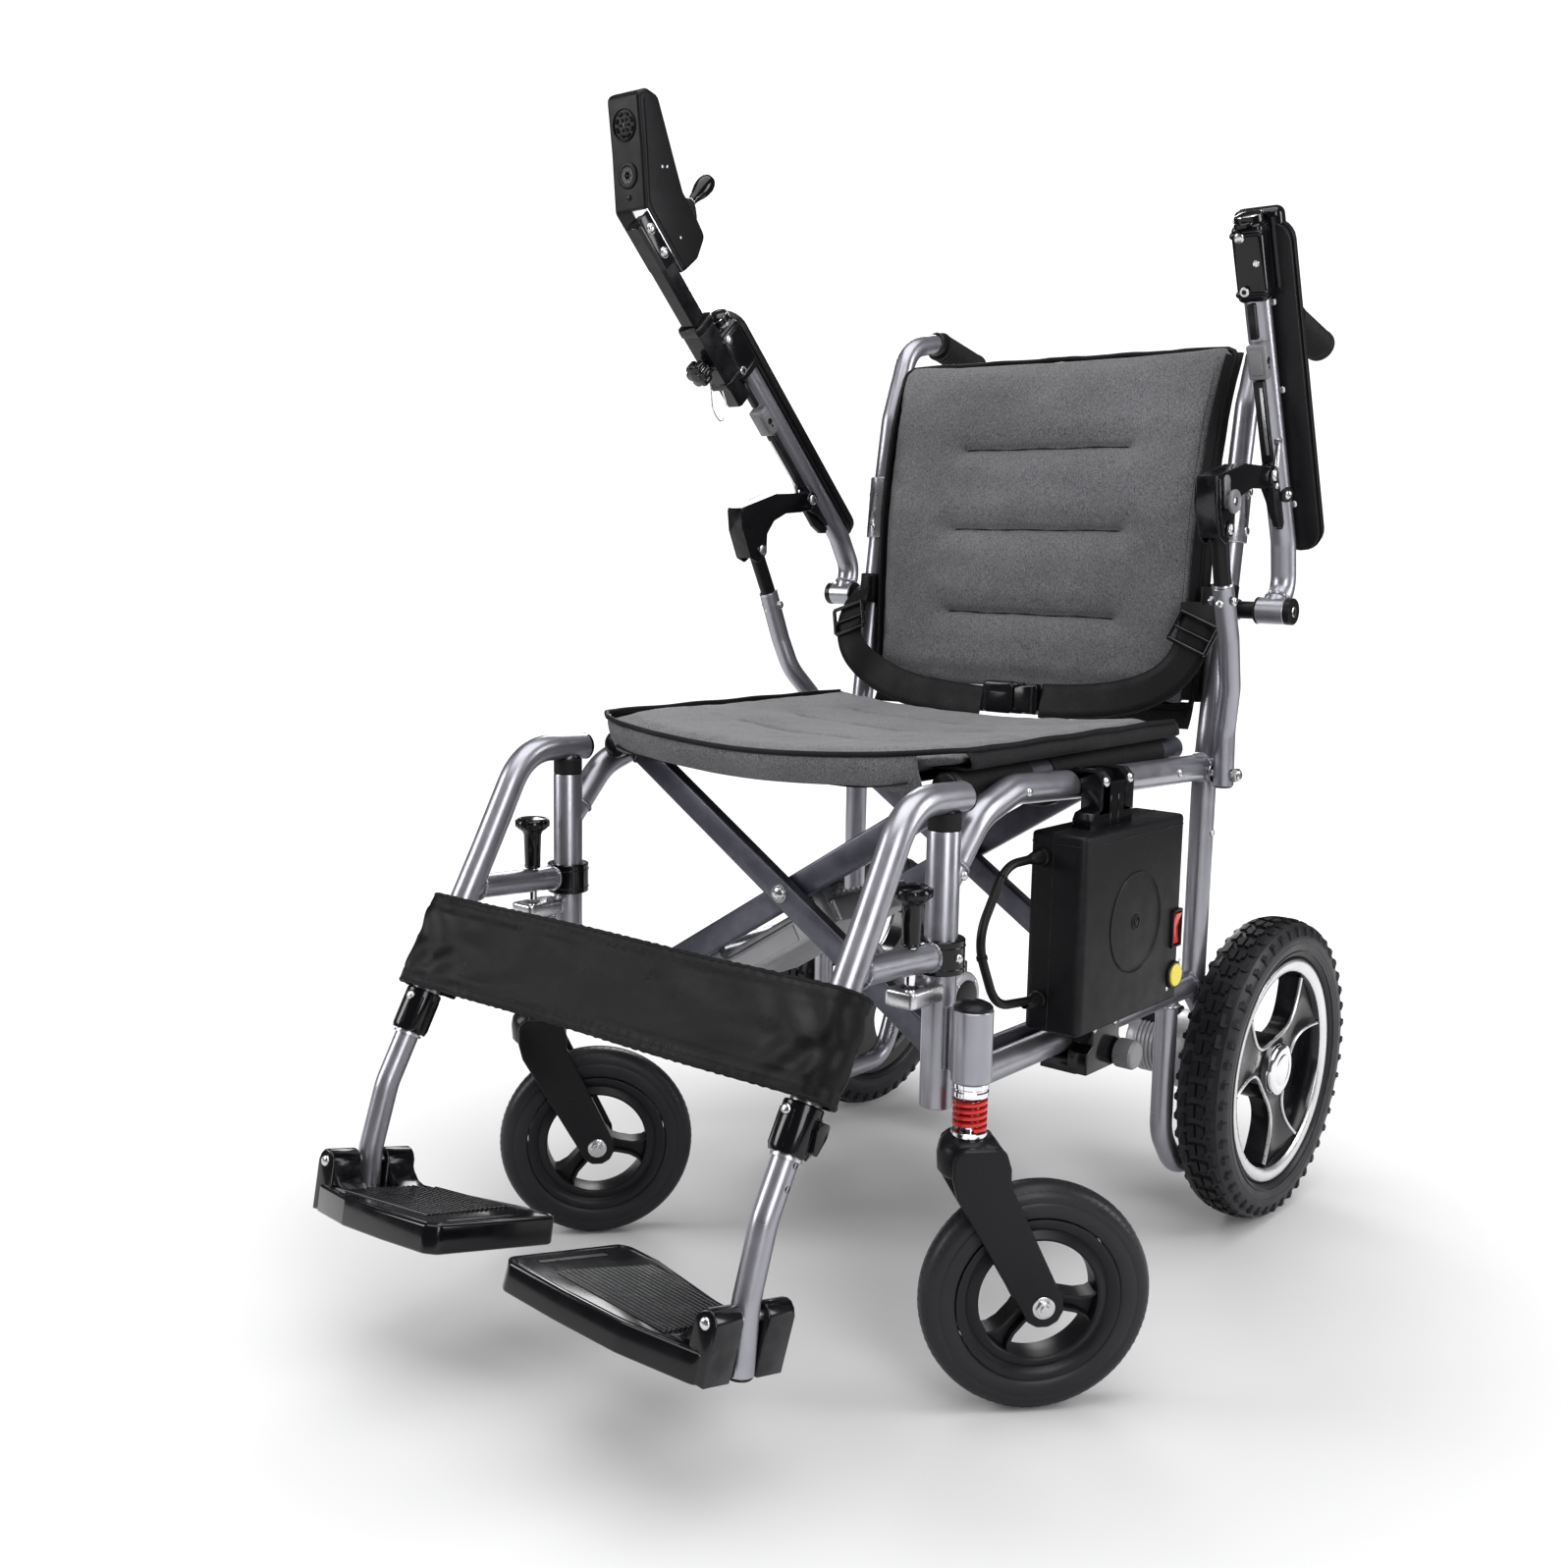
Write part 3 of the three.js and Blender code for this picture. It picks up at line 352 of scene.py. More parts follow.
M = {}
M["frame"] = solid_mat("frame_lacquer", (0.36, 0.358, 0.395), 0.33, 0.80, grain=0.10, grain_scale=1500, vary=0.05, coat=0.25, edge=(0.5, 0.5, 0.54))
M["scissor"] = solid_mat("scissor_lacquer", (0.13, 0.13, 0.16), 0.38, 0.7, grain=0.12, grain_scale=1400, vary=0.07, coat=0.15, edge=(0.36, 0.36, 0.4))
M["silver"] = solid_mat("bright_anodised", (0.62, 0.62, 0.64), 0.28, 0.95, grain=0.06, vary=0.05, edge=(0.8, 0.8, 0.8))
M["cast"] = solid_mat("cast_aluminium", (0.48, 0.48, 0.50), 0.45, 0.85, grain=0.5, grain_scale=700, vary=0.1, edge=(0.75, 0.75, 0.75))
M["chrome"] = solid_mat("chrome_plate", (0.80, 0.80, 0.82), 0.10, 1.0, vary=0.03, rough_vary=0.03)
M["zinc"] = solid_mat("zinc_steel", (0.62, 0.62, 0.63), 0.26, 1.0, grain=0.08, vary=0.08)
M["black"] = solid_mat("black_moulded", (0.013, 0.013, 0.015), 0.32, 0.0, grain=0.12, grain_scale=1100, vary=0.12, edge=(0.05, 0.05, 0.055), spec=0.3)
M["gloss"] = solid_mat("black_gloss", (0.006, 0.006, 0.0075), 0.17, 0.0, grain=0.04, grain_scale=500, vary=0.1, coat=0.28, edge=(0.04, 0.04, 0.045), spec=0.35)
M["satin"] = solid_mat("black_satin_case", (0.008, 0.008, 0.0095), 0.42, 0.0, grain=0.35, grain_scale=1300, vary=0.12, edge=(0.045, 0.045, 0.05), spec=0.26)
M["rubber"] = solid_mat("rubber_grip", (0.016, 0.016, 0.017), 0.62, 0.0, grain=0.3, grain_scale=800, vary=0.15, edge=(0.05, 0.05, 0.05), spec=0.25)
M["tyre"] = solid_mat("tyre_rubber", (0.017, 0.017, 0.019), 0.52, 0.0, grain=0.25, grain_scale=700, vary=0.18, edge=(0.06, 0.06, 0.062), spec=0.26)
M["tyre_side"] = solid_mat("tyre_sidewall", (0.030, 0.030, 0.034), 0.38, 0.0, grain=0.12, grain_scale=600, vary=0.14, edge=(0.08, 0.08, 0.085), spec=0.3)
M["rim"] = solid_mat("rim_black", (0.012, 0.012, 0.014), 0.24, 0.1, grain=0.06, vary=0.1, coat=0.3, edge=(0.06, 0.06, 0.065))
M["hub"] = solid_mat("caster_wheel_black", (0.018, 0.018, 0.021), 0.36, 0.0, grain=0.12, vary=0.1, edge=(0.07, 0.07, 0.075), spec=0.3)
M["red"] = solid_mat("spring_red", (0.55, 0.018, 0.014), 0.24, 0.1, grain=0.05, vary=0.08, coat=0.5)
M["grey"] = solid_mat("grey_moulded", (0.20, 0.20, 0.21), 0.36, 0.0, grain=0.15, vary=0.08)
M["bright"] = solid_mat("machined_ring", (0.72, 0.72, 0.73), 0.30, 0.9, grain=0.08, grain_scale=400, vary=0.05)
M["yellow"] = solid_mat("blank_label", (0.72, 0.62, 0.10), 0.45, 0.0, grain=0.05, vary=0.05)
M["label"] = solid_mat("blank_grey_label", (0.45, 0.45, 0.47), 0.4, 0.3, grain=0.05, vary=0.06)
M["pad"] = solid_mat("arm_pad_skin", (0.010, 0.010, 0.0115), 0.42, 0.0, grain=0.3, grain_scale=900, vary=0.15, edge=(0.04, 0.04, 0.042), spec=0.26)
M["cable"] = solid_mat("cable_sheath", (0.010, 0.010, 0.011), 0.38, 0.0, grain=0.1, vary=0.1, spec=0.3)
M["fabric"] = fabric_mat("heather_weave", (0.075, 0.075, 0.080), (0.235, 0.235, 0.247))
M["binding"] = strap_mat("black_binding", (0.007, 0.007, 0.008), 1.6, 0.6, sheen=0.03)
M["vinyl"] = fabric_mat("black_underside", (0.006, 0.006, 0.007), (0.022, 0.022, 0.024), thread=2.2, sheen=0.05, rough=0.6)
M["webbing"] = strap_mat("belt_webbing", (0.007, 0.007, 0.008), 2.0, 0.5, sheen=0.02)
M["nylon"] = strap_mat("calf_strap_nylon", (0.0045, 0.0045, 0.005), 0.9, 0.36, sheen=0.0)

# ------------------------------------------------------------------ mesh helpers (working frame, mm)
class G:
    """Collects geometry in mm; each face keeps a material index."""
    def __init__(self):
        self.v, self.f, self.m = [], [], []

    def add(self, verts, faces, m=0, mat=None):
        o = len(self.v)
        if mat is not None:
            verts = [mat @ Vector(p) for p in verts]
        self.v.extend([tuple(p) for p in verts])
        self.f.extend([tuple(i + o for i in fc) for fc in faces])
        self.m.extend([m] * len(faces))
        return self


def chip(g, q, th, m):
    """thin closed plate on four corners"""
    q = [Vector(p) for p in q]
    n = (q[1] - q[0]).cross(q[3] - q[0]).normalized() * (th / 2)
    g.add([p - n for p in q] + [p + n for p in q], [(3, 2, 1, 0), (4, 5, 6, 7)] + [(i, (i + 1) % 4, 4 + (i + 1) % 4, 4 + i) for i in range(4)], m)


def frames(P):
    """Mitred rings along a path: (point, tangent, normal, binormal, stretch)"""
    n = len(P)
    T = []
    for i in range(n):
        a = P[max(0, i - 1)]; b = P[i]; c = P[min(n - 1, i + 1)]
        d1 = (b - a); d2 = (c - b)
        d1 = d1.normalized() if d1.length > 1e-9 else Vector((0, 0, 0))
        d2 = d2.normalized() if d2.length > 1e-9 else Vector((0, 0, 0))
        T.append((d1 + d2).normalized())
    h = Vector((0, 0, 1)) if abs(T[0].z) < 0.9 else Vector((1, 0, 0))
    nrm = (h - T[0] * h.dot(T[0])).normalized()
    out = []
    for i in range(n):
        if i:
            q = T[i - 1].rotation_difference(T[i])
            nrm = (q @ nrm)
            nrm = (nrm - T[i] * nrm.dot(T[i])).normalized()
        out.append((P[i], T[i], nrm.copy(), T[i].cross(nrm)))
    return out


def rounded(points, r, n=8):
    P = [Vector(p) for p in points]
    out = [P[0].copy()]
    for i in range(1, len(P) - 1):
        a = P[i - 1] - P[i]; b = P[i + 1] - P[i]
        la, lb = a.length, b.length
        a.normalize(); b.normalize()
        ang = a.angle(b)
        t = min(r / math.tan(ang / 2) if ang < math.pi - 1e-4 else 0, la * 0.48, lb * 0.48)
        s = P[i] + a * t; e = P[i] + b * t
        for k in range(n + 1):
            f = k / n
            out.append(s * (1 - f) ** 2 + P[i] * 2 * f * (1 - f) + e * f * f)
    out.append(P[-1])
    res = [out[0]]
    for p in out[1:]:
        if (p - res[-1]).length > 0.02:
            res.append(p)
    return res


def tube(g, pts, r, n=28, m=0, caps=True, chamfer=0.8, rfn=None):
    P = [Vector(p) for p in pts]
    if caps and chamfer:
        d0 = (P[1] - P[0]).normalized(); d1 = (P[-2] - P[-1]).normalized()
        P = [P[0], P[0] + d0 * chamfer] + P[1:-1] + [P[-1] + d1 * chamfer, P[-1]]
    fr = frames(P)
    V, Fc = [], []
    k = len(fr)
    for i, (p, t, a, b) in enumerate(fr):
        rr = r if rfn is None else rfn(i / (k - 1))
        if caps and chamfer and i in (0, k - 1):
            rr -= chamfer
        for j in range(n):
            an = 2 * math.pi * j / n
            V.append(p + a * (rr * math.cos(an)) + b * (rr * math.sin(an)))
    for i in range(k - 1):
        for j in range(n):
            Fc.append((i * n + j, i * n + (j + 1) % n, (i + 1) * n + (j + 1) % n, (i + 1) * n + j))
    if caps:
        Fc.append(tuple(reversed(range(n))))
        Fc.append(tuple((k - 1) * n + j for j in range(n)))
    return g.add(V, Fc, m)


def basis(axis, ref=None):
    z = Vector(axis).normalized()
    x = Vector(ref) if ref is not None else (Vector((1, 0, 0)) if abs(z.x) < 0.9 else Vector((0, 1, 0)))
    x = (x - z * x.dot(z)).normalized()
    y = z.cross(x)
    return x, y, z


def lathe(g, origin, axis, profile, n=40, m=0, ref=None, start=0.0):
    """profile: (radius, along[, material]); closes on the axis where radius is 0"""
    x, y, z = basis(axis, ref)
    o = Vector(origin)
    V, Fc, Mi = [], [], []
    rings = []
    profile = list(profile)
    # an end that stops short of the axis is closed with a flat base when the other end reaches the axis, so that the
    # turned part is solid
    if profile[0][0] > 1e-6 and profile[-1][0] < 1e-6:
        profile.insert(0, (0, profile[0][1]))
    elif profile[0][0] < 1e-6 and profile[-1][0] > 1e-6:
        profile.append((0, profile[-1][1]))
    for q in profile:
        r, t = q[0], q[1]
        if r < 1e-6:
            rings.append([len(V)]); V.append(o + z * t)
        else:
            rings.append(list(range(len(V), len(V) + n)))
            for j in range(n):
                an = start + 2 * math.pi * j / n
                V.append(o + z * t + x * (r * math.cos(an)) + y * (r * math.sin(an)))
    base = len(g.v)
    g.v.extend([tuple(p) for p in V])
    for i in range(len(profile) - 1):
        A, B = rings[i], rings[i + 1]
        mi = profile[i][2] if len(profile[i]) > 2 else m
        for j in range(n):
            j2 = (j + 1) % n
            if len(A) == 1 and len(B) == 1:
                continue
            if len(A) == 1:
                f = (A[0], B[j2], B[j]) if False else (A[0], B[j], B[j2])
            elif len(B) == 1:
                f = (A[j], B[0], A[j2])
            else:
                f = (A[j], B[j], B[j2], A[j2])
            g.f.append(tuple(base + q for q in f)); g.m.append(mi)
    return g


def rod(g, a, b, r, n=28, m=0, chamfer=0.6):
    a, b = Vector(a), Vector(b)
    L = (b - a).length
    c = min(chamfer, r * 0.3, L * 0.3)
    return lathe(g, a, b - a, [(0, 0), (r - c, 0), (r, c), (r, L - c), (r - c, L), (0, L)], n, m)


def ring(g, center, axis, R, r, n=48, k=10, m=0, ripple=0.0, waves=0):
    """torus; with ripple it is a weld bead"""
    x, y, z = basis(axis)
    o = Vector(center)
    V, Fc = [], []
    for i in range(n):
        a = 2 * math.pi * i / n
        d = x * math.cos(a) + y * math.sin(a)
        rr = r * (1 + ripple * math.sin(waves * a))
        for j in range(k):
            b = 2 * math.pi * j / k
            V.append(o + d * (R + rr * math.cos(b)) + z * (rr * math.sin(b)))
    for i in range(n):
        for j in range(k):
            Fc.append((i * k + j, ((i + 1) % n) * k + j, ((i + 1) % n) * k + (j + 1) % k, i * k + (j + 1) % k))
    return g.add(V, Fc, m)


def from_bm(g, bm, m=0, mat=None):
    bm.verts.index_update()
    vs_ = [v.co.copy() for v in bm.verts]
    fs_ = [tuple(v.index for v in f.verts) for f in bm.faces]
    bm.free()
    return g.add(vs_, fs_, m, mat)


def rbox(g, x0, x1, y0, y1, z0, z1, r=1.5, seg=3, m=0, mat=None):
    bm = bmesh.new()
    bmesh.ops.create_cube(bm, size=1.0)
    lo = Vector((min(x0, x1), min(y0, y1), min(z0, z1))); hi = Vector((max(x0, x1), max(y0, y1), max(z0, z1)))
    for v in bm.verts:
        v.co = Vector([lo[i] + (v.co[i] + 0.5) * (hi[i] - lo[i]) for i in range(3)])
    r = min(r, 0.45 * min(hi - lo))
    if r > 0:
        bmesh.ops.bevel(bm, geom=list(bm.edges), offset=r, segments=seg, profile=0.5, affect="EDGES", clamp_overlap=True)
    return from_bm(g, bm, m, mat)


def slab(g, poly, lo, hi, plane="yz", r=1.0, seg=3, m=0, mat=None, corner=0.0):
    """2D outline extruded along the third axis, rims rounded by r, corners by corner"""
    if corner:
        P = [Vector((p[0], p[1], 0)) for p in poly]
        out = []
        n = len(P)
        for i in range(n):
            a = P[i - 1] - P[i]; b = P[(i + 1) % n] - P[i]
            la, lb = a.length, b.length
            a.normalize(); b.normalize()
            ang = a.angle(b)
            t = min(corner / max(0.05, math.tan(ang / 2)), la * 0.45, lb * 0.45)
            s = P[i] + a * t; e = P[i] + b * t
            if ang > math.radians(172):
                out.append((P[i].x, P[i].y)); continue
            for k in range(5):
                f = k / 4
                q = s * (1 - f) ** 2 + P[i] * 2 * f * (1 - f) + e * f * f
                out.append((q.x, q.y))
        poly = out
    bm = bmesh.new()
    def mk(p, t):
        return {"yz": (t, p[0], p[1]), "xz": (p[0], t, p[1]), "xy": (p[0], p[1], t)}[plane]
    A = [bm.verts.new(mk(p, lo)) for p in poly]
    B = [bm.verts.new(mk(p, hi)) for p in poly]
    n = len(poly)
    fa = bm.faces.new(list(reversed(A))); fb = bm.faces.new(B)
    for i in range(n):
        bm.faces.new((A[i], A[(i + 1) % n], B[(i + 1) % n], B[i]))
    bmesh.ops.recalc_face_normals(bm, faces=bm.faces)
    if r > 0:
        ed = list(set(fa.edges) | set(fb.edges))
        bmesh.ops.bevel(bm, geom=ed, offset=min(r, 0.45 * abs(hi - lo)), segments=seg, profile=0.5, affect="EDGES", clamp_overlap=True)
    return from_bm(g, bm, m, mat)


def screw(g, pos, nrm, r=4.5, m=0, dark=1, h=2.2, kind="cross"):
    """pan-head screw with a cross or hexagon recess; the recess is drawn in the dark material as painted shade"""
    x, y, z = basis(nrm)
    o = Vector(pos)
    if kind == "hex":
        lathe(g, o, nrm, [(r, 0), (r, h * 0.8), (r * 0.86, h), (r * 0.5, h)], 24, m)
        # painted shade: the hex socket is lined with the dark material
        lathe(g, o, nrm, [(r * 0.5, h), (r * 0.46, h * 0.25), (0, h * 0.25)], 6, dark)
        return
    lathe(g, o, nrm, [(r, 0), (r * 0.98, h * 0.35), (r * 0.86, h * 0.68), (r * 0.6, h * 0.9), (r * 0.3, h), (0, h * 1.02)], 28, m)
    # painted shade: the cross recess is a flat dark pattern laid on the head
    for a in (0.4, 0.4 + math.pi / 2):
        d = x * math.cos(a) + y * math.sin(a); e = z.cross(d)
        L, W = r * 0.62, r * 0.15
        t = o + z * (h * 1.03)
        q = [t + d * L + e * W * .5 - z * h * .16, t + e * W, t - d * L + e * W * .5 - z * h * .16, t - d * L - e * W * .5 - z * h * .16, t - e * W, t + d * L - e * W * .5 - z * h * .16]
        g.add(q, [(0, 1, 2, 3, 4, 5)], dark)


def hexnut(g, c, axis, r, h, m=0, dome=0.0):
    prof = [(0, 0), (r, 0), (r, h * 0.85), (r * 0.9, h), (r * 0.62, h)]
    lathe(g, c, axis, prof, 6, m)
    if dome:
        lathe(g, Vector(c) + Vector(axis).normalized() * (h * 0.9), axis, [(r * 0.78, 0), (r * 0.74, dome * .5), (r * 0.5, dome * .9), (0, dome)], 20, m)
    else:
        lathe(g, Vector(c) + Vector(axis).normalized() * h, axis, [(r * 0.55, 0), (r * 0.5, 1.5), (0, 1.6)], 16, m)


def piece(name, g, mats, body, replaces=(), smooth=32, bevel=0.0, subsurf=0):
    me = bpy.data.meshes.new(name)
    me.from_pydata([tuple(F(p)) for p in g.v], [], g.f)
    for k in mats:
        me.materials.append(M[k])
    me.polygons.foreach_set("material_index", g.m)
    me.polygons.foreach_set("use_smooth", [True] * len(g.f))
    me.update()
    me.validate()
    bm = bmesh.new()
    bm.from_mesh(me)
    bmesh.ops.remove_doubles(bm, verts=bm.verts, dist=2e-6)
    bm.to_mesh(me)
    bm.free()
    me.set_sharp_from_angle(angle=math.radians(smooth))
    ob = bpy.data.objects.new(name, me)
    bpy.context.scene.collection.objects.link(ob)
    if bevel:
        b = ob.modifiers.new("edge", "BEVEL")
        b.width = bevel / 1000; b.segments = 2; b.limit_method = "ANGLE"; b.angle_limit = math.radians(40)
        b.harden_normals = True
    if subsurf:
        s = ob.modifiers.new("sub", "SUBSURF"); s.levels = s.render_levels = subsurf
    if body:
        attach(ob, body)
    if replaces:
        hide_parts(*([replaces] if isinstance(replaces, str) else replaces))
    return ob


def rotz(a, o=(0, 0, 0)):
    return Matrix.Translation(Vector(o)) @ Matrix.Rotation(math.radians(a), 4, "Z") @ Matrix.Translation(-Vector(o))


SIDES = (("left", 1), ("right", -1))

# ================================================================== SIDE FRAMES
RX = 227
for side, s in SIDES:
    g = G()
    X = s * RX
    FR, ZN, BK, DK = 0, 1, 2, 3
    upper = rounded([(X, 50, 446), (X, 96, 496), (X, 150, 513), (X, 285, 505.5), (X, 522, 499)], 60, 10)
    rearp = rounded([(X, 522, 258), (X, 522, 480), (X, 536, 590), (X, 549, 680), (X, 557, 740)], 200, 6)
    drop = rounded([(X, 465, 266), (X, 465, 118), (X, 500, 72), (X, 590, 72), (X, 613.9, 132)], 45, 12)
    # front post: hollow at the foot
    lathe(g, (X, 48.5, 255), (0, 0, 1), [(11.6, 8), (11.6, 0), (13.6, 0), (14.2, 0.8), (14.2, 234), (13.8, 235), (9.6, 235), (9.6, 215)], 40, FR)
    lathe(g, (X, 48.5, 262), (0, 0, 1), [(0, 0), (11.7, 0)], 40, DK)
    tube(g, upper, 13.5, 32, FR)
    rod(g, (X, 48.5, 268), (X, 522, 268), 12.7, 32, FR)
    tube(g, rearp, 12.5, 32, FR)
    tube(g, drop, 11.5, 30, FR)
    # silver sleeve and the cane above it
    lathe(g, (X, 555.2, 729), (0, 0.0905, 0.9959), [(12.4, 0), (15.2, 0.3), (15.5, 1.2), (15.5, 70.5), (15.2, 71.4), (12.2, 72)], 40, 4)
    cane = rounded([(X, 560, 780), (X, 574, 870), (X, 606, 958), (X, 660, 968), (X, 744, 948.4)], 46, 14)
    tube(g, cane, 12, 32, FR)
    # caster housing, web and weld beads
    cx, cy = s * 266.1, 41.3
    lathe(g, (cx, cy, 287.5), (0, 0, 1), [(9.0, 30), (9.0, 0), (16.0, 0), (16.9, 1), (16.9, 59.4), (16.2, 60.3), (0, 60.3)], 44, FR)
    rbox(g, -15, 15, -4.5, 4.5, 291, 345, 1.5, 3, FR, rotz(s * -10.4) if False else (Matrix.Translation(Vector((s * 247, 44.8, 0))) @ Matrix.Rotation(math.radians(-s * 10.4), 4, "Z")))
    for zz in (291, 345):
        pass
    for (px, py, sg) in ((s * 241.2, 45.8, 1), (s * 250.2, 44.2, -1)):
        for off in (-5.4, 5.4):
            for k in range(26):
                zc = 292 + k * 2.05
                lathe(g, (px + off * 0.18 * s, py + off, zc), (0, 0, 1), [(0, -1.5), (1.7, -0.9), (2.0, 0), (1.7, 0.9), (0, 1.5)], 8, FR)
    # weld beads where the rails meet the posts
    ring(g, (X, 48.5 + 14.0, 268), (0, 1, 0), 12.9, 1.9, 60, 8, FR, 0.16, 26)
    ring(g, (X, 522 - 12.6, 268), (0, 1, 0), 12.9, 1.9, 60, 8, FR, 0.16, 26)
    ring(g, (X, 61.5, 459.5), (0, 0.66, 0.75), 13.8, 1.9, 60, 8, FR, 0.16, 28)
    ring(g, (X, 522 - 12.3, 499.4), (0, 1, -0.03), 13.7, 1.9, 60, 8, FR, 0.16, 28)
    ring(g, (X, 465, 268 - 12.4), (0, 0, 1), 11.8, 1.8, 56, 8, FR, 0.16, 24)
    # motor flange, its strut and its hex screws
    lathe(g, (s * 213.5, 613.9, 164.5), (s, 0, 0), [(10, 0), (41, 0), (42, 1), (42, 11.5), (41, 12.5), (10, 12.5), (10, 0)], 56, FR)
    tube(g, [(s * 225, 524, 258), (s * 225, 600, 178)], 10.5, 26, FR)
    for k in range(6):
        a = math.radians(30 + 60 * k)
        screw(g, (s * 226, 613.9 + 34 * math.cos(a), 164.5 + 34 * math.sin(a)), (s, 0, 0), 3.6, ZN, DK, 2.4, "hex")
    # scissor lugs, bushes and pins
    for (ya, yb, pa, pb) in ((92, 100, 96, 118), (450, 458, 432, 454)):
        slab(g, [(s * 194, 257), (s * 222, 255), (s * 222, 281), (s * 200, 281), (s * 189.5, 276), (s * 188, 268), (s * 190, 261)] if s > 0 else [(s * 222, 281), (s * 222, 255), (s * 194, 257), (s * 190, 261), (s * 188, 268), (s * 189.5, 276), (s * 200, 281)], ya, yb, "xz", 1.0, 2, FR)
        rod(g, (s * 200, pa, 268), (s * 200, pb, 268), 6, 24, ZN)
        hy = ya if pa < 200 else yb
        hexnut(g, (s * 200, hy, 268), (0, -1 if pa < 200 else 1, 0), 8.5, 5, ZN)
    # cups under the seat tube
    for (ya, yb, zb) in ((213, 239, 489), (463, 489, 486)):
        rbox(g, s * 191, s * 222, ya, yb, zb + 1, 504.3, 3, 3, BK)
    # latch plate, with its rivet
    slab(g, [(s * 229 - 15 * s, -12), (s * 229 + 15 * s, -12), (s * 229 + 15 * s, 30), (s * 229 + 9 * s, 37), (s * 229 - 9 * s, 37), (s * 229 - 15 * s, 30)], 352, 366, "xy", 2.2, 3, 4, corner=5)
    lathe(g, (s * 229, 3.5, 366), (0, 0, 1), [(5, -6), (5, 0.2), (7.5, 0.2), (7.5, 0), (7.5, 0)], 24, DK)
    # arm pivot: stub, pin, washer
    rod(g, (s * 222, 552, 661), (s * 262, 554, 661), 9, 26, BK)
    ring(g, (s * 239.8, 553, 661), (1, 0, 0), 9.3, 1.7, 40, 8, FR, 0.16, 18)
    rod(g, (s * 260, 554, 661), (s * 289, 554, 661), 6, 20, ZN)
    lathe(g, (s * 262.1, 554, 661), (-s, 0, 0), [(9, 0), (12, 0), (12, 2.2), (9, 2.2)], 32, DK)
    # support stub
    rod(g, (s * 222, 514, 495), (s * 241.5, 510, 495), 9, 22, FR)
    rod(g, (s * 240, 510, 495), (s * 270, 510, 495), 4.6, 20, ZN)
    hexnut(g, (s * 265.5, 510, 495), (s, 0, 0), 7.5, 4.5, ZN, dome=3.5)
    lathe(g, (s * 241.5, 510, 495), (s, 0, 0), [(4.6, 0), (9.6, 0), (9.6, 1.2), (4.6, 1.2)], 28, ZN)
    # rivets along the rails, seen as bright heads on the outer side
    for (yy, zz) in ((157, 511.0), (330, 503.9), (440, 501.2)):
        screw(g, (s * 240.2, yy, zz), (s, 0, 0), 4.2, ZN, DK, 2.2)
    for (yy, zz) in ((60, 452),):
        screw(g, (s * 240.2, yy, zz), (s, -0.1, 0), 4.4, ZN, DK, 2.4)
    for (yy, zz) in ((522, 430), (526, 520)):
        screw(g, (s * 239.2, yy, zz), (s, 0, 0), 4.0, ZN, DK, 2.4)
    # screws on the silver sleeve
    screw(g, (s * 242.2, 556.5, 741), (s, 0, 0), 4.6, ZN, DK, 2.6)
    screw(g, (s * 242.2, 559.7, 781), (s, 0, 0), 4.6, ZN, DK, 2.6)
    screw(g, (X, 541.5, 742), (0, -1, 0), 4.2, ZN, DK, 2.4)
    piece(f"tube_frame_{side}", g, ["frame", "zinc", "black", "black", "silver"], f"frame_{side}", f"side_frame_{side}")

    # black domed cap on the caster housing
    g = G()
    lathe(g, (cx, cy, 347.8), (0, 0, 1), [(15.0, 0), (16.2, 0.4), (16.2, 2.2), (14.5, 4.2), (10, 6.4), (5, 7.5), (0, 7.8)], 44, 0)
    piece(f"housing_cap_{side}", g, ["black"], f"frame_{side}")
    # plastic foot plug in the rear post
    g = G()
    lathe(g, (X, 522, 258.4), (0, 0, -1), [(12.2, 0), (12.4, 1), (11.4, 3), (0, 3.4)], 36, 0)
    piece(f"post_plug_{side}", g, ["black"], f"frame_{side}")

    # push grip: ribbed rubber sleeve with a flange and a domed end
    g = G()
    a = Vector((X, 668, 966.2)); b = Vector((X, 752, 946.2)); d = (b - a); L = d.length
    prof = [(13.2, 0), (17.0, 0), (17.6, 1.2), (17.2, 4), (15.6, 6)]
    t = 8
    while t < L - 14:
        prof += [(15.6, t), (16.9, t + 1.1), (16.9, t + 3.4), (15.6, t + 4.5)]
        t += 6.2
    prof += [(16.2, L - 9), (17.4, L - 6), (17.2, L - 2.5), (15.0, L - 0.6), (0, L)]
    lathe(g, a, d, prof, 44, 0)
    piece(f"grip_{side}", g, ["rubber"], f"frame_{side}", f"push_grip_{side}", smooth=50)
    # black collar where the grip starts
    g = G()
    c0 = a - d.normalized() * 11
    lathe(g, c0, d, [(12.1, 0), (13.4, 0), (14.2, 0.8), (14.2, 8.2), (13.4, 9), (12.1, 9)], 40, 0)
    piece(f"grip_collar_{side}", g, ["black"], f"frame_{side}")

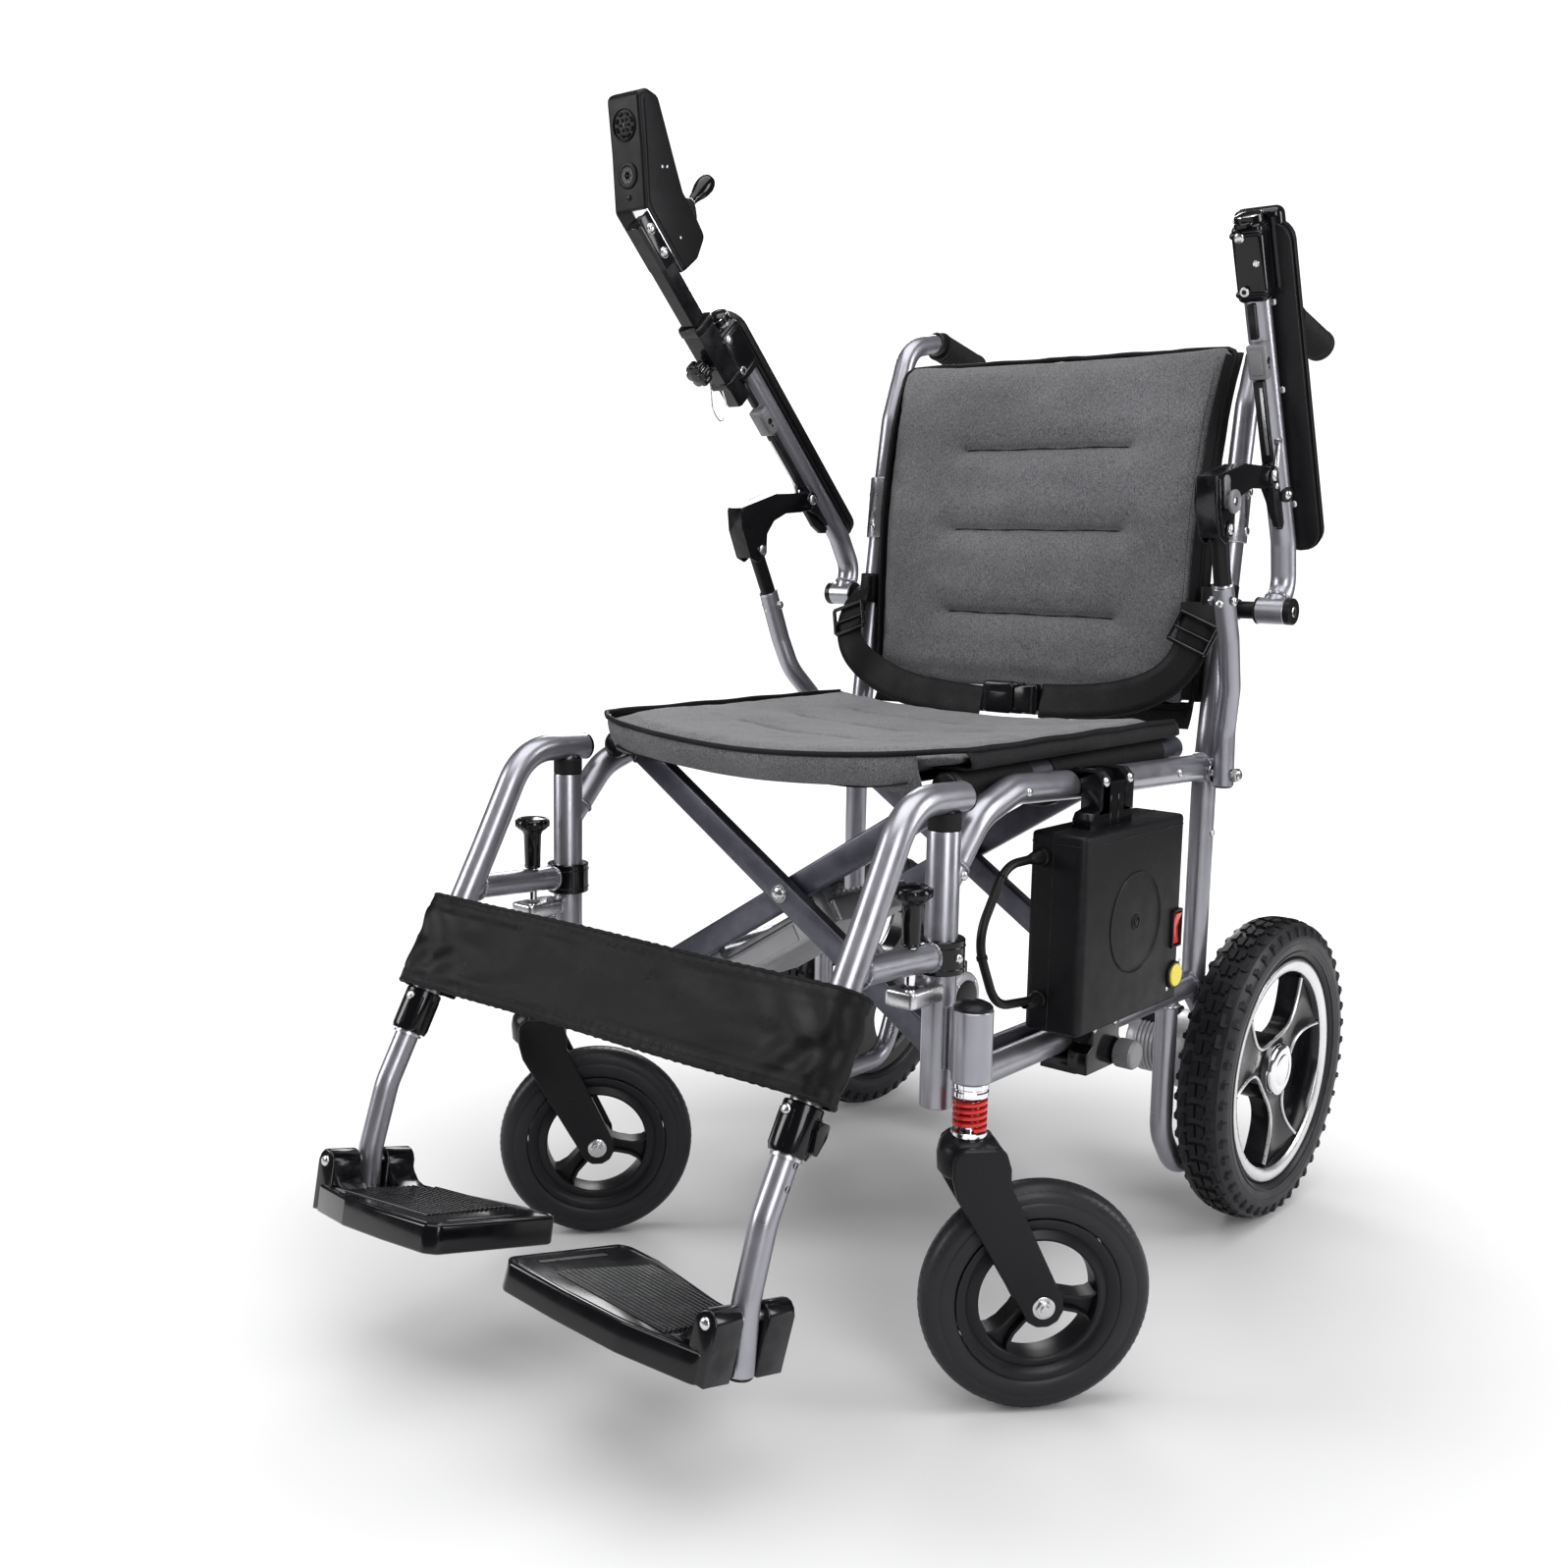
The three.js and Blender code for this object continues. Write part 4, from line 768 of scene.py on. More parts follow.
# ================================================================== REAR WHEELS AND MOTORS
WY, WZ = 613.9, 164.5
for side, s in SIDES:
    # tyre: smooth bulged sidewalls, block tread with three rows
    g = G()
    c = s * 271
    prof = [(124, -20), (126, -23), (130, -25.5), (137, -27.2), (146, -27.6), (152, -26.0), (156.5, -23.6), (160.2, -21.5), (160.9, -18), (161, 0), (160.9, 18), (160.2, 21.5), (156.5, 23.6), (152, 26.0), (146, 27.6), (137, 27.2), (130, 25.5), (126, 23), (124, 20), (124, -20)]
    lathe(g, (c, WY, WZ), (1, 0, 0), prof, 128, 0)
    # moulded rings on the sidewall
    for sg in (-1, 1):
        ring(g, (c + sg * 27.0, WY, WZ), (1, 0, 0), 140, 0.7, 120, 6, 0)
        ring(g, (c + sg * 25.6, WY, WZ), (1, 0, 0), 130.5, 1.2, 120, 6, 0)
    nb = 46
    for row in range(4):
        for k in range(nb):
            a0 = 2 * math.pi * (k + (0.5 if row in (1, 2) else 0.0) * 0.9) / nb
            da = 2 * math.pi / nb
            if row in (0, 3):
                sg = -1 if row == 0 else 1
                outline = [(sg * 11.2, -0.36), (sg * 26.2, -0.30), (sg * 26.4, 0.16), (sg * 18.5, 0.30), (sg * 18.0, 0.40), (sg * 11.2, 0.36)]
                rr = [163.6, 154.8, 154.8, 161.8, 161.9, 163.6]
            else:
                sg = -1 if row == 1 else 1
                outline = [(sg * 0.9, -0.38), (sg * 9.4, -0.30), (sg * 9.4, 0.10), (sg * 6.2, 0.20), (sg * 6.2, 0.40), (sg * 0.9, 0.34)]
                rr = [164.4, 164.1, 164.1, 164.3, 164.3, 164.4]
            V = []
            for lvl in (0, 1):
                cxm = sum(o_[0] for o_ in outline) / len(outline); cam_ = sum(o_[1] for o_ in outline) / len(outline)
                for (xx, fa), r_ in zip(outline, rr):
                    if lvl:
                        xx = cxm + (xx - cxm) * 0.90; fa = cam_ + (fa - cam_) * 0.86
                        ra = r_
                    else:
                        ra = r_ - 4.2
                    an = a0 + fa * da
                    V.append((c + xx, WY + ra * math.cos(an), WZ + ra * math.sin(an)))
            n = len(outline)
            top = [n + i for i in range(n)]
            Fc = [tuple(top) if (sg > 0) else tuple(reversed(top))]
            for i in range(n):
                q = (i, (i + 1) % n, n + (i + 1) % n, n + i)
                Fc.append(q if sg > 0 else tuple(reversed(q)))
            g.add(V, Fc, 1)
    # shoulder knobs that wrap onto the sidewall
    for sg in (-1, 1):
        for k in range(nb):
            an = 2 * math.pi * (k + 0.05) / nb
            cy_, cz_ = math.cos(an), math.sin(an)
            for (r0, r1, x0, x1, w_) in ((148.5, 156.5, 26.6, 26.0, 2.6),):
                t_ = Vector((0, -cz_, cy_)); rad = Vector((0, cy_, cz_))
                o_ = Vector((c, WY, WZ))
                q = []
                for (rr_, xx_) in ((r0, x0 + 0.2), (r1, x1 - 0.4)):
                    for ww in (-w_, w_):
                        q.append(o_ + rad * rr_ + t_ * ww + Vector((sg * (xx_ + 1.4), 0, 0)))
                for (rr_, xx_) in ((r0 - 1.5, x0 - 0.5), (r1 + 1.5, x1 - 3.0)):
                    for ww in (-w_ - 1, w_ + 1):
                        q.append(o_ + rad * rr_ + t_ * ww + Vector((sg * xx_, 0, 0)))
                fc = [(0, 1, 3, 2), (4, 6, 2, 0), (1, 3, 7, 5), (4, 0, 1, 5), (2, 6, 7, 3)]
                if sg < 0:
                    fc = [tuple(reversed(f_)) for f_ in fc]
                g.add(q, fc, 1)
    t_ob = piece(f"tread_tyre_{side}", g, ["tyre_side", "tyre"], f"rear_wheel_{side}", f"rear_tyre_{side}", smooth=38)

    # rim: bright ring, black dish with three U windows, bright edge lines, chrome hub cap
    g = G()
    o_ = s
    def XX(t): return c + o_ * t          # t: outward
    # barrel
    lathe(g, (c, WY, WZ), (s, 0, 0), [(121, -22), (123.6, -21), (123.6, 20.5), (121.5, 22)], 112, 0)
    lathe(g, (c, WY, WZ), (s, 0, 0), [(121.5, 22), (118, 23), (109.5, 20.5), (108.0, 19.0)], 112, 1)
    lathe(g, (c, WY, WZ), (s, 0, 0), [(108.0, 19.0), (105, 12), (104, 0), (104, -14), (108, -20), (121, -22)], 112, 0)
    # windows: U shapes open to the ring, cut out of a thick dished plate
    cent = [math.radians(a) for a in ((100, 220, 340) if s > 0 else (80, 200, 320))]
    def Uoutline(cc, grow=0.0, n=26):
        """closed U in (y,z): bottom near the hub, mouth on the ring"""
        R = 104.5 + (0 if grow == 0 else 0)
        half = math.radians(37)
        pts = []
        # side lines run in from the ring to a round bottom
        w0 = R * math.sin(half)                     # half width at the ring
        bot = 33.0 - grow
        wb = 33.0 + grow
        for i in range(n + 1):
            f = i / n * 2 - 1                        # -1..1
            sgn = 1 if f >= 0 else -1
            u = abs(f)
            # superellipse like U
            x_ = sgn * (w0 + grow) * (u ** 0.62 if u < 1 else 1)
            y_ = bot + (R * math.cos(half) - bot) * (u ** 2.6)
            pts.append((x_, y_))
        out = []
        for (x_, y_) in pts:
            out.append((WY + y_ * math.cos(cc) - x_ * math.sin(cc), WZ + y_ * math.sin(cc) + x_ * math.cos(cc)))
        return out
    # spokes: plate pieces between the windows, built as fans from the hub to the ring
    for i in range(3):
        ca, cb = cent[i], cent[(i + 1) % 3]
        if cb < ca: cb += 2 * math.pi
        A = Uoutline(ca); B = Uoutline(cb)
        half = math.radians(37)
        right_half = A[len(A) // 2:]                 # from bottom to the + side of window i
        left_half = B[:len(B) // 2 + 1]              # from - side to the bottom of window i+1
        n_ = len(right_half)
        left_half = list(reversed(left_half))        # bottom -> ring
        # profile across: inner edge right_half[k] .. left_half[k]
        V = []; Fc = []
        K = 8
        rows = []
        for k in range(n_):
            p = Vector((0, right_half[k][0], right_half[k][1])); q = Vector((0, left_half[k][0], left_half[k][1]))
            row = []
            for j in range(K + 1):
                f = j / K
                v = p.lerp(q, f)
                rad = math.hypot(v.y - WY, v.z - WZ)
                want = None
                # swell outwards on the ring line
                d = Vector((0, v.y - WY, v.z - WZ))
                rp = math.hypot(p.y - WY, p.z - WZ)
                if d.length > 1e-6:
                    d = d.normalized() * rp
                v2 = Vector((0, WY, WZ)) + d
                dish = 12.5 + 4.5 * (rp - 33) / 72 - 5.0 * math.sin(math.pi * f) * (0.25 + 0.75 * min(1, (rp - 33) / 40))
                row.append(Vector((XX(dish), v2.y, v2.z)))
            rows.append(row)
        front = rows
        for k in range(n_):
            for j in range(K + 1):
                V.append(front[k][j])
        nf = len(V)
        for k in range(n_):
            for j in range(K + 1):
                v = front[k][j]
                V.append(Vector((XX(-8), v.y, v.z)))
        for k in range(n_ - 1):
            for j in range(K):
                q = (k * (K + 1) + j, k * (K + 1) + j + 1, (k + 1) * (K + 1) + j + 1, (k + 1) * (K + 1) + j)
                Fc.append(q if s < 0 else tuple(reversed(q)))
                q2 = tuple(nf + t for t in q)
                Fc.append(tuple(reversed(q2)) if s < 0 else q2)
        for k in range(n_ - 1):
            for j in (0, K):
                q = (k * (K + 1) + j, (k + 1) * (K + 1) + j, nf + (k + 1) * (K + 1) + j, nf + k * (K + 1) + j)
                Fc.append(q if (j == 0) == (s > 0) else tuple(reversed(q)))
        g.add(V, Fc, 0)
    # bright edge line round each window
    for cc in cent:
        U = Uoutline(cc)
        line = [Vector((XX(12.5 + 4.5 * (math.hypot(y_ - WY, z_ - WZ) - 33) / 72 + 0.2), y_, z_)) for (y_, z_) in U]
        tube(g, line, 1.9, 10, 1, caps=False)
    # hub barrel and chrome cap
    lathe(g, (c, WY, WZ), (s, 0, 0), [(9, -57 if s > 0 else -57), (9, -24), (30, -24), (36, -20), (36, 8), (34.5, 13), (29, 15.5), (27.5, 16.5)], 56, 0)
    lathe(g, (c, WY, WZ), (s, 0, 0), [(28.6, 14.5), (28.6, 18), (27.4, 20.6), (24, 22.0), (19, 22.6), (17.5, 22.2), (16, 22.8), (8, 23.6), (0, 23.8)], 64, 2)
    # position on the rim for a valve; no valve is built
    av = cent[0] + math.radians(60)
    vy, vz = WY + 100 * math.cos(av), WZ + 100 * math.sin(av)
    piece(f"wheel_rim_{side}", g, ["rim", "bright", "chrome"], f"rear_wheel_{side}", f"rear_rim_{side}", smooth=35)

    # motor: ribbed can, gearbox with screws, cable boot
    g = G()
    f = lambda t: s * t
    lathe(g, (0, WY, WZ), (s, 0, 0), [(0, 118), (28, 118), (31.5, 119.5), (33, 122), (33, 128)] + sum([[(33, 130 + 5 * k), (34.2, 131 + 5 * k), (34.2, 133.4 + 5 * k), (33, 134.4 + 5 * k)] for k in range(8)], []) + [(34, 171.5), (40, 172.5), (43.2, 174.5), (44, 177), (44, 206), (43, 210.5), (40.5, 213), (0, 213)], 64, 0)
    lathe(g, (0, WY, WZ), (s, 0, 0), [(0, 116.4), (20, 116.4), (23, 117.2), (23, 118.4)], 48, 1)
    rbox(g, f(129), f(167), WY - 19, WY + 19, WZ + 24, WZ + 43.6, 3, 3, 1)
    for k in range(6):
        a = math.radians(15 + 60 * k)
        lathe(g, (f(171), WY + 38.5 * math.cos(a), WZ + 38.5 * math.sin(a)), (s, 0, 0), [(0, -0.5), (4.6, -0.5), (5.4, 0.5), (5.4, 34), (0, 34)], 18, 0)
        screw(g, (f(170.6), WY + 38.5 * math.cos(a), WZ + 38.5 * math.sin(a)), (-s, 0, 0), 3.2, 2, 1, 2.2, "hex")
    for k in range(4):
        a = math.radians(45 + 90 * k)
        screw(g, (f(118), WY + 26 * math.cos(a), WZ + 26 * math.sin(a)), (-s, 0, 0), 2.6, 2, 1, 1.6)
    piece(f"motor_can_{side}", g, ["cast", "black", "zinc"], f"frame_{side}", f"drive_motor_{side}", smooth=35)

# ================================================================== CASTERS
HEAD = -41.8
for side, s in SIDES:
    MX = Matrix.Translation(Vector((s * 266.1, 41.3, 0))) @ Matrix.Rotation(math.radians(HEAD), 4, "Z")

    def local(build):
        g2 = G()
        build(g2)
        g2.v = [tuple(MX @ Vector(p)) for p in g2.v]
        return g2
    T, ZW = 60.8, 100.0

    def stem(g):
        lathe(g, (0, 0, 0), (0, 0, 1), [(0, 222), (8.4, 222), (8.4, 275), (14.6, 275), (15.2, 275.8), (15.2, 279.6), (14.3, 280.6), (14.3, 281.8), (15.2, 282.8), (15.2, 286.4), (14.6, 287.2), (8.6, 287.2), (8.6, 339), (0, 339)], 48, 0)
    piece(f"caster_shaft_{side}", local(stem), ["chrome"], f"caster_swivel_{side}", f"caster_stem_{side}")

    def spring(g):
        # four turns of flat red wire
        turns, n = 4.6, 230
        z0, z1 = 248.6, 272.6
        V, Fc = [], []
        for i in range(n + 1):
            f = i / n
            a = 2 * math.pi * turns * f
            z = z0 + (z1 - z0) * min(1, max(0, (f - 0.03) / 0.94))
            for (r, dz) in ((9.6, -1.35), (10.6, -1.9), (13.4, -1.9), (14.4, -1.2), (14.4, 1.2), (13.4, 1.9), (10.6, 1.9), (9.6, 1.35)):
                V.append((r * math.cos(a), r * math.sin(a), z + dz))
        for i in range(n):
            for j in range(8):
                Fc.append((i * 8 + j, (i + 1) * 8 + j, (i + 1) * 8 + (j + 1) % 8, i * 8 + (j + 1) % 8))
        Fc.append(tuple(range(8))); Fc.append(tuple(reversed([n * 8 + j for j in range(8)])))
        g.add(V, Fc, 0)
    sp_ = piece(f"coil_spring_{side}", local(spring), ["red"], f"caster_swivel_{side}", f"caster_spring_{side}", smooth=50)
    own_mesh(sp_)

    def fork(g):
        # crown: a blunt hood that runs down into two flat legs
        lathe(g, (0, 0, 0), (0, 0, 1), [(9.2, 241), (14.4, 241), (15.2, 241.8), (15.2, 245.4), (14.6, 246), (9.2, 246), (9.2, 236)], 44, 1)
        lathe(g, (0, 0, 0), (0, 0, 1), [(0, 208), (22, 208), (25.5, 212), (26.5, 226), (25, 234), (21.5, 238.6), (18.8, 240.6), (17.0, 241), (0, 241)], 48, 0)
        leg = [(-17, 233), (-19, 226), (-19, 212), (-15, 196), (T - 17.5, 96), (T - 13, 87), (T - 5, 82.3), (T + 5, 82.3), (T + 13, 87), (T + 17.6, 96), (T + 17, 106), (30, 206), (30, 220), (25.5, 234), (16, 238), (-10, 238)]
        for (xa, xb) in ((19.6, 28.2), (-28.2, -19.6)):
            slab(g, list(reversed(leg)), xa, xb, "yz", 2.4, 4, 0, corner=5)
        # web between the legs, above the tyre
        rbox(g, -24, 24, -17, 26, 206.5, 236, 6, 4, 0)
        # path for a raised rim line on the outer faces; no line is built from it
        for xs in (28.4, -28.4):
            path = [Vector((xs, y, z)) for (y, z) in ((-8, 226), (-10, 204), (8, 172), (T - 8, 112))]
        for sg in (1, -1):
            lathe(g, (sg * 28.0, T, ZW), (sg, 0, 0), [(0, 0), (9.6, 0), (9.6, 1.0), (8.8, 1.4), (0, 1.4)], 32, 2)
            hexnut(g, (sg * 29.2, T, ZW), (sg, 0, 0), 7.4, 3.6, 2, dome=0.0)
            lathe(g, (sg * 20.2, T, ZW), (-sg, 0, 0), [(4.9, 0), (8, 0), (8, 1.2), (4.9, 1.2)], 28, 2)
        rod(g, (-28, T, ZW), (28, T, ZW), 4.9, 22, 2)
    piece(f"fork_{side}", local(fork), ["black", "chrome", "zinc"], f"caster_fork_{side}", f"caster_fork_{side}", smooth=40)

    def hub(g):
        lathe(g, (0, T, ZW), (1, 0, 0), [(69.4, -13.5), (71.0, -15.2), (68.5, -15.6), (63, -13.6), (60.6, -11.4), (58, -13.0), (53.5, -14.6), (51.4, -13.0), (50.6, -4), (50.6, 4), (51.4, 13.0), (53.5, 14.6), (58, 13.0), (60.6, 11.4), (63, 13.6), (68.5, 15.6), (71.0, 15.2), (69.4, 13.5), (69.4, -13.5)], 112, 0)
        lathe(g, (0, T, ZW), (1, 0, 0), [(5.3, -18.4), (9, -18.4), (9.4, -17.6), (14.2, -16), (15.4, -14), (16, -8), (16, 8), (15.4, 14), (14.2, 16), (9.4, 17.6), (9, 18.4), (5.3, 18.4), (5.3, -18.4)], 56, 0)
        for k in range(3):
            a = math.radians(-12 + 120 * k)
            ca, sa = math.cos(a), math.sin(a)
            def q(u, v, x):
                return (x, T + u * ca - v * sa, ZW + u * sa + v * ca)
            # I-beam spoke: two flanges, thin web and an end gusset
            prof = [(13, 8.8), (22, 7.2), (36, 7.4), (46, 10.5), (51.5, 15.5)]
            V, Fc = [], []
            for (u, v) in prof:
                th = 10.5
                V += [q(u, -v, -th), q(u, -v, th), q(u, -v + 3.0, th), q(u, -v + 4.0, 3.0), q(u, v - 4.0, 3.0), q(u, v - 3.0, th), q(u, v, th), q(u, v, -th), q(u, v - 3.0, -th), q(u, v - 4.0, -3.0), q(u, -v + 4.0, -3.0), q(u, -v + 3.0, -th)]
            n = 12
            for i in range(len(prof) - 1):
                for j in range(n):
                    Fc.append((i * n + j, i * n + (j + 1) % n, (i + 1) * n + (j + 1) % n, (i + 1) * n + j))
            g.add(V, Fc, 0)
    piece(f"caster_wheel_{side}", local(hub), ["hub"], f"caster_wheel_{side}", f"caster_hub_{side}", smooth=34, bevel=0.5)

    def tyre(g):
        lathe(g, (0, T, ZW), (1, 0, 0), [(71.4, -13.8), (73.0, -15.2), (78, -16.0), (84, -16.0), (85.2, -15.2), (86.6, -15.6), (92, -14.4), (96.3, -11.2), (98.9, -6.4), (99.6, 0), (98.9, 6.4), (96.3, 11.2), (92, 14.4), (86.6, 15.6), (85.2, 15.2), (84, 16.0), (78, 16.0), (73.0, 15.2), (71.4, 13.8), (71.4, -13.8)], 144, 0)
        # fine slanted ribs of the tread, chevron left and right
        nr = 84
        for sg in (-1, 1):
            for k in range(nr):
                a0 = 2 * math.pi * k / nr
                V = []
                for (x, lead, r) in ((1.0, 0.0, 99.75), (5.4, 0.028, 99.15), (9.6, 0.058, 97.55), (12.9, 0.086, 94.6)):
                    for e in (-0.0118, 0.0118):
                        for lift in (0.0, 0.55):
                            an = a0 + lead + e * (1 - 0.3 * (lift > 0))
                            rr = r + lift - 0.5
                            V.append((sg * x, T + rr * math.cos(an), ZW + rr * math.sin(an)))
                Fc = []
                for i in range(3):
                    b0, b1 = i * 4, (i + 1) * 4
                    Fc += [(b0 + 1, b0 + 3, b1 + 3, b1 + 1), (b0, b0 + 1, b1 + 1, b1), (b0 + 3, b0 + 2, b1 + 2, b1 + 3)]
                Fc += [(0, 2, 3, 1), (12, 13, 15, 14)]
                if sg > 0:
                    Fc = [tuple(reversed(t)) for t in Fc]
                g.add(V, Fc, 0)
    piece(f"caster_tyre_ribbed_{side}", local(tyre), ["tyre_side"], f"caster_wheel_{side}", f"caster_tyre_{side}", smooth=40)

# ================================================================== SCISSOR, CONTROLLER
def cross_leg(s, y1, y2, name, body, node, bolts):
    g = G()
    LX, Z0, Z1, ZC = 200, 268, 518, 393
    # upper tube that carries the seat, with black end discs, and the lower pivot tube
    lathe(g, (-s * LX, 88, Z1), (0, 1, 0), [(10.6, 6), (10.6, 0), (12.0, 0), (12.5, 0.6), (12.5, 411.4), (12.0, 412), (10.6, 412), (10.6, 406)], 34, 0)
    lathe(g, (-s * LX, 90, Z1), (0, 1, 0), [(0, 0), (10.7, 0)], 34, 1); lathe(g, (-s * LX, 498, Z1), (0, -1, 0), [(0, 0), (10.7, 0)], 34, 1)
    lathe(g, (s * LX, 104, Z0), (0, 1, 0), [(6.4, 4), (6.4, 0), (12.0, 0), (12.5, 0.6), (12.5, 341.4), (12.0, 342), (6.4, 342), (6.4, 338)], 34, 0)
    dx, dz = -2 * s * LX, Z1 - Z0
    L = math.hypot(dx, dz)
    ux_, uz_ = dx / L, dz / L
    for y in (y1, y2):
        # rectangular tube with rounded edges, coped onto the round tubes
        Mx = Matrix(((ux_, 0, -uz_, s * LX), (0, 1, 0, y), (uz_, 0, ux_, Z0), (0, 0, 0, 1)))
        rbox(g, 4, L - 4, -6.5, 6.5, -13, 13, 2.4, 3, 0, Mx)
        for (px, pz, sx_) in ((s * LX, Z0, 1), (-s * LX, Z1, -1)):
            # weld bead around the bar's end
            d = Vector((ux_, 0, uz_)) * sx_
            base = Vector((px, y, pz)) + d * 12.2
            nrm = Vector((-uz_, 0, ux_))
            pts = []
            for k in range(64):
                a = 2 * math.pi * k / 64
                ca, sa = math.cos(a), math.sin(a)
                e = 0.35
                qx = math.copysign(abs(ca) ** e, ca) * 13.2
                qy = math.copysign(abs(sa) ** e, sa) * 7.0
                pts.append(base + nrm * qx + Vector((0, qy, 0)) + d * (1.2 + 0.2 * abs(qx) * 0.1))
            pts.append(pts[0])
            tube(g, pts, 1.7, 8, 0, caps=False, rfn=lambda t: 1.7 + 0.25 * math.sin(t * 2 * math.pi * 30))
    if bolts:
        for (ya, yb) in ((105, 144.5), (401, 440.5)):
            rod(g, (0, ya + 2, ZC), (0, yb - 1, ZC), 4, 20, 2)
            lathe(g, (0, y1 - 6.5 if ya < 200 else y2 - 6.5, ZC), (0, -1, 0), [(0, 0), (9.2, 0), (9.2, 1.1), (0, 1.1)], 30, 2)
            screw(g, (0, (y1 if ya < 200 else y2) - 7.6, ZC), (0, -1, 0), 7.2, 2, 1, 3.6)
            hexnut(g, (0, yb - 5.2, ZC), (0, 1, 0), 6.6, 4.4, 2)
    else:
        # spacer washers between the bars
        for y in (y1, y2):
            lathe(g, (0, y - 6.5, ZC), (0, -1, 0), [(4.5, 0), (9, 0), (9, 1.4), (4.5, 1.4)], 28, 2)
    # small rivets where the seat strip is held
    for y in (126, 250, 374, 470):
        lathe(g, (-s * (LX - 10.6), y, Z1 - 6.5), (s * 0.86, 0, -0.5), [(3.2, 0), (2.8, 1.0), (0, 1.4)], 16, 2)
    return piece(name, g, ["scissor", "black", "zinc"], body, node, smooth=38)


cross_leg(1, 116, 412, "scissor_leg_a", "leg_a", "cross_leg_a", True)
cross_leg(-1, 132, 428, "scissor_leg_b", "leg_b", "cross_leg_b", False)

# control unit: finned casting with blank labels and two cable glands
g = G()
MC = Matrix.Translation(Vector((0, 0, 393))) @ Matrix.Rotation(math.radians(-32), 4, "Y")
rbox(g, -150, 30, 142, 262, -47.8, -22, 3.5, 3, 0, MC)
for k in range(15):
    y = 148 + k * 7.6
    rbox(g, -146, 26, y, y + 2.6, -24, -16.4, 0.9, 2, 0, MC)
rbox(g, -146, -130, 139.2, 150, -46, -10, 1.2, 2, 0, MC)
rbox(g, 10, 26, 139.2, 150, -46, -10, 1.2, 2, 0, MC)
rbox(g, -120, -28, 141.2, 142.4, -43, -27, 0.3, 1, 2, MC)
for (x, z) in ((-146, -44), (26, -44), (-146, -25.5), (26, -25.5)):
    p = MC @ Vector((x, 141.8, z)); screw(g, p, (0, -1, 0), 2.6, 3, 1, 1.6)
for (x, z) in ((-10, -35), (6, -35)):
    p = MC @ Vector((x, 142, z))
    lathe(g, p, (0, -1, 0), [(0, 0), (7.5, 0), (7.5, 2.4), (5.6, 2.8), (5.2, 2.9), (0, 2.9)], 24, 1)
piece("controller_casting", g, ["cast", "black", "label", "zinc"], "leg_b", "control_unit", smooth=35)

# ================================================================== BATTERY AND ITS LEAD
g = G()
B0, B1, B2, B3, B4, B5 = 222, 279, 190, 380, 291, 472
# case: two shells with a parting groove
body_poly = [(B0, B2), (B1, B2), (B1, B3), (B0, B3)]
slab(g, body_poly, B4, B5, "xy", 4.0, 4, 0, corner=9)
ringp = []
for (x_, y_) in body_poly: pass
# raised lid line near the top, and a second line that runs up, over and down the case
for z_ in (462.5,):
    pts = rounded([(B0, B2 + 60, z_), (B0, B2, z_), (B1, B2, z_), (B1, B3, z_), (B0, B3, z_), (B0, B2 + 60, z_)], 9, 6)
    tube(g, pts, 0.55, 6, 1, caps=False)
pts = rounded([(B0 + 25, B2, B4 + 3), (B0 + 25, B2, B5), (B0 + 25, B3, B5), (B0 + 25, B3, B4 + 3)], 5, 5)
tube(g, pts, 0.5, 6, 1, caps=False)
# embossed circle with a screw at its centre on the outer face
cyb, czb = 288.0, 381.0
ring(g, (B1 + 0.1, cyb, czb), (1, 0, 0), 47, 0.9, 120, 8, 0)
ring(g, (B1 + 0.05, cyb, czb), (1, 0, 0), 45.4, 0.5, 120, 6, 1)
lathe(g, (B1, cyb, czb), (1, 0, 0), [(7.4, 0), (7.0, 0.7), (5.6, 0.9), (5.4, 0.2), (0, 0.2)], 30, 0)
screw(g, (B1 + 0.1, cyb, czb), (1, 0, 0), 4.0, 0, 1, 1.3)
# switch bezel and charge socket with its yellow cap
for (ya, yb, za, zb) in ((359.6, 361.8, 343.5, 380.5), (376.2, 378.4, 343.5, 380.5), (359.6, 378.4, 343.5, 345.9), (359.6, 378.4, 378.1, 380.5)):
    rbox(g, 276, 281.6, ya, yb, za, zb, 0.7, 2, 1)
rbox(g, 270, 271, 361, 377, 345, 379, 0, 1, 1)
lathe(g, (B1 - 1, 369, 316), (1, 0, 0), [(13.5, 0), (13.5, 2.6), (12.8, 3.4), (11.4, 3.4), (11.2, 2.2), (0, 2.2)], 44, 1)
lathe(g, (B1 + 1.0, 369, 316), (1, 0, 0), [(11.0, 0), (11.0, 2.6), (10.2, 3.2), (0, 3.4)], 44, 2)
for a in (45, 225):
    screw(g, (B1 - 0.2, 369 + 17 * math.cos(math.radians(a)), 316 + 17 * math.sin(math.radians(a))), (1, 0, 0), 2.2, 3, 1, 1.2)
# carrier: bridge, saddle clamps over the rail, screws
slab(g, [(228, 470), (305, 470), (305, 480), (301, 486), (290, 489), (290, 512), (247, 512), (247, 489), (232, 486), (228, 480)], 242, 261.6, "yz", 1.6, 3, 4, corner=2)
for (ya, yb) in ((243.4, 260.6), (287.4, 304.6)):
    P = [(241.8, 484), (261.6, 484), (261.6, 515), (255, 521.8), (231, 521.8), (220, 519.4), (215.2, 513), (214.8, 505), (217.0, 505), (218.8, 511.8)]
    arc = []
    zc = 507.6 if ya < 270 else 505.2
    for k in range(9):
        a = math.radians(150 - k * 18.75)
        arc.append((227 + 14.6 * math.cos(a), zc + 14.6 * math.sin(a)))
    slab(g, P[:8] + arc + [(241.8, zc)], ya, yb, "xz", 1.0, 2, 4)
    screw(g, (261.6, (ya + yb) / 2, 513), (1, 0, 0), 4.8, 3, 1, 2.6)
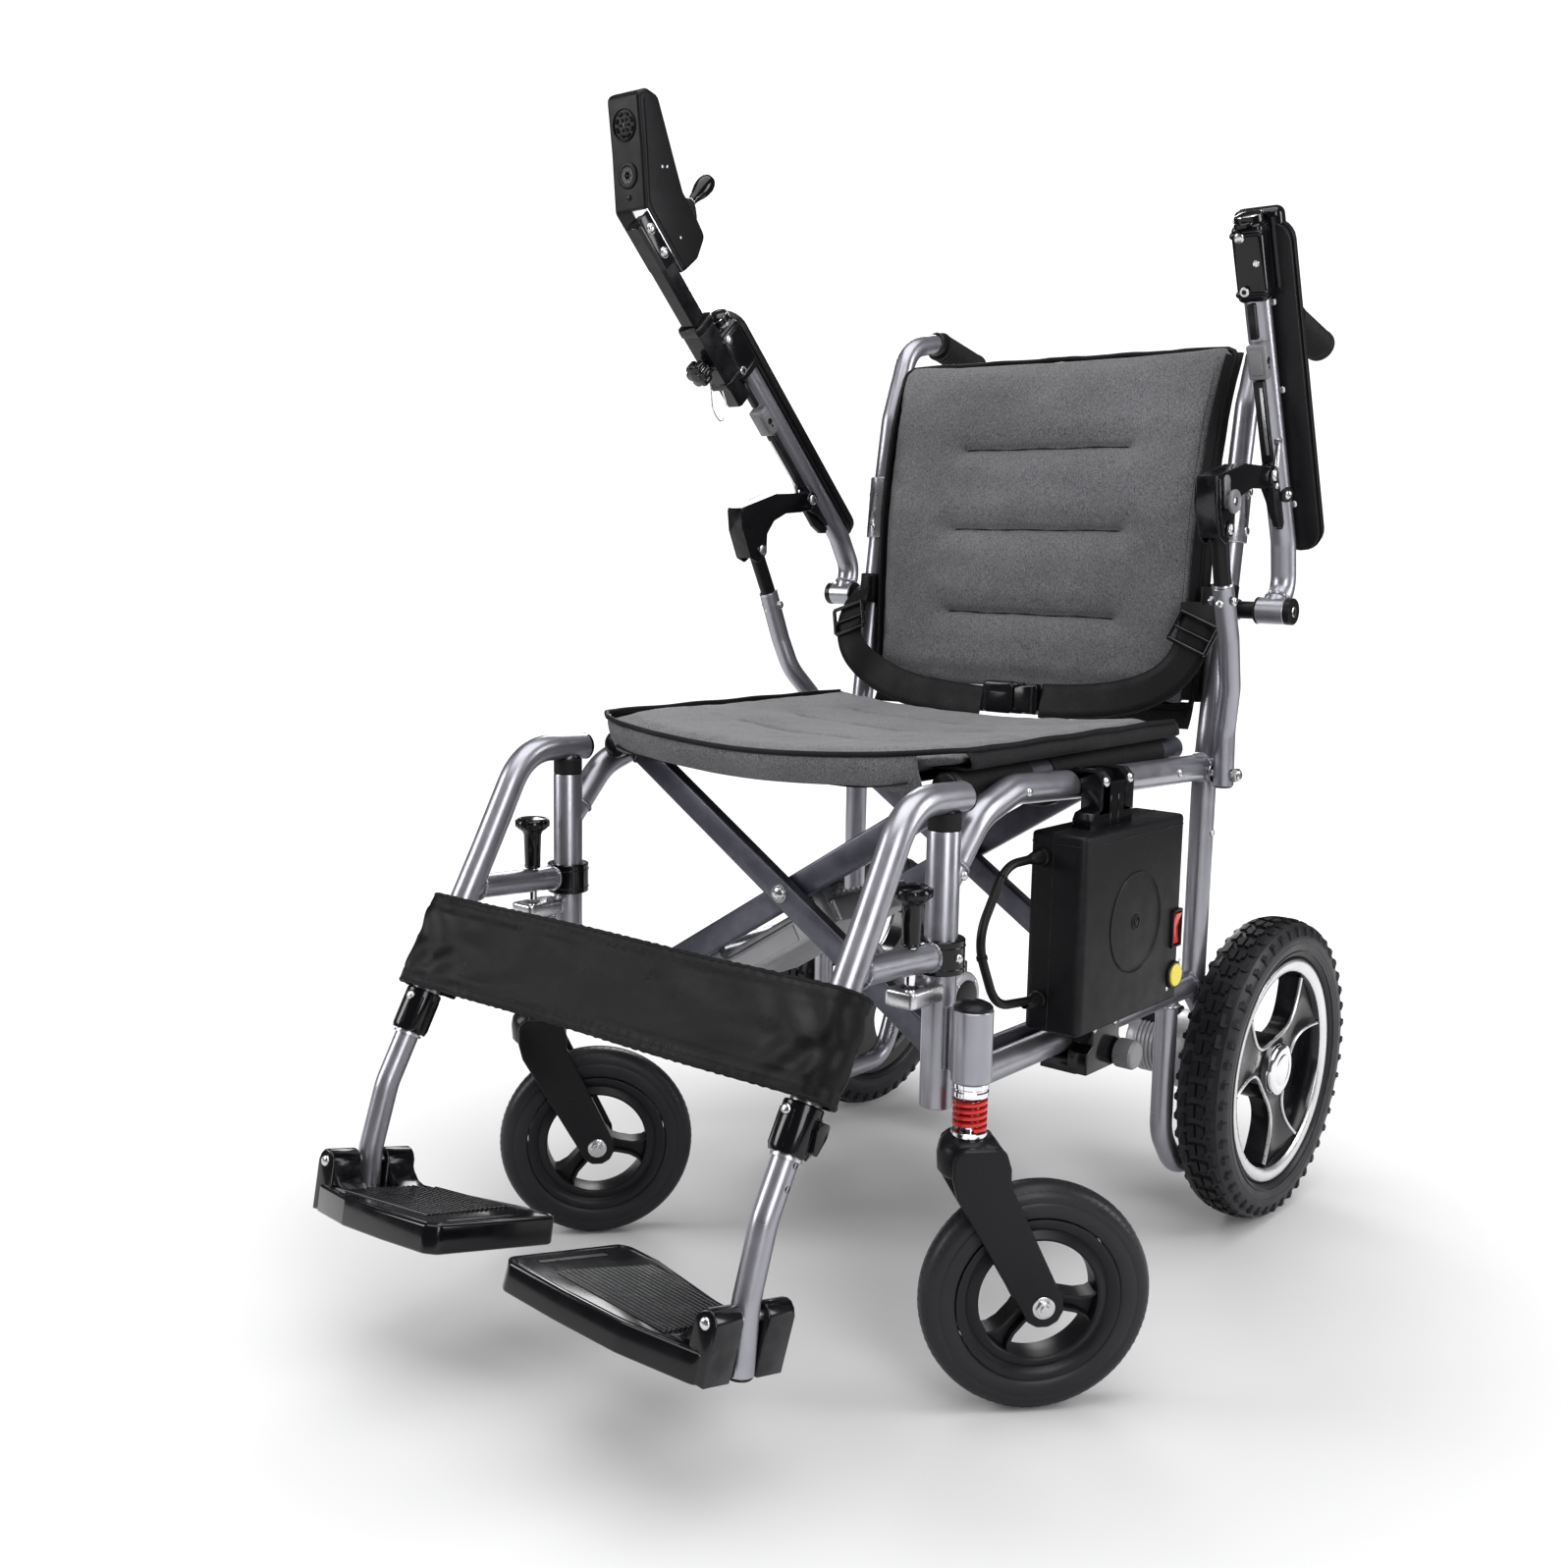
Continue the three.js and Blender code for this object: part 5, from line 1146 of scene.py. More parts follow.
for yy in (262, 276):
    rbox(g, 236, 262, yy, yy + 3, 472, 500, 0.8, 2, 4)
# lower catch
slab(g, [(240, 241), (305, 241), (305, 262), (300, 268), (300, 292), (250, 292), (250, 268), (240, 262)], 240.9, 261.6, "yz", 1.6, 3, 4, corner=2)
slab(g, [(212.4, 262), (212.4, 240.4), (250, 240.4), (250, 254.2), (216, 254.2), (214, 256), (214, 262)], 240.4, 304.6, "xz", 0.6, 2, 4)
for yy in (252, 272, 290):
    screw(g, (261.6, yy, 283), (1, 0, 0), 3.4, 3, 1, 1.8) if yy != 272 else None
piece("battery_pack", g, ["satin", "black", "yellow", "zinc", "gloss"], "frame_left", "battery_case", smooth=35)
g = G()
slab(g, [(273.8, 347.2), (280.2, 347.2), (279.2, 355), (279.0, 362), (280.6, 370), (282.6, 376.8), (273.8, 376.8)], 362.8, 375.2, "xz", 0.7, 3, 0)
piece("rocker_switch", g, ["red"], "power_switch", "battery_switch")
g = G()
lathe(g, (251, 297, 252), (1, 0, 0), [(0, 0), (5, 0), (5, 11.4), (12.4, 11.4), (13.4, 12.6), (13.5, 20), (13.5, 28.6), (12.2, 30.6), (10.4, 31), (0, 31)], 60, 0)
for k in range(30):
    a = 2 * math.pi * k / 30
    rod(g, (264, 297 + 13.3 * math.cos(a), 252 + 13.3 * math.sin(a)), (279.6, 297 + 13.3 * math.cos(a), 252 + 13.3 * math.sin(a)), 0.62, 8, 0, 0.2)
lathe(g, (281.9, 297, 252), (1, 0, 0), [(0, 0.3), (9.6, 0.3), (9.9, 0)], 50, 0)
piece("catch_knob", g, ["grey"], "battery_latch", "battery_latch_knob")
# lead: one bent cable with moulded ends
g = G()
lead = rounded([(236, 189.6, 450), (236, 130, 450), (238, 86, 392), (238, 118, 328), (238, 189.6, 320)], 40, 16)
tube(g, lead, 4, 20, 0, caps=False)
for (p, d) in (((236, 189.8, 450), (0, -1, 0)), ((238, 189.8, 320), (0, -1, 0))):
    lathe(g, p, d, [(8.5, 0), (8.5, 3), (7.0, 4), (6.6, 10), (6.0, 11), (6.0, 13), (5.4, 14), (5.4, 16), (4.6, 17), (4.0, 24)], 26, 0)
for k in (0.25, 0.62):
    i = int(k * (len(lead) - 1)); p = lead[i]; t = (lead[i + 1] - lead[i - 1]).normalized()
    lathe(g, p - t * 1.6, t, [(4.0, 0), (4.9, 0.2), (4.9, 3.0), (4.0, 3.2)], 22, 0)
piece("battery_cable", g, ["cable"], "frame_left", "battery_lead", smooth=50)

# ================================================================== FOOTREST HANGERS
SL = Vector((0, -0.4966, -0.868))
for side, s in SIDES:
    X, PX = s * 229, s * 227
    g = G()
    FR, ZN, BK, DK, SV, BU = 0, 1, 2, 3, 4, 5
    main = rounded([(X, 72, 515.5), (X, -6, 519), (X, -58, 424), (X, -140, 281)], 58, 16)
    tube(g, main, 13, 36, FR)
    tube(g, [(X, -74, 392), (X, 30, 386.5)], 11.5, 30, FR, caps=False)
    # domed cap on the hanger's rear end
    lathe(g, (X, 71.5, 515.6), (0, 1, -0.045), [(12.6, 0), (13.3, 0.4), (13.3, 2.0), (11.5, 4.0), (6, 5.4), (0, 5.8)], 36, BK)
    # clamp collar around the front post, with two raised rings and its bolt
    lathe(g, (PX, 48.5, 371), (0, 0, 1), [(14.9, 0), (19.6, 0), (20.5, 0.9), (20.5, 28.1), (19.6, 29), (14.9, 29), (14.9, 0)], 56, BK)
    for zz in (376.0, 394.0):
        ring(g, (PX, 48.5, zz), (0, 0, 1), 20.5, 0.55, 64, 6, BK)
    screw(g, (PX + s * 20.3, 46, 385.5), (s, -0.12, 0), 4.3, ZN, DK, 2.4)
    ring(g, (X, 29.2, 386.6), (0, 1, -0.05), 11.7, 1.8, 54, 8, FR, 0.16, 24)
    ring(g, (X, -64.5, 391.5), (0, 0.97, -0.24), 12.2, 1.9, 54, 8, FR, 0.16, 24)
    # swivel pin and its bushing below the bend
    rod(g, (PX, 48.5, 470), (PX, 48.5, 512), 9, 28, ZN)
    lathe(g, (PX, 48.5, 490.6), (0, 0, 1), [(9, 0), (13.4, 0), (14, 0.7), (14, 13.7), (13.4, 14.4), (9, 14.4)], 40, BU)
    lathe(g, (PX, 48.5, 487.2), (0, 0, 1), [(9, 0), (13.6, 0), (13.8, 0.5), (13.6, 2.6), (9, 2.6)], 40, BU)
    # black moulded sleeve with ribs, a screw and its clamp lever
    a = Vector((X, -130.2, 299.5)); L = (Vector((X, -148.5, 267.5)) - a).length
    lathe(g, a - SL * 2.5, SL, [(13.1, 0), (15.6, 0), (16.5, 1.2), (16.5, L - 1.0), (15.4, L + 2.5), (11.6, L + 2.5), (11.6, L - 6)], 48, BK)
    bx, by, bz = basis(SL, (1, 0, 0))
    for k in range(10):
        an = math.radians(36 * k)
        d = bx * math.cos(an) + by * math.sin(an)
        tube(g, [a + d * 16.3 + SL * 4, a + d * 16.3 + SL * (L - 4)], 0.75, 8, BK, chamfer=0.2)
    fwd = Vector((0, -0.868, 0.4966))
    screw(g, a + fwd * 16.0 + SL * 5.5 + Vector((-s * 2.5, 0, 0)), fwd, 4.6, ZN, DK, 2.8)
    lever_o = a + Vector((s * 15.5, 0, 0)) + SL * 8 - fwd * 6
    mt = Matrix.Translation(lever_o) @ Matrix((( s * 1.0, 0, 0, 0), (0, fwd.y, SL.y, 0), (0, fwd.z, SL.z, 0), (0, 0, 0, 1)))
    slab(g, [(-7, -2), (6, -2), (7, 6), (3, 22), (-3, 24), (-8, 8)], 0, 5, "yz", 1.0, 2, BK, mt, corner=2)
    # inner insert seen at the sleeve's mouth
    lathe(g, a + SL * (L + 1.0), SL, [(11.2, 0), (13.0, 0), (13.0, 2.2), (11.2, 2.2)], 40, SV)
    piece(f"hanger_{side}", g, ["frame", "zinc", "gloss", "black", "silver", "rubber"], f"hanger_{side}", f"footrest_hanger_{side}")

    # release knob: turned knob on a bright pin with a coil below it
    g = G()
    lathe(g, (X, 3.5, 368), (0, 0, 1), [(0, 0), (3.6, 0), (4.4, 0.8), (4.4, 32.4), (0, 32.4)], 26, 1)
    lathe(g, (X, 3.5, 400.3), (0, 0, 1), [(4.3, 0), (6.9, 0), (7.5, 0.7), (8.1, 20), (8.6, 33.5), (10.5, 37.0), (14.2, 39.5), (16.3, 42.4), (16.5, 45), (15.6, 47.6), (13.6, 49.4), (12.8, 49.6), (12.2, 49.0), (6, 50.4), (0, 50.8)], 44, 0)
    for k in range(18):
        an = math.radians(20 * k)
        c = Vector((X + 15.9 * math.cos(an), 3.5 + 15.9 * math.sin(an), 444.9))
        lathe(g, c - Vector((0, 0, 3)), (0, 0, 1), [(0, -0.4), (0.9, 0), (1.1, 3), (0.9, 6), (0, 6.4)], 8, 0)
    ring(g, (X, 3.5, 402.3), (0, 0, 1), 7.3, 0.8, 36, 8, 0)
    piece(f"release_knob_{side}", g, ["gloss", "chrome"], f"hanger_release_{side}", f"hanger_release_{side}")

    # leg tube with adjusting holes at the back
    g = G()
    path = rounded([(X, -113.7, 328.3), (X, -173.3, 224.1), (X, -193, 165), (X, -198.5, 112)], 70, 14)
    tube(g, path, 11, 34, 0)
    lathe(g, (X, -198.6, 111.6), (0, -0.1, -0.995), [(9.2, -0.4), (10.2, -0.2), (10.4, 0.4), (9.6, 1.6), (0, 2.0)], 32, 1)
    for k in range(3):
        c = Vector((X, -150.5 - 7.5 * k * 0 , 0))
    # painted shade: each adjusting hole is a small black disc on the tube's surface
    for k in range(3):
        t = 58 + 18 * k
        c = Vector((X, -113.7, 328.3)) + SL * t
        lathe(g, c + Vector((s * 10.9, 0, 0)), (s, 0, 0), [(0, 0.05), (2.2, 0.05), (2.6, 0.15), (2.6, -0.6)], 20, 1)
    piece(f"leg_tube_bent_{side}", g, ["frame", "black"], f"leg_tube_{side}", f"leg_tube_{side}")

    # footplate
    PM = Matrix.Translation(Vector((s * 231, -194.5, 156.5))) @ Matrix.Rotation(math.radians(-14), 4, "X") @ Matrix.Rotation(math.radians(s * 5), 4, "Y")
    out = [(5, 47), (-60, 66), (-120, 72), (-178, 74), (-188, 66), (-190, -58), (-182, -66), (-150, -68), (-60, -50), (5, -44)]
    poly = [(s * x, -v) for x, v in out]
    if s > 0:
        poly = poly[::-1]
    g = G()
    slab(g, poly, -45, -21.0, "xy", 2.6, 4, 0, PM, corner=9)
    # lip around the top, standing a little proud
    P2 = [Vector((x, y, -21.0)) for x, y in poly]
    cx = sum((p.x for p in P2)) / len(P2); cy = sum((p.y for p in P2)) / len(P2)
    rim = [Vector((cx + (p.x - cx) * 0.955, cy + (p.y - cy) * 0.93, -21.1)) for p in P2]
    rim2 = []
    n = len(rim)
    for i in range(n):
        a0 = rim[i - 1]; a1 = rim[i]; a2 = rim[(i + 1) % n]
        d1 = (a0 - a1); d2 = (a2 - a1)
        t = min(9, d1.length * .4, d2.length * .4)
        p0 = a1 + d1.normalized() * t; p2 = a1 + d2.normalized() * t
        for k in range(5):
            f = k / 4
            rim2.append(p0 * (1 - f) ** 2 + a1 * 2 * f * (1 - f) + p2 * f * f)
    rim2.append(rim2[0])
    tube(g, [PM @ p for p in rim2], 0.75, 8, 0, caps=False)
    # ribs, running from the hinge towards the tip; the field is a slanted block
    m_ = 17
    for k in range(m_):
        v = -44 + k * 5.6
        x0 = -34 - 0.05 * (v + 44); x1 = -150 + 0.10 * (44 - v)
        lo, hi = (-34 - (0 if v > -30 else 12), x1)
        a0 = Vector((s * lo, -v, -21.0)); b0 = Vector((s * hi, -v - (0.035 * (v)) , -21.0))
        tube(g, [PM @ (a0 + Vector((0, 0, 0.35))), PM @ (b0 + Vector((0, 0, 0.35)))], 1.75, 12, 0, chamfer=0.7)
        # painted shade: a thin strip in the matte black finish beside each rib stands in for the shadow of the gap next
        # to it
        q = [a0 + Vector((0, 1.6, 0.12)), b0 + Vector((0, 1.6, 0.12)), b0 + Vector((0, 3.6, 0.12)), a0 + Vector((0, 3.6, 0.12))]
        if s > 0:
            q = q[::-1]
        chip(g, [PM @ p for p in q], 0.2, 3)
    # slot across the tip, drawn as a thin black inlay just proud of the plate as painted shade of the opening
    sl_ = [(s * -171.5, -y) for y in (-26, 44)]
    st = []
    for (c0, a0) in (((s * -171.5, -46.0), -math.pi / 2), ((s * -171.5, 24.0), math.pi / 2)):
        for k in range(9):
            an = a0 - math.pi / 2 + math.pi * k / 8
            st.append((c0[0] + 3.0 * math.cos(an), c0[1] + 3.0 * math.sin(an)))
    slab(g, st, -22.5, -20.85, "xy", 0.0, 1, 3, PM)
    ringp = [PM @ Vector((x, y, -21.0)) for x, y in st] + [PM @ Vector((st[0][0], st[0][1], -21.0))]
    tube(g, ringp, 0.5, 6, 0, caps=False)
    # ears with a boss and the hinge screw
    ear = [(-11, -44), (-11, 0), (-8.6, 5.6), (-4.5, 9.4), (0, 10.5), (4.5, 9.4), (8.6, 5.6), (11, 0), (11, -44)]
    earp = ear[::-1]
    for (ya, yb) in ((-46, -14.5), (14.5, 46)):
        slab(g, earp, ya, yb, "xz", 1.8, 3, 0, PM)
    # fillets from ear to plate on the inner side
    for (ya, yb) in ((-44, -16.5), (16.5, 44)):
        fil = [(s * -10.5, -2), (s * -14.5, -10), (s * -22, -17.5), (s * -34, -21.5), (s * -34, -24), (s * -10.5, -24)]
        if s < 0:
            fil = fil[::-1]
        slab(g, fil, ya, yb, "xz", 0.6, 2, 0, PM)
    rod(g, PM @ Vector((0, -44, 0)), PM @ Vector((0, 44, 0)), 5, 24, 1)
    screw(g, PM @ Vector((0, -45.9, 0)), PM.to_3x3() @ Vector((0, -1, 0)), 5.0, 1, 3, 2.6)
    hexnut(g, PM @ Vector((0, 45.9, 0)), PM.to_3x3() @ Vector((0, 1, 0)), 5.6, 3.4, 1)
    piece(f"footplate_moulded_{side}", g, ["gloss", "zinc", "black", "black"], f"footplate_{side}", f"footplate_{side}")

# ================================================================== CALF STRAP
def strap():
    O = Vector((0, -106.5, 341.5)); ZU = Vector((0, 0.4966, 0.868)); YO = Vector((0, -0.868, 0.4966))
    H = 42.0
    # centre line of the sleeve in (x, y): rear flap, round the tube, front, round, rear flap
    path = []
    for k in range(5):
        path.append((206 + 30 * k / 4, -16.8))
    for k in range(1, 16):
        an = -math.pi / 2 + math.pi * k / 16
        path.append((236.5 + 17.6 * math.cos(an), 2.0 + 18.8 * math.sin(an)))
    nf = 150
    for k in range(nf + 1):
        path.append((236.5 - 473 * k / nf, 20.8))
    for k in range(1, 16):
        an = math.pi / 2 + math.pi * k / 16
        path.append((-236.5 + 17.6 * math.cos(an), 2.0 + 18.8 * math.sin(an)))
    for k in range(5):
        path.append((-236 + 30 * k / 4, -16.8))
    n = len(path)
    m = 30
    g = G()
    rnd = random.Random(5)
    S = [0]
    for i in range(1, n):
        S.append(S[-1] + math.hypot(path[i][0] - path[i - 1][0], path[i][1] - path[i - 1][1]))
    def nrm(i):
        a = path[max(0, i - 1)]; b = path[min(n - 1, i + 1)]
        tx, ty = b[0] - a[0], b[1] - a[1]
        l = math.hypot(tx, ty)
        return (ty / l, -tx / l)
    outer, inner = [], []
    for i in range(n):
        nx, ny = nrm(i)
        ro, ri = [], []
        for j in range(m + 1):
            z = -H + 2 * H * j / m
            e = 1 - abs(z) / H                      # 0 at the edges
            # soft pulls that fan from the corners, long shallow sag across the middle
            x = path[i][0]
            near = max(0.0, 1 - (250 - abs(x)) / 85) if abs(x) < 250 else 1.0
            w = 1.5 * near * math.sin(0.115 * (abs(x) * 1.3 + (z if x * z > 0 else -z) * 1.1)) * min(1, e * 2.2)
            w += 0.75 * noise.noise(Vector((S[i] * 0.018, z * 0.055, 2.1))) * 2 * min(1, e * 2.5)
            w += 0.28 * math.sin(S[i] * 0.55 + 1.7 * math.sin(S[i] * 0.06)) * max(0, 1 - e / 0.34)       # puckers at the bound edge
            w += 0.35 * math.sin(S[i] * 0.012 + 0.6) * (1 - (z / H) ** 2) * 3
            fl = 0.9 * math.exp(-((abs(z) - (H - 10.5)) / 1.1) ** 2)      # groove of the seam line
            d = 1.25 + max(-0.9, min(2.2, w)) - fl
            zz = z + 0.5 * math.sin(S[i] * 0.021) * (abs(z) / H)
            bx_, by_ = path[i]
            ro.append(O + Vector((bx_ + nx * -d if False else bx_ + (-nx) * -d, 0, 0)) + YO * (by_ + ny * d) + ZU * zz)
            ri.append(O + Vector((bx_ - nx * 1.2, 0, 0)) + YO * (by_ - ny * 1.2) + ZU * zz)
        outer.append(ro); inner.append(ri)
    V, Fc = [], []
    for i in range(n):
        V += outer[i]
    off = len(V)
    for i in range(n):
        V += inner[i]
    w_ = m + 1
    for i in range(n - 1):
        for j in range(m):
            Fc.append((i * w_ + j, i * w_ + j + 1, (i + 1) * w_ + j + 1, (i + 1) * w_ + j))
            Fc.append((off + i * w_ + j, off + (i + 1) * w_ + j, off + (i + 1) * w_ + j + 1, off + i * w_ + j + 1))
        Fc.append((i * w_, (i + 1) * w_, off + (i + 1) * w_, off + i * w_))
        Fc.append((i * w_ + m, off + i * w_ + m, off + (i + 1) * w_ + m, (i + 1) * w_ + m))
    for j in range(m):
        Fc.append((j, off + j, off + j + 1, j + 1))
        b_ = (n - 1) * w_
        Fc.append((b_ + j, b_ + j + 1, off + b_ + j + 1, off + b_ + j))
    g.add(V, Fc, 0)
    # bound edges: a rolled tape along the top and the bottom, slightly scalloped
    for sg, j in ((1, m), (-1, 0)):
        pts = []
        for i in range(0, n):
            p = (outer[i][j] + inner[i][j]) * 0.5 + ZU * (sg * 0.3)
            p = p + ZU * (0.3 * math.sin(S[i] * 0.55)) 
            pts.append(p)
        tube(g, pts, 2.1, 10, 1, rfn=lambda t: 2.0 + 0.22 * math.sin(t * 420))
    # stitches beside the binding
    for zz in (H - 6.2, -H + 6.2):
        for i in range(24, n - 26):
            if i % 1 == 0:
                nx, ny = nrm(i)
                if abs(path[i][0]) > 236:
                    continue
                k = int(round((zz + H) / (2 * H) * m))
                p = outer[i][k] + YO * 0.15
                chip(g, [p + Vector((-1.0, 0, 0)) + ZU * 0.3, p + Vector((1.0, 0, 0)) + ZU * 0.3, p + Vector((1.0, 0, 0)) - ZU * 0.3, p + Vector((-1.0, 0, 0)) - ZU * 0.3], 0.3, 1)
    ob = piece("calf_sleeve", g, ["nylon", "binding"], "hanger_left", "calf_strap", smooth=70)
    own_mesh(ob)
    return ob


STRAP = strap()

# ================================================================== ARMS
BETA = {"left": 67.6, "right": 46.0}
ELB = {"left": ((515.8, 795.6), -3.0), "right": ((468.9, 772.1), 0.0)}
for side, s in SIDES:
    AM = Matrix.Translation(Vector((0, 554, 661))) @ Matrix.Rotation(math.radians(-BETA[side]), 4, "X")
    A3 = AM.to_3x3()
    def A(x, u, v, AM=AM):
        return AM @ Vector((x, -u, v))
    def D(x, u, v, A3=A3):
        return A3 @ Vector((x, -u, v))
    X = s * 278
    BR = f"arm_{side}"
    g = G()
    FR, ZN, BK, SV, GY, MB = 0, 1, 2, 3, 4, 5
    tp = rounded([(0, 0, 0), (0, 14, 28), (0, 60, 39), (0, 386, 39)], 40, 12)
    tube(g, [A(X, p.y, p.z) for p in tp], 12.5, 36, FR)
    # pivot tube across, with weld bead, black washers and end screw
    xa, xb = s * 262.6, s * 292
    lathe(g, A(xa, 0, 0), (s, 0, 0), [(6.4, 0), (13.0, 0), (13.5, 0.6), (13.5, 28.8), (13.0, 29.4), (6.4, 29.4), (6.4, 0)], 44, FR)
    wd = D(0, 14, 28).normalized()
    ring(g, A(X, 4.6, 9.2) + wd * 4.2, wd, 12.4, 1.9, 60, 8, FR, 0.2, 22)
    lathe(g, A(s * 292.0, 0, 0), (s, 0, 0), [(6.2, 0), (12.8, 0), (13.6, 0.8), (13.6, 6.6), (12.6, 7.6), (7.8, 7.6), (7.2, 6.2), (0, 6.2)], 44, BK)
    screw(g, A(s * 298.0, 0, 0), (s, 0, 0), 5.4, ZN, MB, 2.0, "hex")
    lathe(g, A(s * 260.4, 0, 0), (s, 0, 0), [(6.4, 0), (13.4, 0), (13.9, 0.5), (13.9, 1.8), (13.4, 2.3), (6.4, 2.3)], 40, BK)
    # lug that carries the elbow pin
    lx0, lx1 = s * 272.3, s * 277.7
    lug = [(-88, 26), (-88, 31), (-150, 31), (-150, 26), (-146, 13), (-140, 8.4), (-132, 10), (-110, 20)]
    slab(g, lug, min(lx0, lx1), max(lx0, lx1), "yz", 0.9, 2, BK, AM, corner=3)
    # grey slider block with its oval hole, drawn as black discs on its faces as painted shade of the opening
    bx = X + (s * 2 if s > 0 else 0)
    rbox(g, bx - 9.6, bx + 9.6, -268, -234, 17.5, 31.5, 2.2, 3, GY, AM)
    rbox(g, bx - 6.5, bx + 6.5, -263, -239, 15.6, 19.0, 1.6, 2, GY, AM)
    for sg in (1, -1):
        lathe(g, A(bx + sg * 9.65, 251, 24.2), (sg, 0, 0), [(0, 0.02), (2.4, 0.02), (3.1, 0.35), (3.6, 0.1), (3.6, -0.5)], 24, MB)
        lathe(g, A(bx + sg * 9.65, 244.5, 24.2), (sg, 0, 0), [(0, 0.02), (1.3, 0.02), (1.6, 0.1), (1.6, -0.5)], 16, MB)
    # rail strip under the tube, with its bright inner edge
    rbox(g, X - 5.5, X + 5.5, -232, -150, 20.5, 27.5, 1.4, 2, BK, AM)
    rbox(g, X - 4.0, X + 4.0, -306, -272, 22.0, 28.0, 1.4, 2, BK, AM)
    rbox(g, X + 2.2 * s - 1.4, X + 2.2 * s + 1.4, -226, -158, 19.6, 21.2, 0.5, 2, SV, AM)
    # round black boss with a screw near the root of the tube
    cu = 112 if s > 0 else 121
    lathe(g, A(X, cu, 39) + D(s, 0, -0.45).normalized() * 11.6, D(s, 0, -0.45), [(0, 2.4), (6.6, 2.4), (7.6, 1.4), (7.9, 0), (7.9, -1.5)], 32, BK)
    screw(g, A(X, cu, 39) + D(s, 0, -0.45).normalized() * 13.8, D(s, 0, -0.45), 4.6, ZN, MB, 2.4)
    # black latch wedge under the root of the tube
    wedge = [(-78, 24), (-84, 17.5), (-100, 13.0), (-128, 13.5), (-140, 20), (-146, 28), (-140, 29), (-84, 30)]
    slab(g, wedge, min(s * 278.6, s * 285.6), max(s * 278.6, s * 285.6), "yz", 1.6, 3, BK, AM, corner=3)
    screw(g, A(s * 285.5, 126, 21.5), (s, 0, 0), 3.4, ZN, MB, 1.8)
    # little bright link above the elbow pin
    a0 = A(s * 287.0, 144, 22); b0 = A(s * 287.5, 166, 31)
    tube(g, [a0, b0], 2.2, 14, SV)
    lathe(g, A(s * 286.4, 168, 32), (s, 0, 0), [(0, 4.2), (2.6, 4.0), (4.2, 2.8), (4.6, 0), (4.6, -1.5)], 24, ZN)
    piece(f"arm_bent_tube_{side}", g, ["frame", "zinc", "black", "silver", "grey", "black"], BR, f"arm_tube_{side}")

    # ---- pad: moulded foam with a parting line and a base plate
    g = G()
    c = s * 290
    pl = []
    w = 21.6
    for (cu_, a0_) in ((354, 0), (66, 180)):
        for k in range(13):
            an = math.radians(a0_ + -90 + 180 * k / 12)
            pl.append((c + w * math.sin(an) * 1.0, -(cu_ + (21.6 * math.cos(an)))))
    slab(g, pl, 53.2, 68.6, "xy", 6.2, 6, 0, AM)
    base = [((x - c) * 0.965 + c, (y + 210) * 0.993 - 210) for x, y in pl]
    slab(g, base, 50.4, 54.0, "xy", 0.8, 2, 1, AM)
    rp = [AM @ Vector((x, y, 56.4)) for x, y in [((x - c) * 1.004 + c, y) for x, y in pl]]
    tube(g, rp + [rp[0]], 0.7, 8, 0, caps=False)
    for uu in (96, 214, 300):
        screw(g, A(c - s * 2, uu, 50.5), D(0, 0, -1), 3.8, 2, 1, 2.0)
    # two feet of the pad on the tube
    for uu in (96, 214):
        rbox(g, X - 6, X + 12 * s + 0 if False else X + 6, -(uu + 12), -(uu - 12), 47.5, 52.0, 1.2, 2, 1, AM)
    piece(f"arm_pad_foam_{side}", g, ["pad", "black", "zinc"], BR, f"arm_pad_{side}", smooth=50)

    # ---- bracket that grips the end of the tube and carries the pad
    g = G()
    if s > 0:
        x0, x1, u0, u1, v0, v1 = X - 14.5, X + 16, 306, 379, 24.6, 51.6
    else:
        x0, x1, u0, u1, v0, v1 = X - 16, X + 16, 312, 375, 14, 51.6
    rbox(g, x0, x1, -u1, -u0, v0, v1, 6.0, 5, 0, AM)
    if s > 0:
        # the moulding runs on round the end of the pad
        rbox(g, X - 24.6, X + 24.6, -387, -306, 49.5, 71.2, 8.5, 6, 0, AM)
        rbox(g, X - 24.9, X + 24.9, -309.4, -307.6, 50, 71.5, 8.5, 5, 0, AM)
    # half-shell seam and the raised clamp band
    for uu in (u0 + 9, u1 - 9):
        rbox(g, x0 - 0.7, x1 + 0.7, -(uu + 3.2), -(uu - 3.2), v0 - 0.7, v1 - 3, 5.4, 4, 0, AM)
    # end plug of the tube, with a bright rim
    lathe(g, A(X, 384, 39), D(0, 1, 0), [(12.6, -6), (13.8, -5), (13.8, 1.2), (12.9, 2.6), (12.2, 2.9), (11.6, 2.4), (6, 4.2), (0, 4.9)], 44, 0)
    ring(g, A(X, 385.6, 39), D(0, 1, 0), 13.3, 0.55, 48, 8, 2)
    lathe(g, A(X - s * 1.0, u1 - 2, 29 if s > 0 else 26), D(0, 1, 0), [(9.4, 0), (9.4, 3.2), (8.6, 4.2), (8.0, 3.8), (4, 5.4), (0, 5.8)], 36, 0)
    if s > 0:
        for (uu, kk, rr) in ((368, "cross", 5.4), (318, "hex", 4.8)):
            screw(g, A(X - 4.5, uu, v0 - 0.4), D(0, 0, -1), rr, 1, 3, 2.6, kk)
        lathe(g, A(X + 9.2, 343, v0 - 0.2), D(0, 0, -1), [(0, 0.3), (2.0, 0.3), (2.8, 0.9), (3.3, 0.5), (3.3, 0)], 20, 1)
    else:
        screw(g, A(x1 - 0.6, 364, 25), (1, 0, 0), 5.2, 1, 3, 2.6)
        screw(g, A(x1 - 0.6, 326, 20), (1, 0, 0), 5.0, 1, 3, 2.6, "hex")
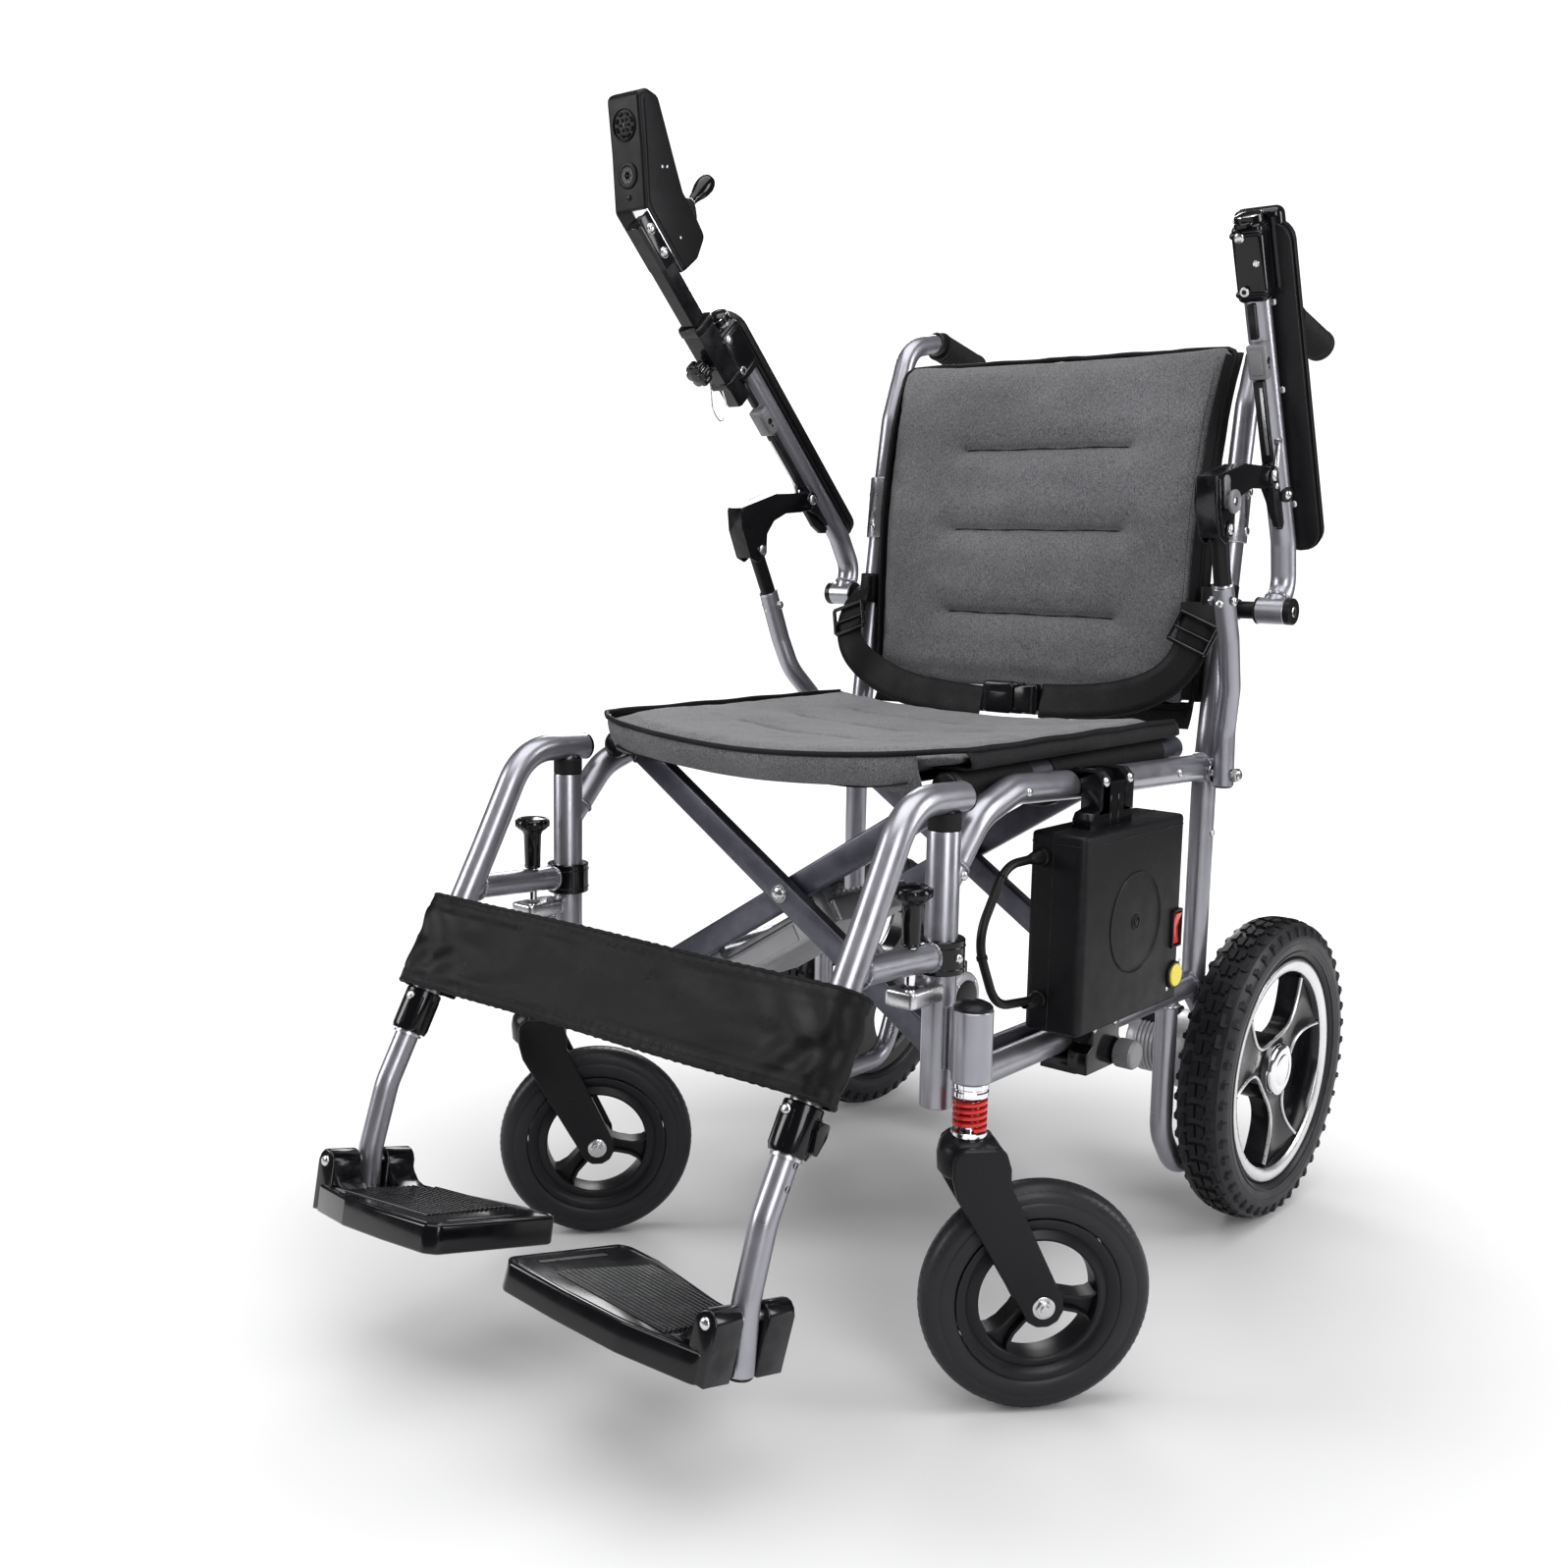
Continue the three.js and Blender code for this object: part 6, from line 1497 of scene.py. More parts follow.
        # guide for the joystick's rod, an octagonal sleeve with a stepped lip
        sl = [(X - 15, -3), (X - 15, 18), (X - 11, 23), (X + 11, 23), (X + 15, 18), (X + 15, -3), (X + 11, -8), (X - 11, -8)]
        slab(g, sl, -400, -324, "xz", 1.2, 3, 0, AM)
        sl2 = [((x - X) * 1.08 + X, (z - 7.5) * 1.06 + 7.5) for x, z in sl]
        slab(g, sl2, -403, -394, "xz", 1.0, 3, 0, AM)
        slab(g, sl2, -330, -322, "xz", 1.0, 3, 0, AM)
        rbox(g, x0 + 2, x1 - 2, -374, -330, 12, 24, 3, 3, 0, AM)
    piece(f"arm_bracket_moulded_{side}", g, ["gloss", "zinc", "chrome", "black"], BR, f"arm_bracket_{side}")

    # ---- elbow
    (py, pz), rot = ELB[side]
    EM = Matrix.Translation(Vector((0, py, pz))) @ Matrix.Rotation(math.radians(rot), 4, "X")
    E3 = EM.to_3x3()
    EBn = f"arm_elbow_{side}"
    g = G()
    Pp = [(-124, -13), (-64, 5), (-20, 7), (2, 8), (7.5, 5.2), (9.5, 0), (7.5, -6), (0, -12), (-19, -15), (-46, -17), (-67, -26), (-79, -41), (-80, -64), (-94, -74), (-107, -69), (-121, -38)]
    a_, b_ = s * 263.1, s * 285.9
    # outer and inner cheeks
    slab(g, Pp, min(s * 283.5, b_), max(s * 283.5, b_), "yz", 1.1, 3, 0, EM, corner=4)
    slab(g, Pp, min(a_, s * 265.6), max(a_, s * 265.6), "yz", 1.1, 3, 0, EM, corner=4)
    # front web, top web and the moulded hood
    web = [(-124, -13), (-119.4, -11.5), (-119.6, -3), (-117, -37), (-104, -65), (-107, -69), (-121, -38)]
    slab(g, [(-123.6, -12.6), (-119.2, -12), (-116.6, -37), (-103.5, -65.5), (-106.8, -68.8), (-120.8, -38)], min(s * 264.6, s * 284.6), max(s * 264.6, s * 284.6), "yz", 1.0, 2, 0, EM)
    slab(g, [(-123.4, -12.8), (-64, 4.8), (-22, 6.8), (-22, 3.4), (-64, 1.2), (-119, -15.5)], min(s * 264.6, s * 284.6), max(s * 264.6, s * 284.6), "yz", 1.2, 3, 0, EM)
    # raised rib following the outer cheek
    rib = [(-119, -14.5), (-112, -42), (-100, -66)]
    tube(g, [EM @ Vector((s * 285.9, y, z)) for y, z in rounded([(y, z, 0) for y, z in rib], 14, 8) for (y, z) in [(y if False else y, z)]] if False else [EM @ Vector((s * 285.9, p.x, p.y)) for p in rounded([(y, z, 0) for y, z in rib], 14, 8)], 1.1, 10, 0)
    # capsule groove in which the button sits
    bt = (-99, -34)
    capsule = []
    for (cy_, cz_, a0_) in ((-99, -34, 180), (-103.5, -12 - 4, 0)):
        for k in range(11):
            an = math.radians(a0_ + 180 * k / 10 - 12)
            capsule.append((cy_ + 6.6 * math.cos(an), cz_ + 6.6 * math.sin(an)))
    slab(g, capsule, min(s * 285.4, s * 287.4), max(s * 285.4, s * 287.4), "yz", 0.9, 3, 2, EM)
    # boss round the elbow pin and its screws on both faces
    for xx, sg in ((s * 285.8, s), (s * 263.2, -s)):
        lathe(g, EM @ Vector((xx, 0, 0)), (sg, 0, 0), [(9.0, -1), (9.0, 0.8), (8.2, 1.6), (0, 1.6)], 34, 0)
        screw(g, EM @ Vector((xx + sg * 1.5, 0, 0)), (sg, 0, 0), 6.2, 1, 3, 2.8)
    rod(g, EM @ Vector((s * 264, 0, 0)), EM @ Vector((s * 285, 0, 0)), 3.6, 18, 1)
    for xx, sg in ((s * 285.8, s), (s * 263.2, -s)):
        lathe(g, EM @ Vector((xx, -89, -59)), (sg, 0, 0), [(8.2, -1), (8.2, 0.9), (7.4, 1.5), (0, 1.5)], 32, 0)
        screw(g, EM @ Vector((xx + sg * 1.4, -89, -59)), (sg, 0, 0), 5.6, 1, 3, 2.6)
    # bright spring plate inside the elbow, between the cheeks
    slab(g, [(-96, -12), (-80, -10), (-70, -22), (-84, -40), (-92, -46), (-98, -30)], min(s * 269.5, s * 279.5), max(s * 269.5, s * 279.5), "yz", 0.8, 2, 4, EM, corner=3)
    piece(f"elbow_moulded_{side}", g, ["gloss", "zinc", "grey", "black", "silver"], EBn, f"arm_elbow_{side}")
    # ---- button
    g = G()
    bc = EM @ Vector((s * 284.2, bt[0], bt[1]))
    lathe(g, bc, (s, 0, 0), [(0, 0), (6.6, 0), (6.6, 6.8), (9.6, 6.8), (11.0, 7.6), (11.5, 9.0), (11.3, 10.4), (10.6, 11.3), (9.4, 11.6), (7.6, 11.0), (0, 11.0)], 44, 0)
    lathe(g, bc + Vector((s * 10.9, 0, 0)), (s, 0, 0), [(0, 0.5), (3.0, 0.5), (4.2, 0.1), (4.4, -0.3)], 26, 1)
    piece(f"button_cap_{side}", g, ["grey", "chrome"], f"elbow_button_{side}", f"elbow_button_{side}")

    # ---- support tube
    g = G()
    raw = [(253.5, 511, 483), (253.5, 508, 540), (263, 494, 585), (271, 467, 636), (274.5, 440, 688), (274.5, 423.5, 746)] if s > 0 else [(253.5, 520, 485), (254, 461, 545), (262, 434, 575), (270, 424, 610), (274.5, 406, 664), (274.5, 379, 717)]
    P_ = [Vector((s * x, y, z)) for x, y, z in raw]
    body_ = rounded(P_[:-1], 60, 12)
    tube(g, body_, 10.5, 32, 0)
    d = (P_[-1] - P_[-2]).normalized()
    rod(g, P_[-2] - d * 4, P_[-1], 8.5, 30, 2)
    lathe(g, P_[-2] - d * 1.0, d, [(8.6, 0), (10.6, 0), (10.8, 0.6), (10.4, 2.2), (8.6, 2.4)], 36, 4)
    dn = (body_[0] - body_[1]).normalized()
    lathe(g, body_[0] - dn * 0.4, dn, [(8.8, 0), (9.6, 0.2), (9.6, 1.2), (8.6, 2.0), (0, 2.2)], 30, 2)
    # cross bolt below the insert
    fp = P_[-2] - d * 16
    n1 = Vector((s, 0, 0)).cross(d).normalized()
    screw(g, fp + Vector((s * 10.2, 0, 0)), (s, 0, 0), 4.8, 1, 3, 3.2)
    hexnut(g, fp - Vector((s * 10.2, 0, 0)), (-s, 0, 0), 5.0, 3.6, 1)
    screw(g, fp - n1 * (10.2 if (n1.y > 0) else -10.2), Vector((0, -1, 0.1)), 4.2, 1, 3, 2.6)
    piece(f"support_bent_{side}", g, ["frame", "zinc", "black", "black", "silver"], f"arm_support_{side}", f"arm_support_{side}")

# ================================================================== JOYSTICK ON THE RIGHT ARM
AM = Matrix.Translation(Vector((0, 554, 661))) @ Matrix.Rotation(math.radians(-46), 4, "X")
A3 = AM.to_3x3()
def A(x, u, v):
    return AM @ Vector((x, -u, v))
def D(x, u, v):
    return A3 @ Vector((x, -u, v))
X = -278
g = G()
rs = [(X - 11, -1), (X - 11, 15), (X - 8, 18), (X + 8, 18), (X + 11, 15), (X + 11, -1), (X + 8, -4), (X - 8, -4)]
slab(g, rs, -528, -295, "xz", 1.2, 3, 0, AM)
# thumb-width bright plate between rod and box, and the two bolts with lock washers
rbox(g, X - 10.4, X + 11.6, -536, -458, 17.6, 20.0, 0.6, 2, 2, AM)
rbox(g, X + 8.6, X + 11.8, -534, -474, 1.0, 17.5, 1.0, 2, 0, AM)
for uu in (518, 489):
    lathe(g, A(X + 11.6, uu, 9), (1, 0, 0), [(0, 1.0), (5.6, 1.0), (6.0, 0.6), (6.0, 0)], 28, 1)
    screw(g, A(X + 12.4, uu, 9), (1, 0, 0), 4.8, 1, 3, 3.2)
    ring(g, A(X + 12.6, uu, 9), (1, 0, 0), 5.2, 0.6, 30, 6, 1)
piece("joystick_rod_bar", g, ["gloss", "zinc", "chrome", "black"], "joystick", "joystick_rod")

g = G()
prof = [(455, 19), (535, 19), (581, 56), (626, 89), (621, 103), (606, 112), (579, 102), (542, 88), (515, 78), (488, 78), (462, 75), (452, 50)]
pp = [(-u, v) for u, v in prof]
slab(g, pp, -315.8, -268.2, "yz", 4.2, 5, 0, AM, corner=10)
# seam between the two half shells
seam = [(457, 27), (536, 27), (577, 61), (617, 92)]
for xx, sg in ((-268.0, 1), (-316.0, -1)):
    tube(g, [A(xx + sg * 0.05, u, v) for u, v in [(q.x, q.y) for q in rounded([(a, b, 0) for a, b in seam], 20, 6)]], 0.55, 8, 1)
# loudspeaker grille, port and screw on the sloping face
fo = Vector((0.6095, -0.7928)); ft = Vector((0.7926, 0.6097))
def face(t, off=0.0, x=-292.0, dx=0.0):
    u = 535 + 114.8 * t * ft.x + fo.x * off
    v = 19 + 114.8 * t * ft.y + fo.y * off
    return A(x + dx, u, v)
nf = D(0, fo.x, fo.y)
tf = D(0, ft.x, ft.y)
gc = face(0.74, 0.1)
ring(g, gc, nf, 15.5, 0.7, 60, 8, 0)
for k in range(8):
    an = math.radians(45 * k + 22)
    c1 = gc + Vector((math.cos(an), 0, 0)) * 11.2 + tf * (11.2 * math.sin(an))
    t1 = (Vector((-math.sin(an), 0, 0)) + tf * math.cos(an))
    tube(g, [c1 - t1 * 2.6, c1 + t1 * 2.6], 1.5, 8, 2, chamfer=0.4)
for k in range(6):
    an = math.radians(60 * k)
    c1 = gc + Vector((math.cos(an), 0, 0)) * 5.6 + tf * (5.6 * math.sin(an))
    t1 = (Vector((math.cos(an), 0, 0)) + tf * math.sin(an))
    tube(g, [c1 - t1 * 1.6, c1 + t1 * 1.6], 1.25, 8, 2, chamfer=0.4)
lathe(g, gc, nf, [(0, 0.1), (1.5, 0.1), (1.5, -0.5)], 14, 2)
pc = face(0.31, 0.0)
lathe(g, pc, nf, [(13.5, -0.6), (13.5, 0.3), (11.4, 1.1), (9.4, 0.8), (9.2, 0.2), (8.8, 0.1), (0, 0.1)], 48, 0)
lathe(g, pc, nf, [(8.7, 0.12), (8.3, 0.5), (7.2, 0.5), (7.0, 0.2), (0, 0.2)], 40, 2)
for k in range(7):
    rr, an = (0, 0) if k == 0 else (4.2, math.radians(60 * k))
    c1 = pc + Vector((math.cos(an), 0, 0)) * rr + tf * (rr * math.sin(an)) + nf * 0.2
    lathe(g, c1, nf, [(1.15, 0), (1.15, 0.5), (0.8, 0.5), (0.75, 0.05), (0, 0.05)], 14, 2)
screw(g, face(0.12, 0.0), nf, 3.0, 1, 2, 1.6)
for (u, v) in ((548, 74), (552, 68), (484, 42)):
    lathe(g, A(-268.2, u, v), (1, 0, 0), [(0, 0.35), (1.4, 0.3), (2.0, 0.0), (2.0, -0.4)], 16, 3)
# panel on top: raised pad with round keys and a small lamp window, no marks
rbox(g, -310, -274, -604, -520, 92, 93, 0.4, 1, 1) if False else None
def top(u):
    # height of the upper surface at u
    pts = [(515, 78), (542, 88), (579, 102), (606, 112)]
    for (a, b), (c, d) in zip(pts, pts[1:]):
        if a <= u <= c:
            return b + (d - b) * (u - a) / (c - a)
    return 78
tn = D(0, -0.36, 0.933)
pan = []
for (u, xx) in ((520, -308), (520, -276), (598, -274), (602, -280), (602, -304), (598, -310)):
    pan.append(A(xx, u, top(u) + 0.6))
g.add(pan, [tuple(range(6))], 2)
for (u, dx_) in ((528, -9), (528, 9), (545, -9), (545, 9), (562, 0)):
    lathe(g, A(-292 + dx_, u, top(u) + 0.3), tn, [(5.6, 0), (5.6, 1.0), (5.0, 1.5), (0, 1.9)], 28, 0)
for k in range(5):
    rbox(g, -2.6, 2.6, -1.0, 1.0, 0, 1.2, 0.3, 2, 3, Matrix.Translation(A(-304 + 6 * k, 584, top(584) + 0.2)) @ A3.to_4x4())
piece("joystick_case", g, ["satin", "black", "black", "zinc"], "joystick", "joystick_box", smooth=40)

# boot: rubber bellows
g = G()
ax = D(0, 0, 1)
o = A(-292, 489, 0)
# two rings of folds: the lower one bends between the box and the gimbal, the upper one between the gimbal and the lever
prof = [(0, 78.6), (18.6, 78.6), (19.2, 79.6), (18.9, 81.2), (17.0, 82.4), (17.6, 84.0), (17.0, 85.6), (14.2, 86.8), (14.6, 88.4), (13.8, 90.2), (0, 90.2)]
lathe(g, o, ax, prof, 48, 0)
bel = piece("joystick_bellows", g, ["rubber"], None, "joystick_boot", smooth=60)
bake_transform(bel)
g = G()
prof = [(0, 89.6), (13.6, 89.6), (13.5, 90.4), (11.2, 91.4), (11.4, 93.2), (10.4, 95.0), (8.0, 96.4), (7.2, 98.6), (6.0, 100.2), (0, 100.2)]
lathe(g, o, ax, prof, 48, 0)
bel = piece("joystick_bellows_top", g, ["rubber"], None, smooth=60)
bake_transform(bel)
g = G()
lathe(g, o, ax, [(0, 100.3), (4.4, 100.3), (5.0, 101), (5.2, 108), (6.0, 112), (7.6, 117), (9.0, 122), (9.9, 128), (10.1, 133), (9.6, 137.4), (8.2, 141), (5.8, 143.6), (3.0, 144.8), (0, 145.1)], 44, 0)
ring(g, o + ax * 101.6, ax, 5.1, 0.7, 30, 8, 1)
piece("joystick_stick", g, ["gloss", "chrome"], "joystick_lever", "joystick_lever", smooth=60)

# star knob of the rod clamp
g = G()
o = A(X, 358, 0)
ax = D(0, 0, -1)
n = 60
V, Fc = [], []
x_, y_, z_ = basis(ax)
lev = [(17.0, 0.84), (17.8, 0.97), (19.0, 1.0), (28.0, 1.0), (29.2, 0.96), (30.0, 0.84)]
for (t, k) in lev:
    for j in range(n):
        an = 2 * math.pi * j / n
        lobe = abs(math.cos(3 * an)) ** 0.6
        rr = (11.0 + 3.6 * lobe) * k
        V.append(o + z_ * t + x_ * (rr * math.cos(an)) + y_ * (rr * math.sin(an)))
for i in range(len(lev) - 1):
    for j in range(n):
        Fc.append((i * n + j, i * n + (j + 1) % n, (i + 1) * n + (j + 1) % n, (i + 1) * n + j))
Fc.append(tuple(reversed(range(n)))); Fc.append(tuple((len(lev) - 1) * n + j for j in range(n)))
g.add(V, Fc, 0)
lathe(g, o, ax, [(0, 8.4), (6.0, 8.4), (6.0, 15.2), (8.2, 15.6), (8.2, 17.2)], 30, 0)
lathe(g, o, ax, [(6.4, 30.0), (6.0, 30.9), (0, 31.2)], 30, 0)
for k in range(6):
    an = math.radians(60 * k + 30)
    d_ = x_ * math.cos(an) + y_ * math.sin(an)
    tube(g, [o + z_ * 18.5 + d_ * 11.2, o + z_ * 28.6 + d_ * 11.2], 0.5, 6, 1)
piece("clamp_star", g, ["gloss", "chrome"], "rod_clamp_knob", "rod_clamp_knob", smooth=45)
# thin tether loop from the clamp to the bracket
g = G()
lp = rounded([A(X + 1, 349, -10.5), A(X + 2, 338, -20), A(X + 3, 318, -36), A(X + 3, 298, -36), A(X + 2, 300, -16), A(X, 322, -6.5)], 22, 12)
tube(g, lp, 0.75, 10, 0)
lathe(g, A(X, 349, -7.9), D(0, 0, -1), [(0, 3.0), (2.4, 2.6), (3.0, 1.6), (3.0, -0.6)], 20, 1)
piece("clamp_tether", g, ["silver", "zinc"], "arm_right")
from mathutils.bvhtree import BVHTree

# ================================================================== SOFT GOODS
def to_mesh(name, g, mats=("fabric",)):
    me = bpy.data.meshes.new(name)
    me.from_pydata([tuple(F(p)) for p in g.v], [], g.f)
    for k in mats:
        me.materials.append(M[k])
    me.update(); me.validate()
    ob = bpy.data.objects.new(name, me)
    bpy.context.scene.collection.objects.link(ob)
    return ob


def bake(ob):
    dg = bpy.context.evaluated_depsgraph_get()
    me = bpy.data.meshes.new_from_object(ob.evaluated_get(dg))
    old = ob.data
    ob.modifiers.clear()
    ob.data = me
    bpy.data.meshes.remove(old)
    return ob


def remesh(ob, voxel):
    r = ob.modifiers.new("re", "REMESH")
    r.mode = "VOXEL"; r.voxel_size = voxel / 1000; r.use_smooth_shade = True
    return bake(ob)


def puff(ob, cap, pressure=4.0, frames_=20, hold=None):
    """inflate as cloth, then limit how far each point may move; hold(p) -> 1 keeps a point still"""
    P0 = [v.co.copy() for v in ob.data.vertices]
    sc = bpy.context.scene
    c = ob.modifiers.new("cloth", "CLOTH")
    st = c.settings
    st.quality = 5
    st.mass = 0.25
    st.tension_stiffness = 12; st.compression_stiffness = 12; st.shear_stiffness = 6; st.bending_stiffness = 0.4
    st.use_pressure = True
    st.uniform_pressure_force = pressure
    st.effector_weights.gravity = 0.0
    c.collision_settings.use_collision = False
    c.collision_settings.use_self_collision = False
    c.point_cache.frame_start = 1; c.point_cache.frame_end = frames_
    for fr_ in range(1, frames_ + 1):
        sc.frame_set(fr_)
    bake(ob)
    sc.frame_set(1)
    lim = cap / 1000
    for v, p in zip(ob.data.vertices, P0):
        d = v.co - p
        if d.length > lim:
            d *= lim / d.length
        if hold is not None:
            d *= 1 - hold(p)
        v.co = p + d
    return ob


def subdivide(ob):
    s = ob.modifiers.new("sub", "SUBSURF")
    s.levels = s.render_levels = 1
    return bake(ob)


def W(co):
    """row frame, m -> working frame, mm"""
    return Vector((co.x * 1000 + OX, co.y * 1000 + OY, co.z * 1000))


def lerp_pts(pts, t):
    for (a, b), (c, d) in zip(pts, pts[1:]):
        if t <= c:
            return b + (d - b) * max(0.0, min(1.0, (t - a) / (c - a)))
    return pts[-1][1]


def finish_soft(ob, name, smooth=60):
    me = ob.data
    me.polygons.foreach_set("use_smooth", [True] * len(me.polygons))
    me.set_sharp_from_angle(angle=math.radians(smooth))
    ob.name = name
    return ob


# ---------------------------------------------------------------- back cushion
BF = [(556, 519.5), (600, 520), (668, 520.5), (715, 521.5), (761, 524.5), (808, 532), (854, 541.5), (895, 556), (934, 573.5)]
def back_y(z):
    return lerp_pts(BF, z)

def back_base():
    g = G()
    nx_, nz_ = 40, 40
    x_lim = lambda z: 203.5 + 6 * (z - 556) / 378
    V, Fc = [], []
    def P(i, j, face):
        x = -1 + 2 * i / nx_
        z = 556.5 + (932.5 - 556.5) * j / nz_
        # corners rounded in the front view
        xl = x_lim(z)
        for zc, sg in ((556.5, 1), (932.5, -1)):
            dz = (z - zc) * sg
            if dz < 10:
                xl -= 10 - math.sqrt(max(0, 10 ** 2 - (10 - dz) ** 2))
        y = back_y(z)
        ex = min(1, (1 - abs(x)) * 9); ez = min(1, min(j, nz_ - j) / 3.2)
        k = math.sqrt(max(0.16, 1 - (1 - min(ex, ez)) ** 2))
        th = 9.0 * k
        mid = y + 12.5
        return Vector((x * xl, mid - th if face == 0 else mid + th * 0.9, z))
    for face in (0, 1):
        for j in range(nz_ + 1):
            for i in range(nx_ + 1):
                V.append(P(i, j, face))
    n = nx_ + 1
    o = n * (nz_ + 1)
    for j in range(nz_):
        for i in range(nx_):
            a = j * n + i
            Fc.append((a, a + 1, a + n + 1, a + n))
            Fc.append((o + a, o + a + n, o + a + n + 1, o + a + 1))
    for i in range(nx_):
        Fc.append((i, o + i, o + i + 1, i + 1))
        a = nz_ * n + i
        Fc.append((a, a + 1, o + a + 1, o + a))
    for j in range(nz_):
        a = j * n
        Fc.append((a, a + n, o + a + n, o + a))
        a = j * n + nx_
        Fc.append((a, o + a, o + a + n, a + n))
    g.add(V, Fc, 0)
    return g

def channel_depth(x, z, chans):
    d = 0.0
    for (xa, xb, zc) in chans:
        cx = max(xa, min(xb, x))
        r = math.hypot((x - cx) * 1.0, z - zc)
        d = max(d, 4.2 * math.exp(-(r / 4.4) ** 2) + 6.4 * math.exp(-(r / 17.0) ** 2))
    return d

BCH = [(-96, 110, 829), (-100, 111, 740), (-104, 108, 647)]
ob = to_mesh("back_pad", back_base())
remesh(ob, 5.0)
puff(ob, 6.0)
subdivide(ob)
for v in ob.data.vertices:
    p = W(v.co)
    y0 = back_y(p.z)
    fr_ = p.y < y0 + 12.5
    edge = min(206 - abs(p.x), p.z - 556, 934 - p.z)
    e = max(0.0, min(1.0, edge / 30))
    w = 1.1 * noise.noise(Vector((p.x * 0.017, p.z * 0.016, 4.0))) * 2 * e
    w += 0.55 * noise.noise(Vector((p.x * 0.05, p.z * 0.045, 9.0))) * 2 * e
    # soft pull lines running out from the ends of the channels
    for (xa, xb, zc) in BCH:
        for xe, sg in ((xa, -1), (xb, 1)):
            dx = (p.x - xe) * sg
            if 0 < dx < 70:
                w -= 1.2 * math.exp(-dx / 26) * math.exp(-((p.z - zc) / (5 + dx * 0.2)) ** 2)
    if fr_:
        p.y += channel_depth(p.x, p.z, BCH) - w
        # seat-side tuck, a shallow crease above the seat
        p.y += 2.0 * math.exp(-((p.z - 578) / 8.0) ** 2) * e
    p.y = max(p.y, y0 - 4.5) if fr_ else min(p.y, y0 + 25.5)
    v.co = F(p)
finish_soft(ob, "back_pad")
bpad = ob
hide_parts("back_cushion_left", "back_cushion_right")
HX = Vector((1, 0, 0))
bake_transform(bpad)

def ribbon_solid(g, pts, w_dir, half, thick, m=0, seg=2, edge_m=None, sag=0.0):
    """closed band along pts; w_dir(i) gives the width direction, half its half width"""
    P = [Vector(p) for p in pts]
    n = len(P)
    V, Fc, Mi = [], [], []
    cross = []
    for i in range(n):
        t = (P[min(n - 1, i + 1)] - P[max(0, i - 1)]).normalized()
        w = w_dir(i) if callable(w_dir) else Vector(w_dir)
        w = (w - t * w.dot(t)).normalized()
        nn = t.cross(w).normalized()
        h = half(i) if callable(half) else half
        ring_ = []
        prof = [(-1, 0), (-0.94, 0.5), (-0.5, 0.56), (0, 0.5), (0.5, 0.56), (0.94, 0.5), (1, 0), (0.94, -0.5), (0, -0.5), (-0.94, -0.5)]
        for (a, b) in prof:
            ring_.append(P[i] + w * (a * h) + nn * (b * thick + sag * (1 - a * a)))
        cross.append(ring_)
    k = len(cross[0])
    for r in cross:
        V += r
    for i in range(n - 1):
        for j in range(k):
            Fc.append((i * k + j, i * k + (j + 1) % k, (i + 1) * k + (j + 1) % k, (i + 1) * k + j))
    Fc.append(tuple(reversed(range(k)))); Fc.append(tuple((n - 1) * k + j for j in range(k)))
    return g.add(V, Fc, m)

# piping and black binding round the back pad, in two halves that follow their own half
def back_outline():
    pts = []
    for j in range(0, 41):
        z = 566 + (921 - 566) * j / 40
        pts.append((204.5 + 5.0 * (z - 556) / 378, back_y(z) + 11.5, z))
    return pts

for side, s in SIDES:
    g = G()
    ol = back_outline()
    xe = ol[-1][0]
    top = [(xe - 3, back_y(926) + 11.0, 925.5), (xe - 10, back_y(928) + 11.5, 928.2), (xe - 30, back_y(929) + 12.0, 929)] + [(xe - 30 - (xe - 30) * k / 12, back_y(929) + 12.0, 929 + 0.5 * math.sin(k * 1.2)) for k in range(1, 13)]
    bot = [(202, back_y(560) + 11.5, 560), (190, back_y(556) + 11.5, 557)] + [(190 - 190 * k / 12, back_y(556) + 11.5, 556.4) for k in range(1, 13)]
    path = [(s * x, y, z) for x, y, z in (bot[::-1] + ol + top)]
    tube(g, path, 3.0, 12, 0, rfn=lambda t: 3.0 + 0.18 * math.sin(t * 700))
    # border band beside the piping
    band = [(s * (x - 3.4), y - 6.4, z) for x, y, z in ol]
    ribbon_solid(g, band, lambda i: Vector((1, 1.1 * s, 0)), 4.6, 1.6, 0)
    topb = [(s * x, y - 7.8, z - 5.5) for x, y, z in top]
    # stitches along the band
    for i in range(0, 118):
        f = i / 117
        z = 572 + 346 * f
        x = 204.5 + 5.0 * (z - 556) / 378 - 13.2
        c = Vector((s * x, back_y(z) + 0.6, z))
        chip(g, [c + Vector((-0.35, 0, -0.9)), c + Vector((0.35, 0, -0.9)), c + Vector((0.35, 0, 0.9)), c + Vector((-0.35, 0, 0.9))], 0.3, 1)
    piece(f"back_binding_{side}", g, ["binding", "webbing"], f"back_{side}", smooth=70)
    # black mesh side that reaches round the upright
    g = G()
    V, Fc = [], []
    nn = 36
    cols = [(205, 11, 0), (209, 14, 0), (212, 17.5, 0), (213, 21, 0), (211, 24, 0), (200, 25.8, 0), (180, 26.0, 0)]
    for j in range(nn + 1):
        z = 564 + (925 - 564) * j / nn
        for (x, dy, _) in cols:
            wv = 0.5 * math.sin(z * 0.09 + x * 0.3)
            V.append(Vector((s * (x + 4.5 * (z - 556) / 378 * 0 + wv * 0.4), back_y(z) + dy + wv * 0.3, z)))
    k = len(cols)
    for j in range(nn):
        for i in range(k - 1):
            a = j * k + i
            Fc.append((a, a + 1, a + k + 1, a + k))
    g.add(V, Fc, 0)
    ob = piece(f"back_side_{side}", g, ["vinyl"], f"back_{side}", smooth=80)
    sd = ob.modifiers.new("th", "SOLIDIFY"); sd.thickness = 0.0012; sd.offset = -1

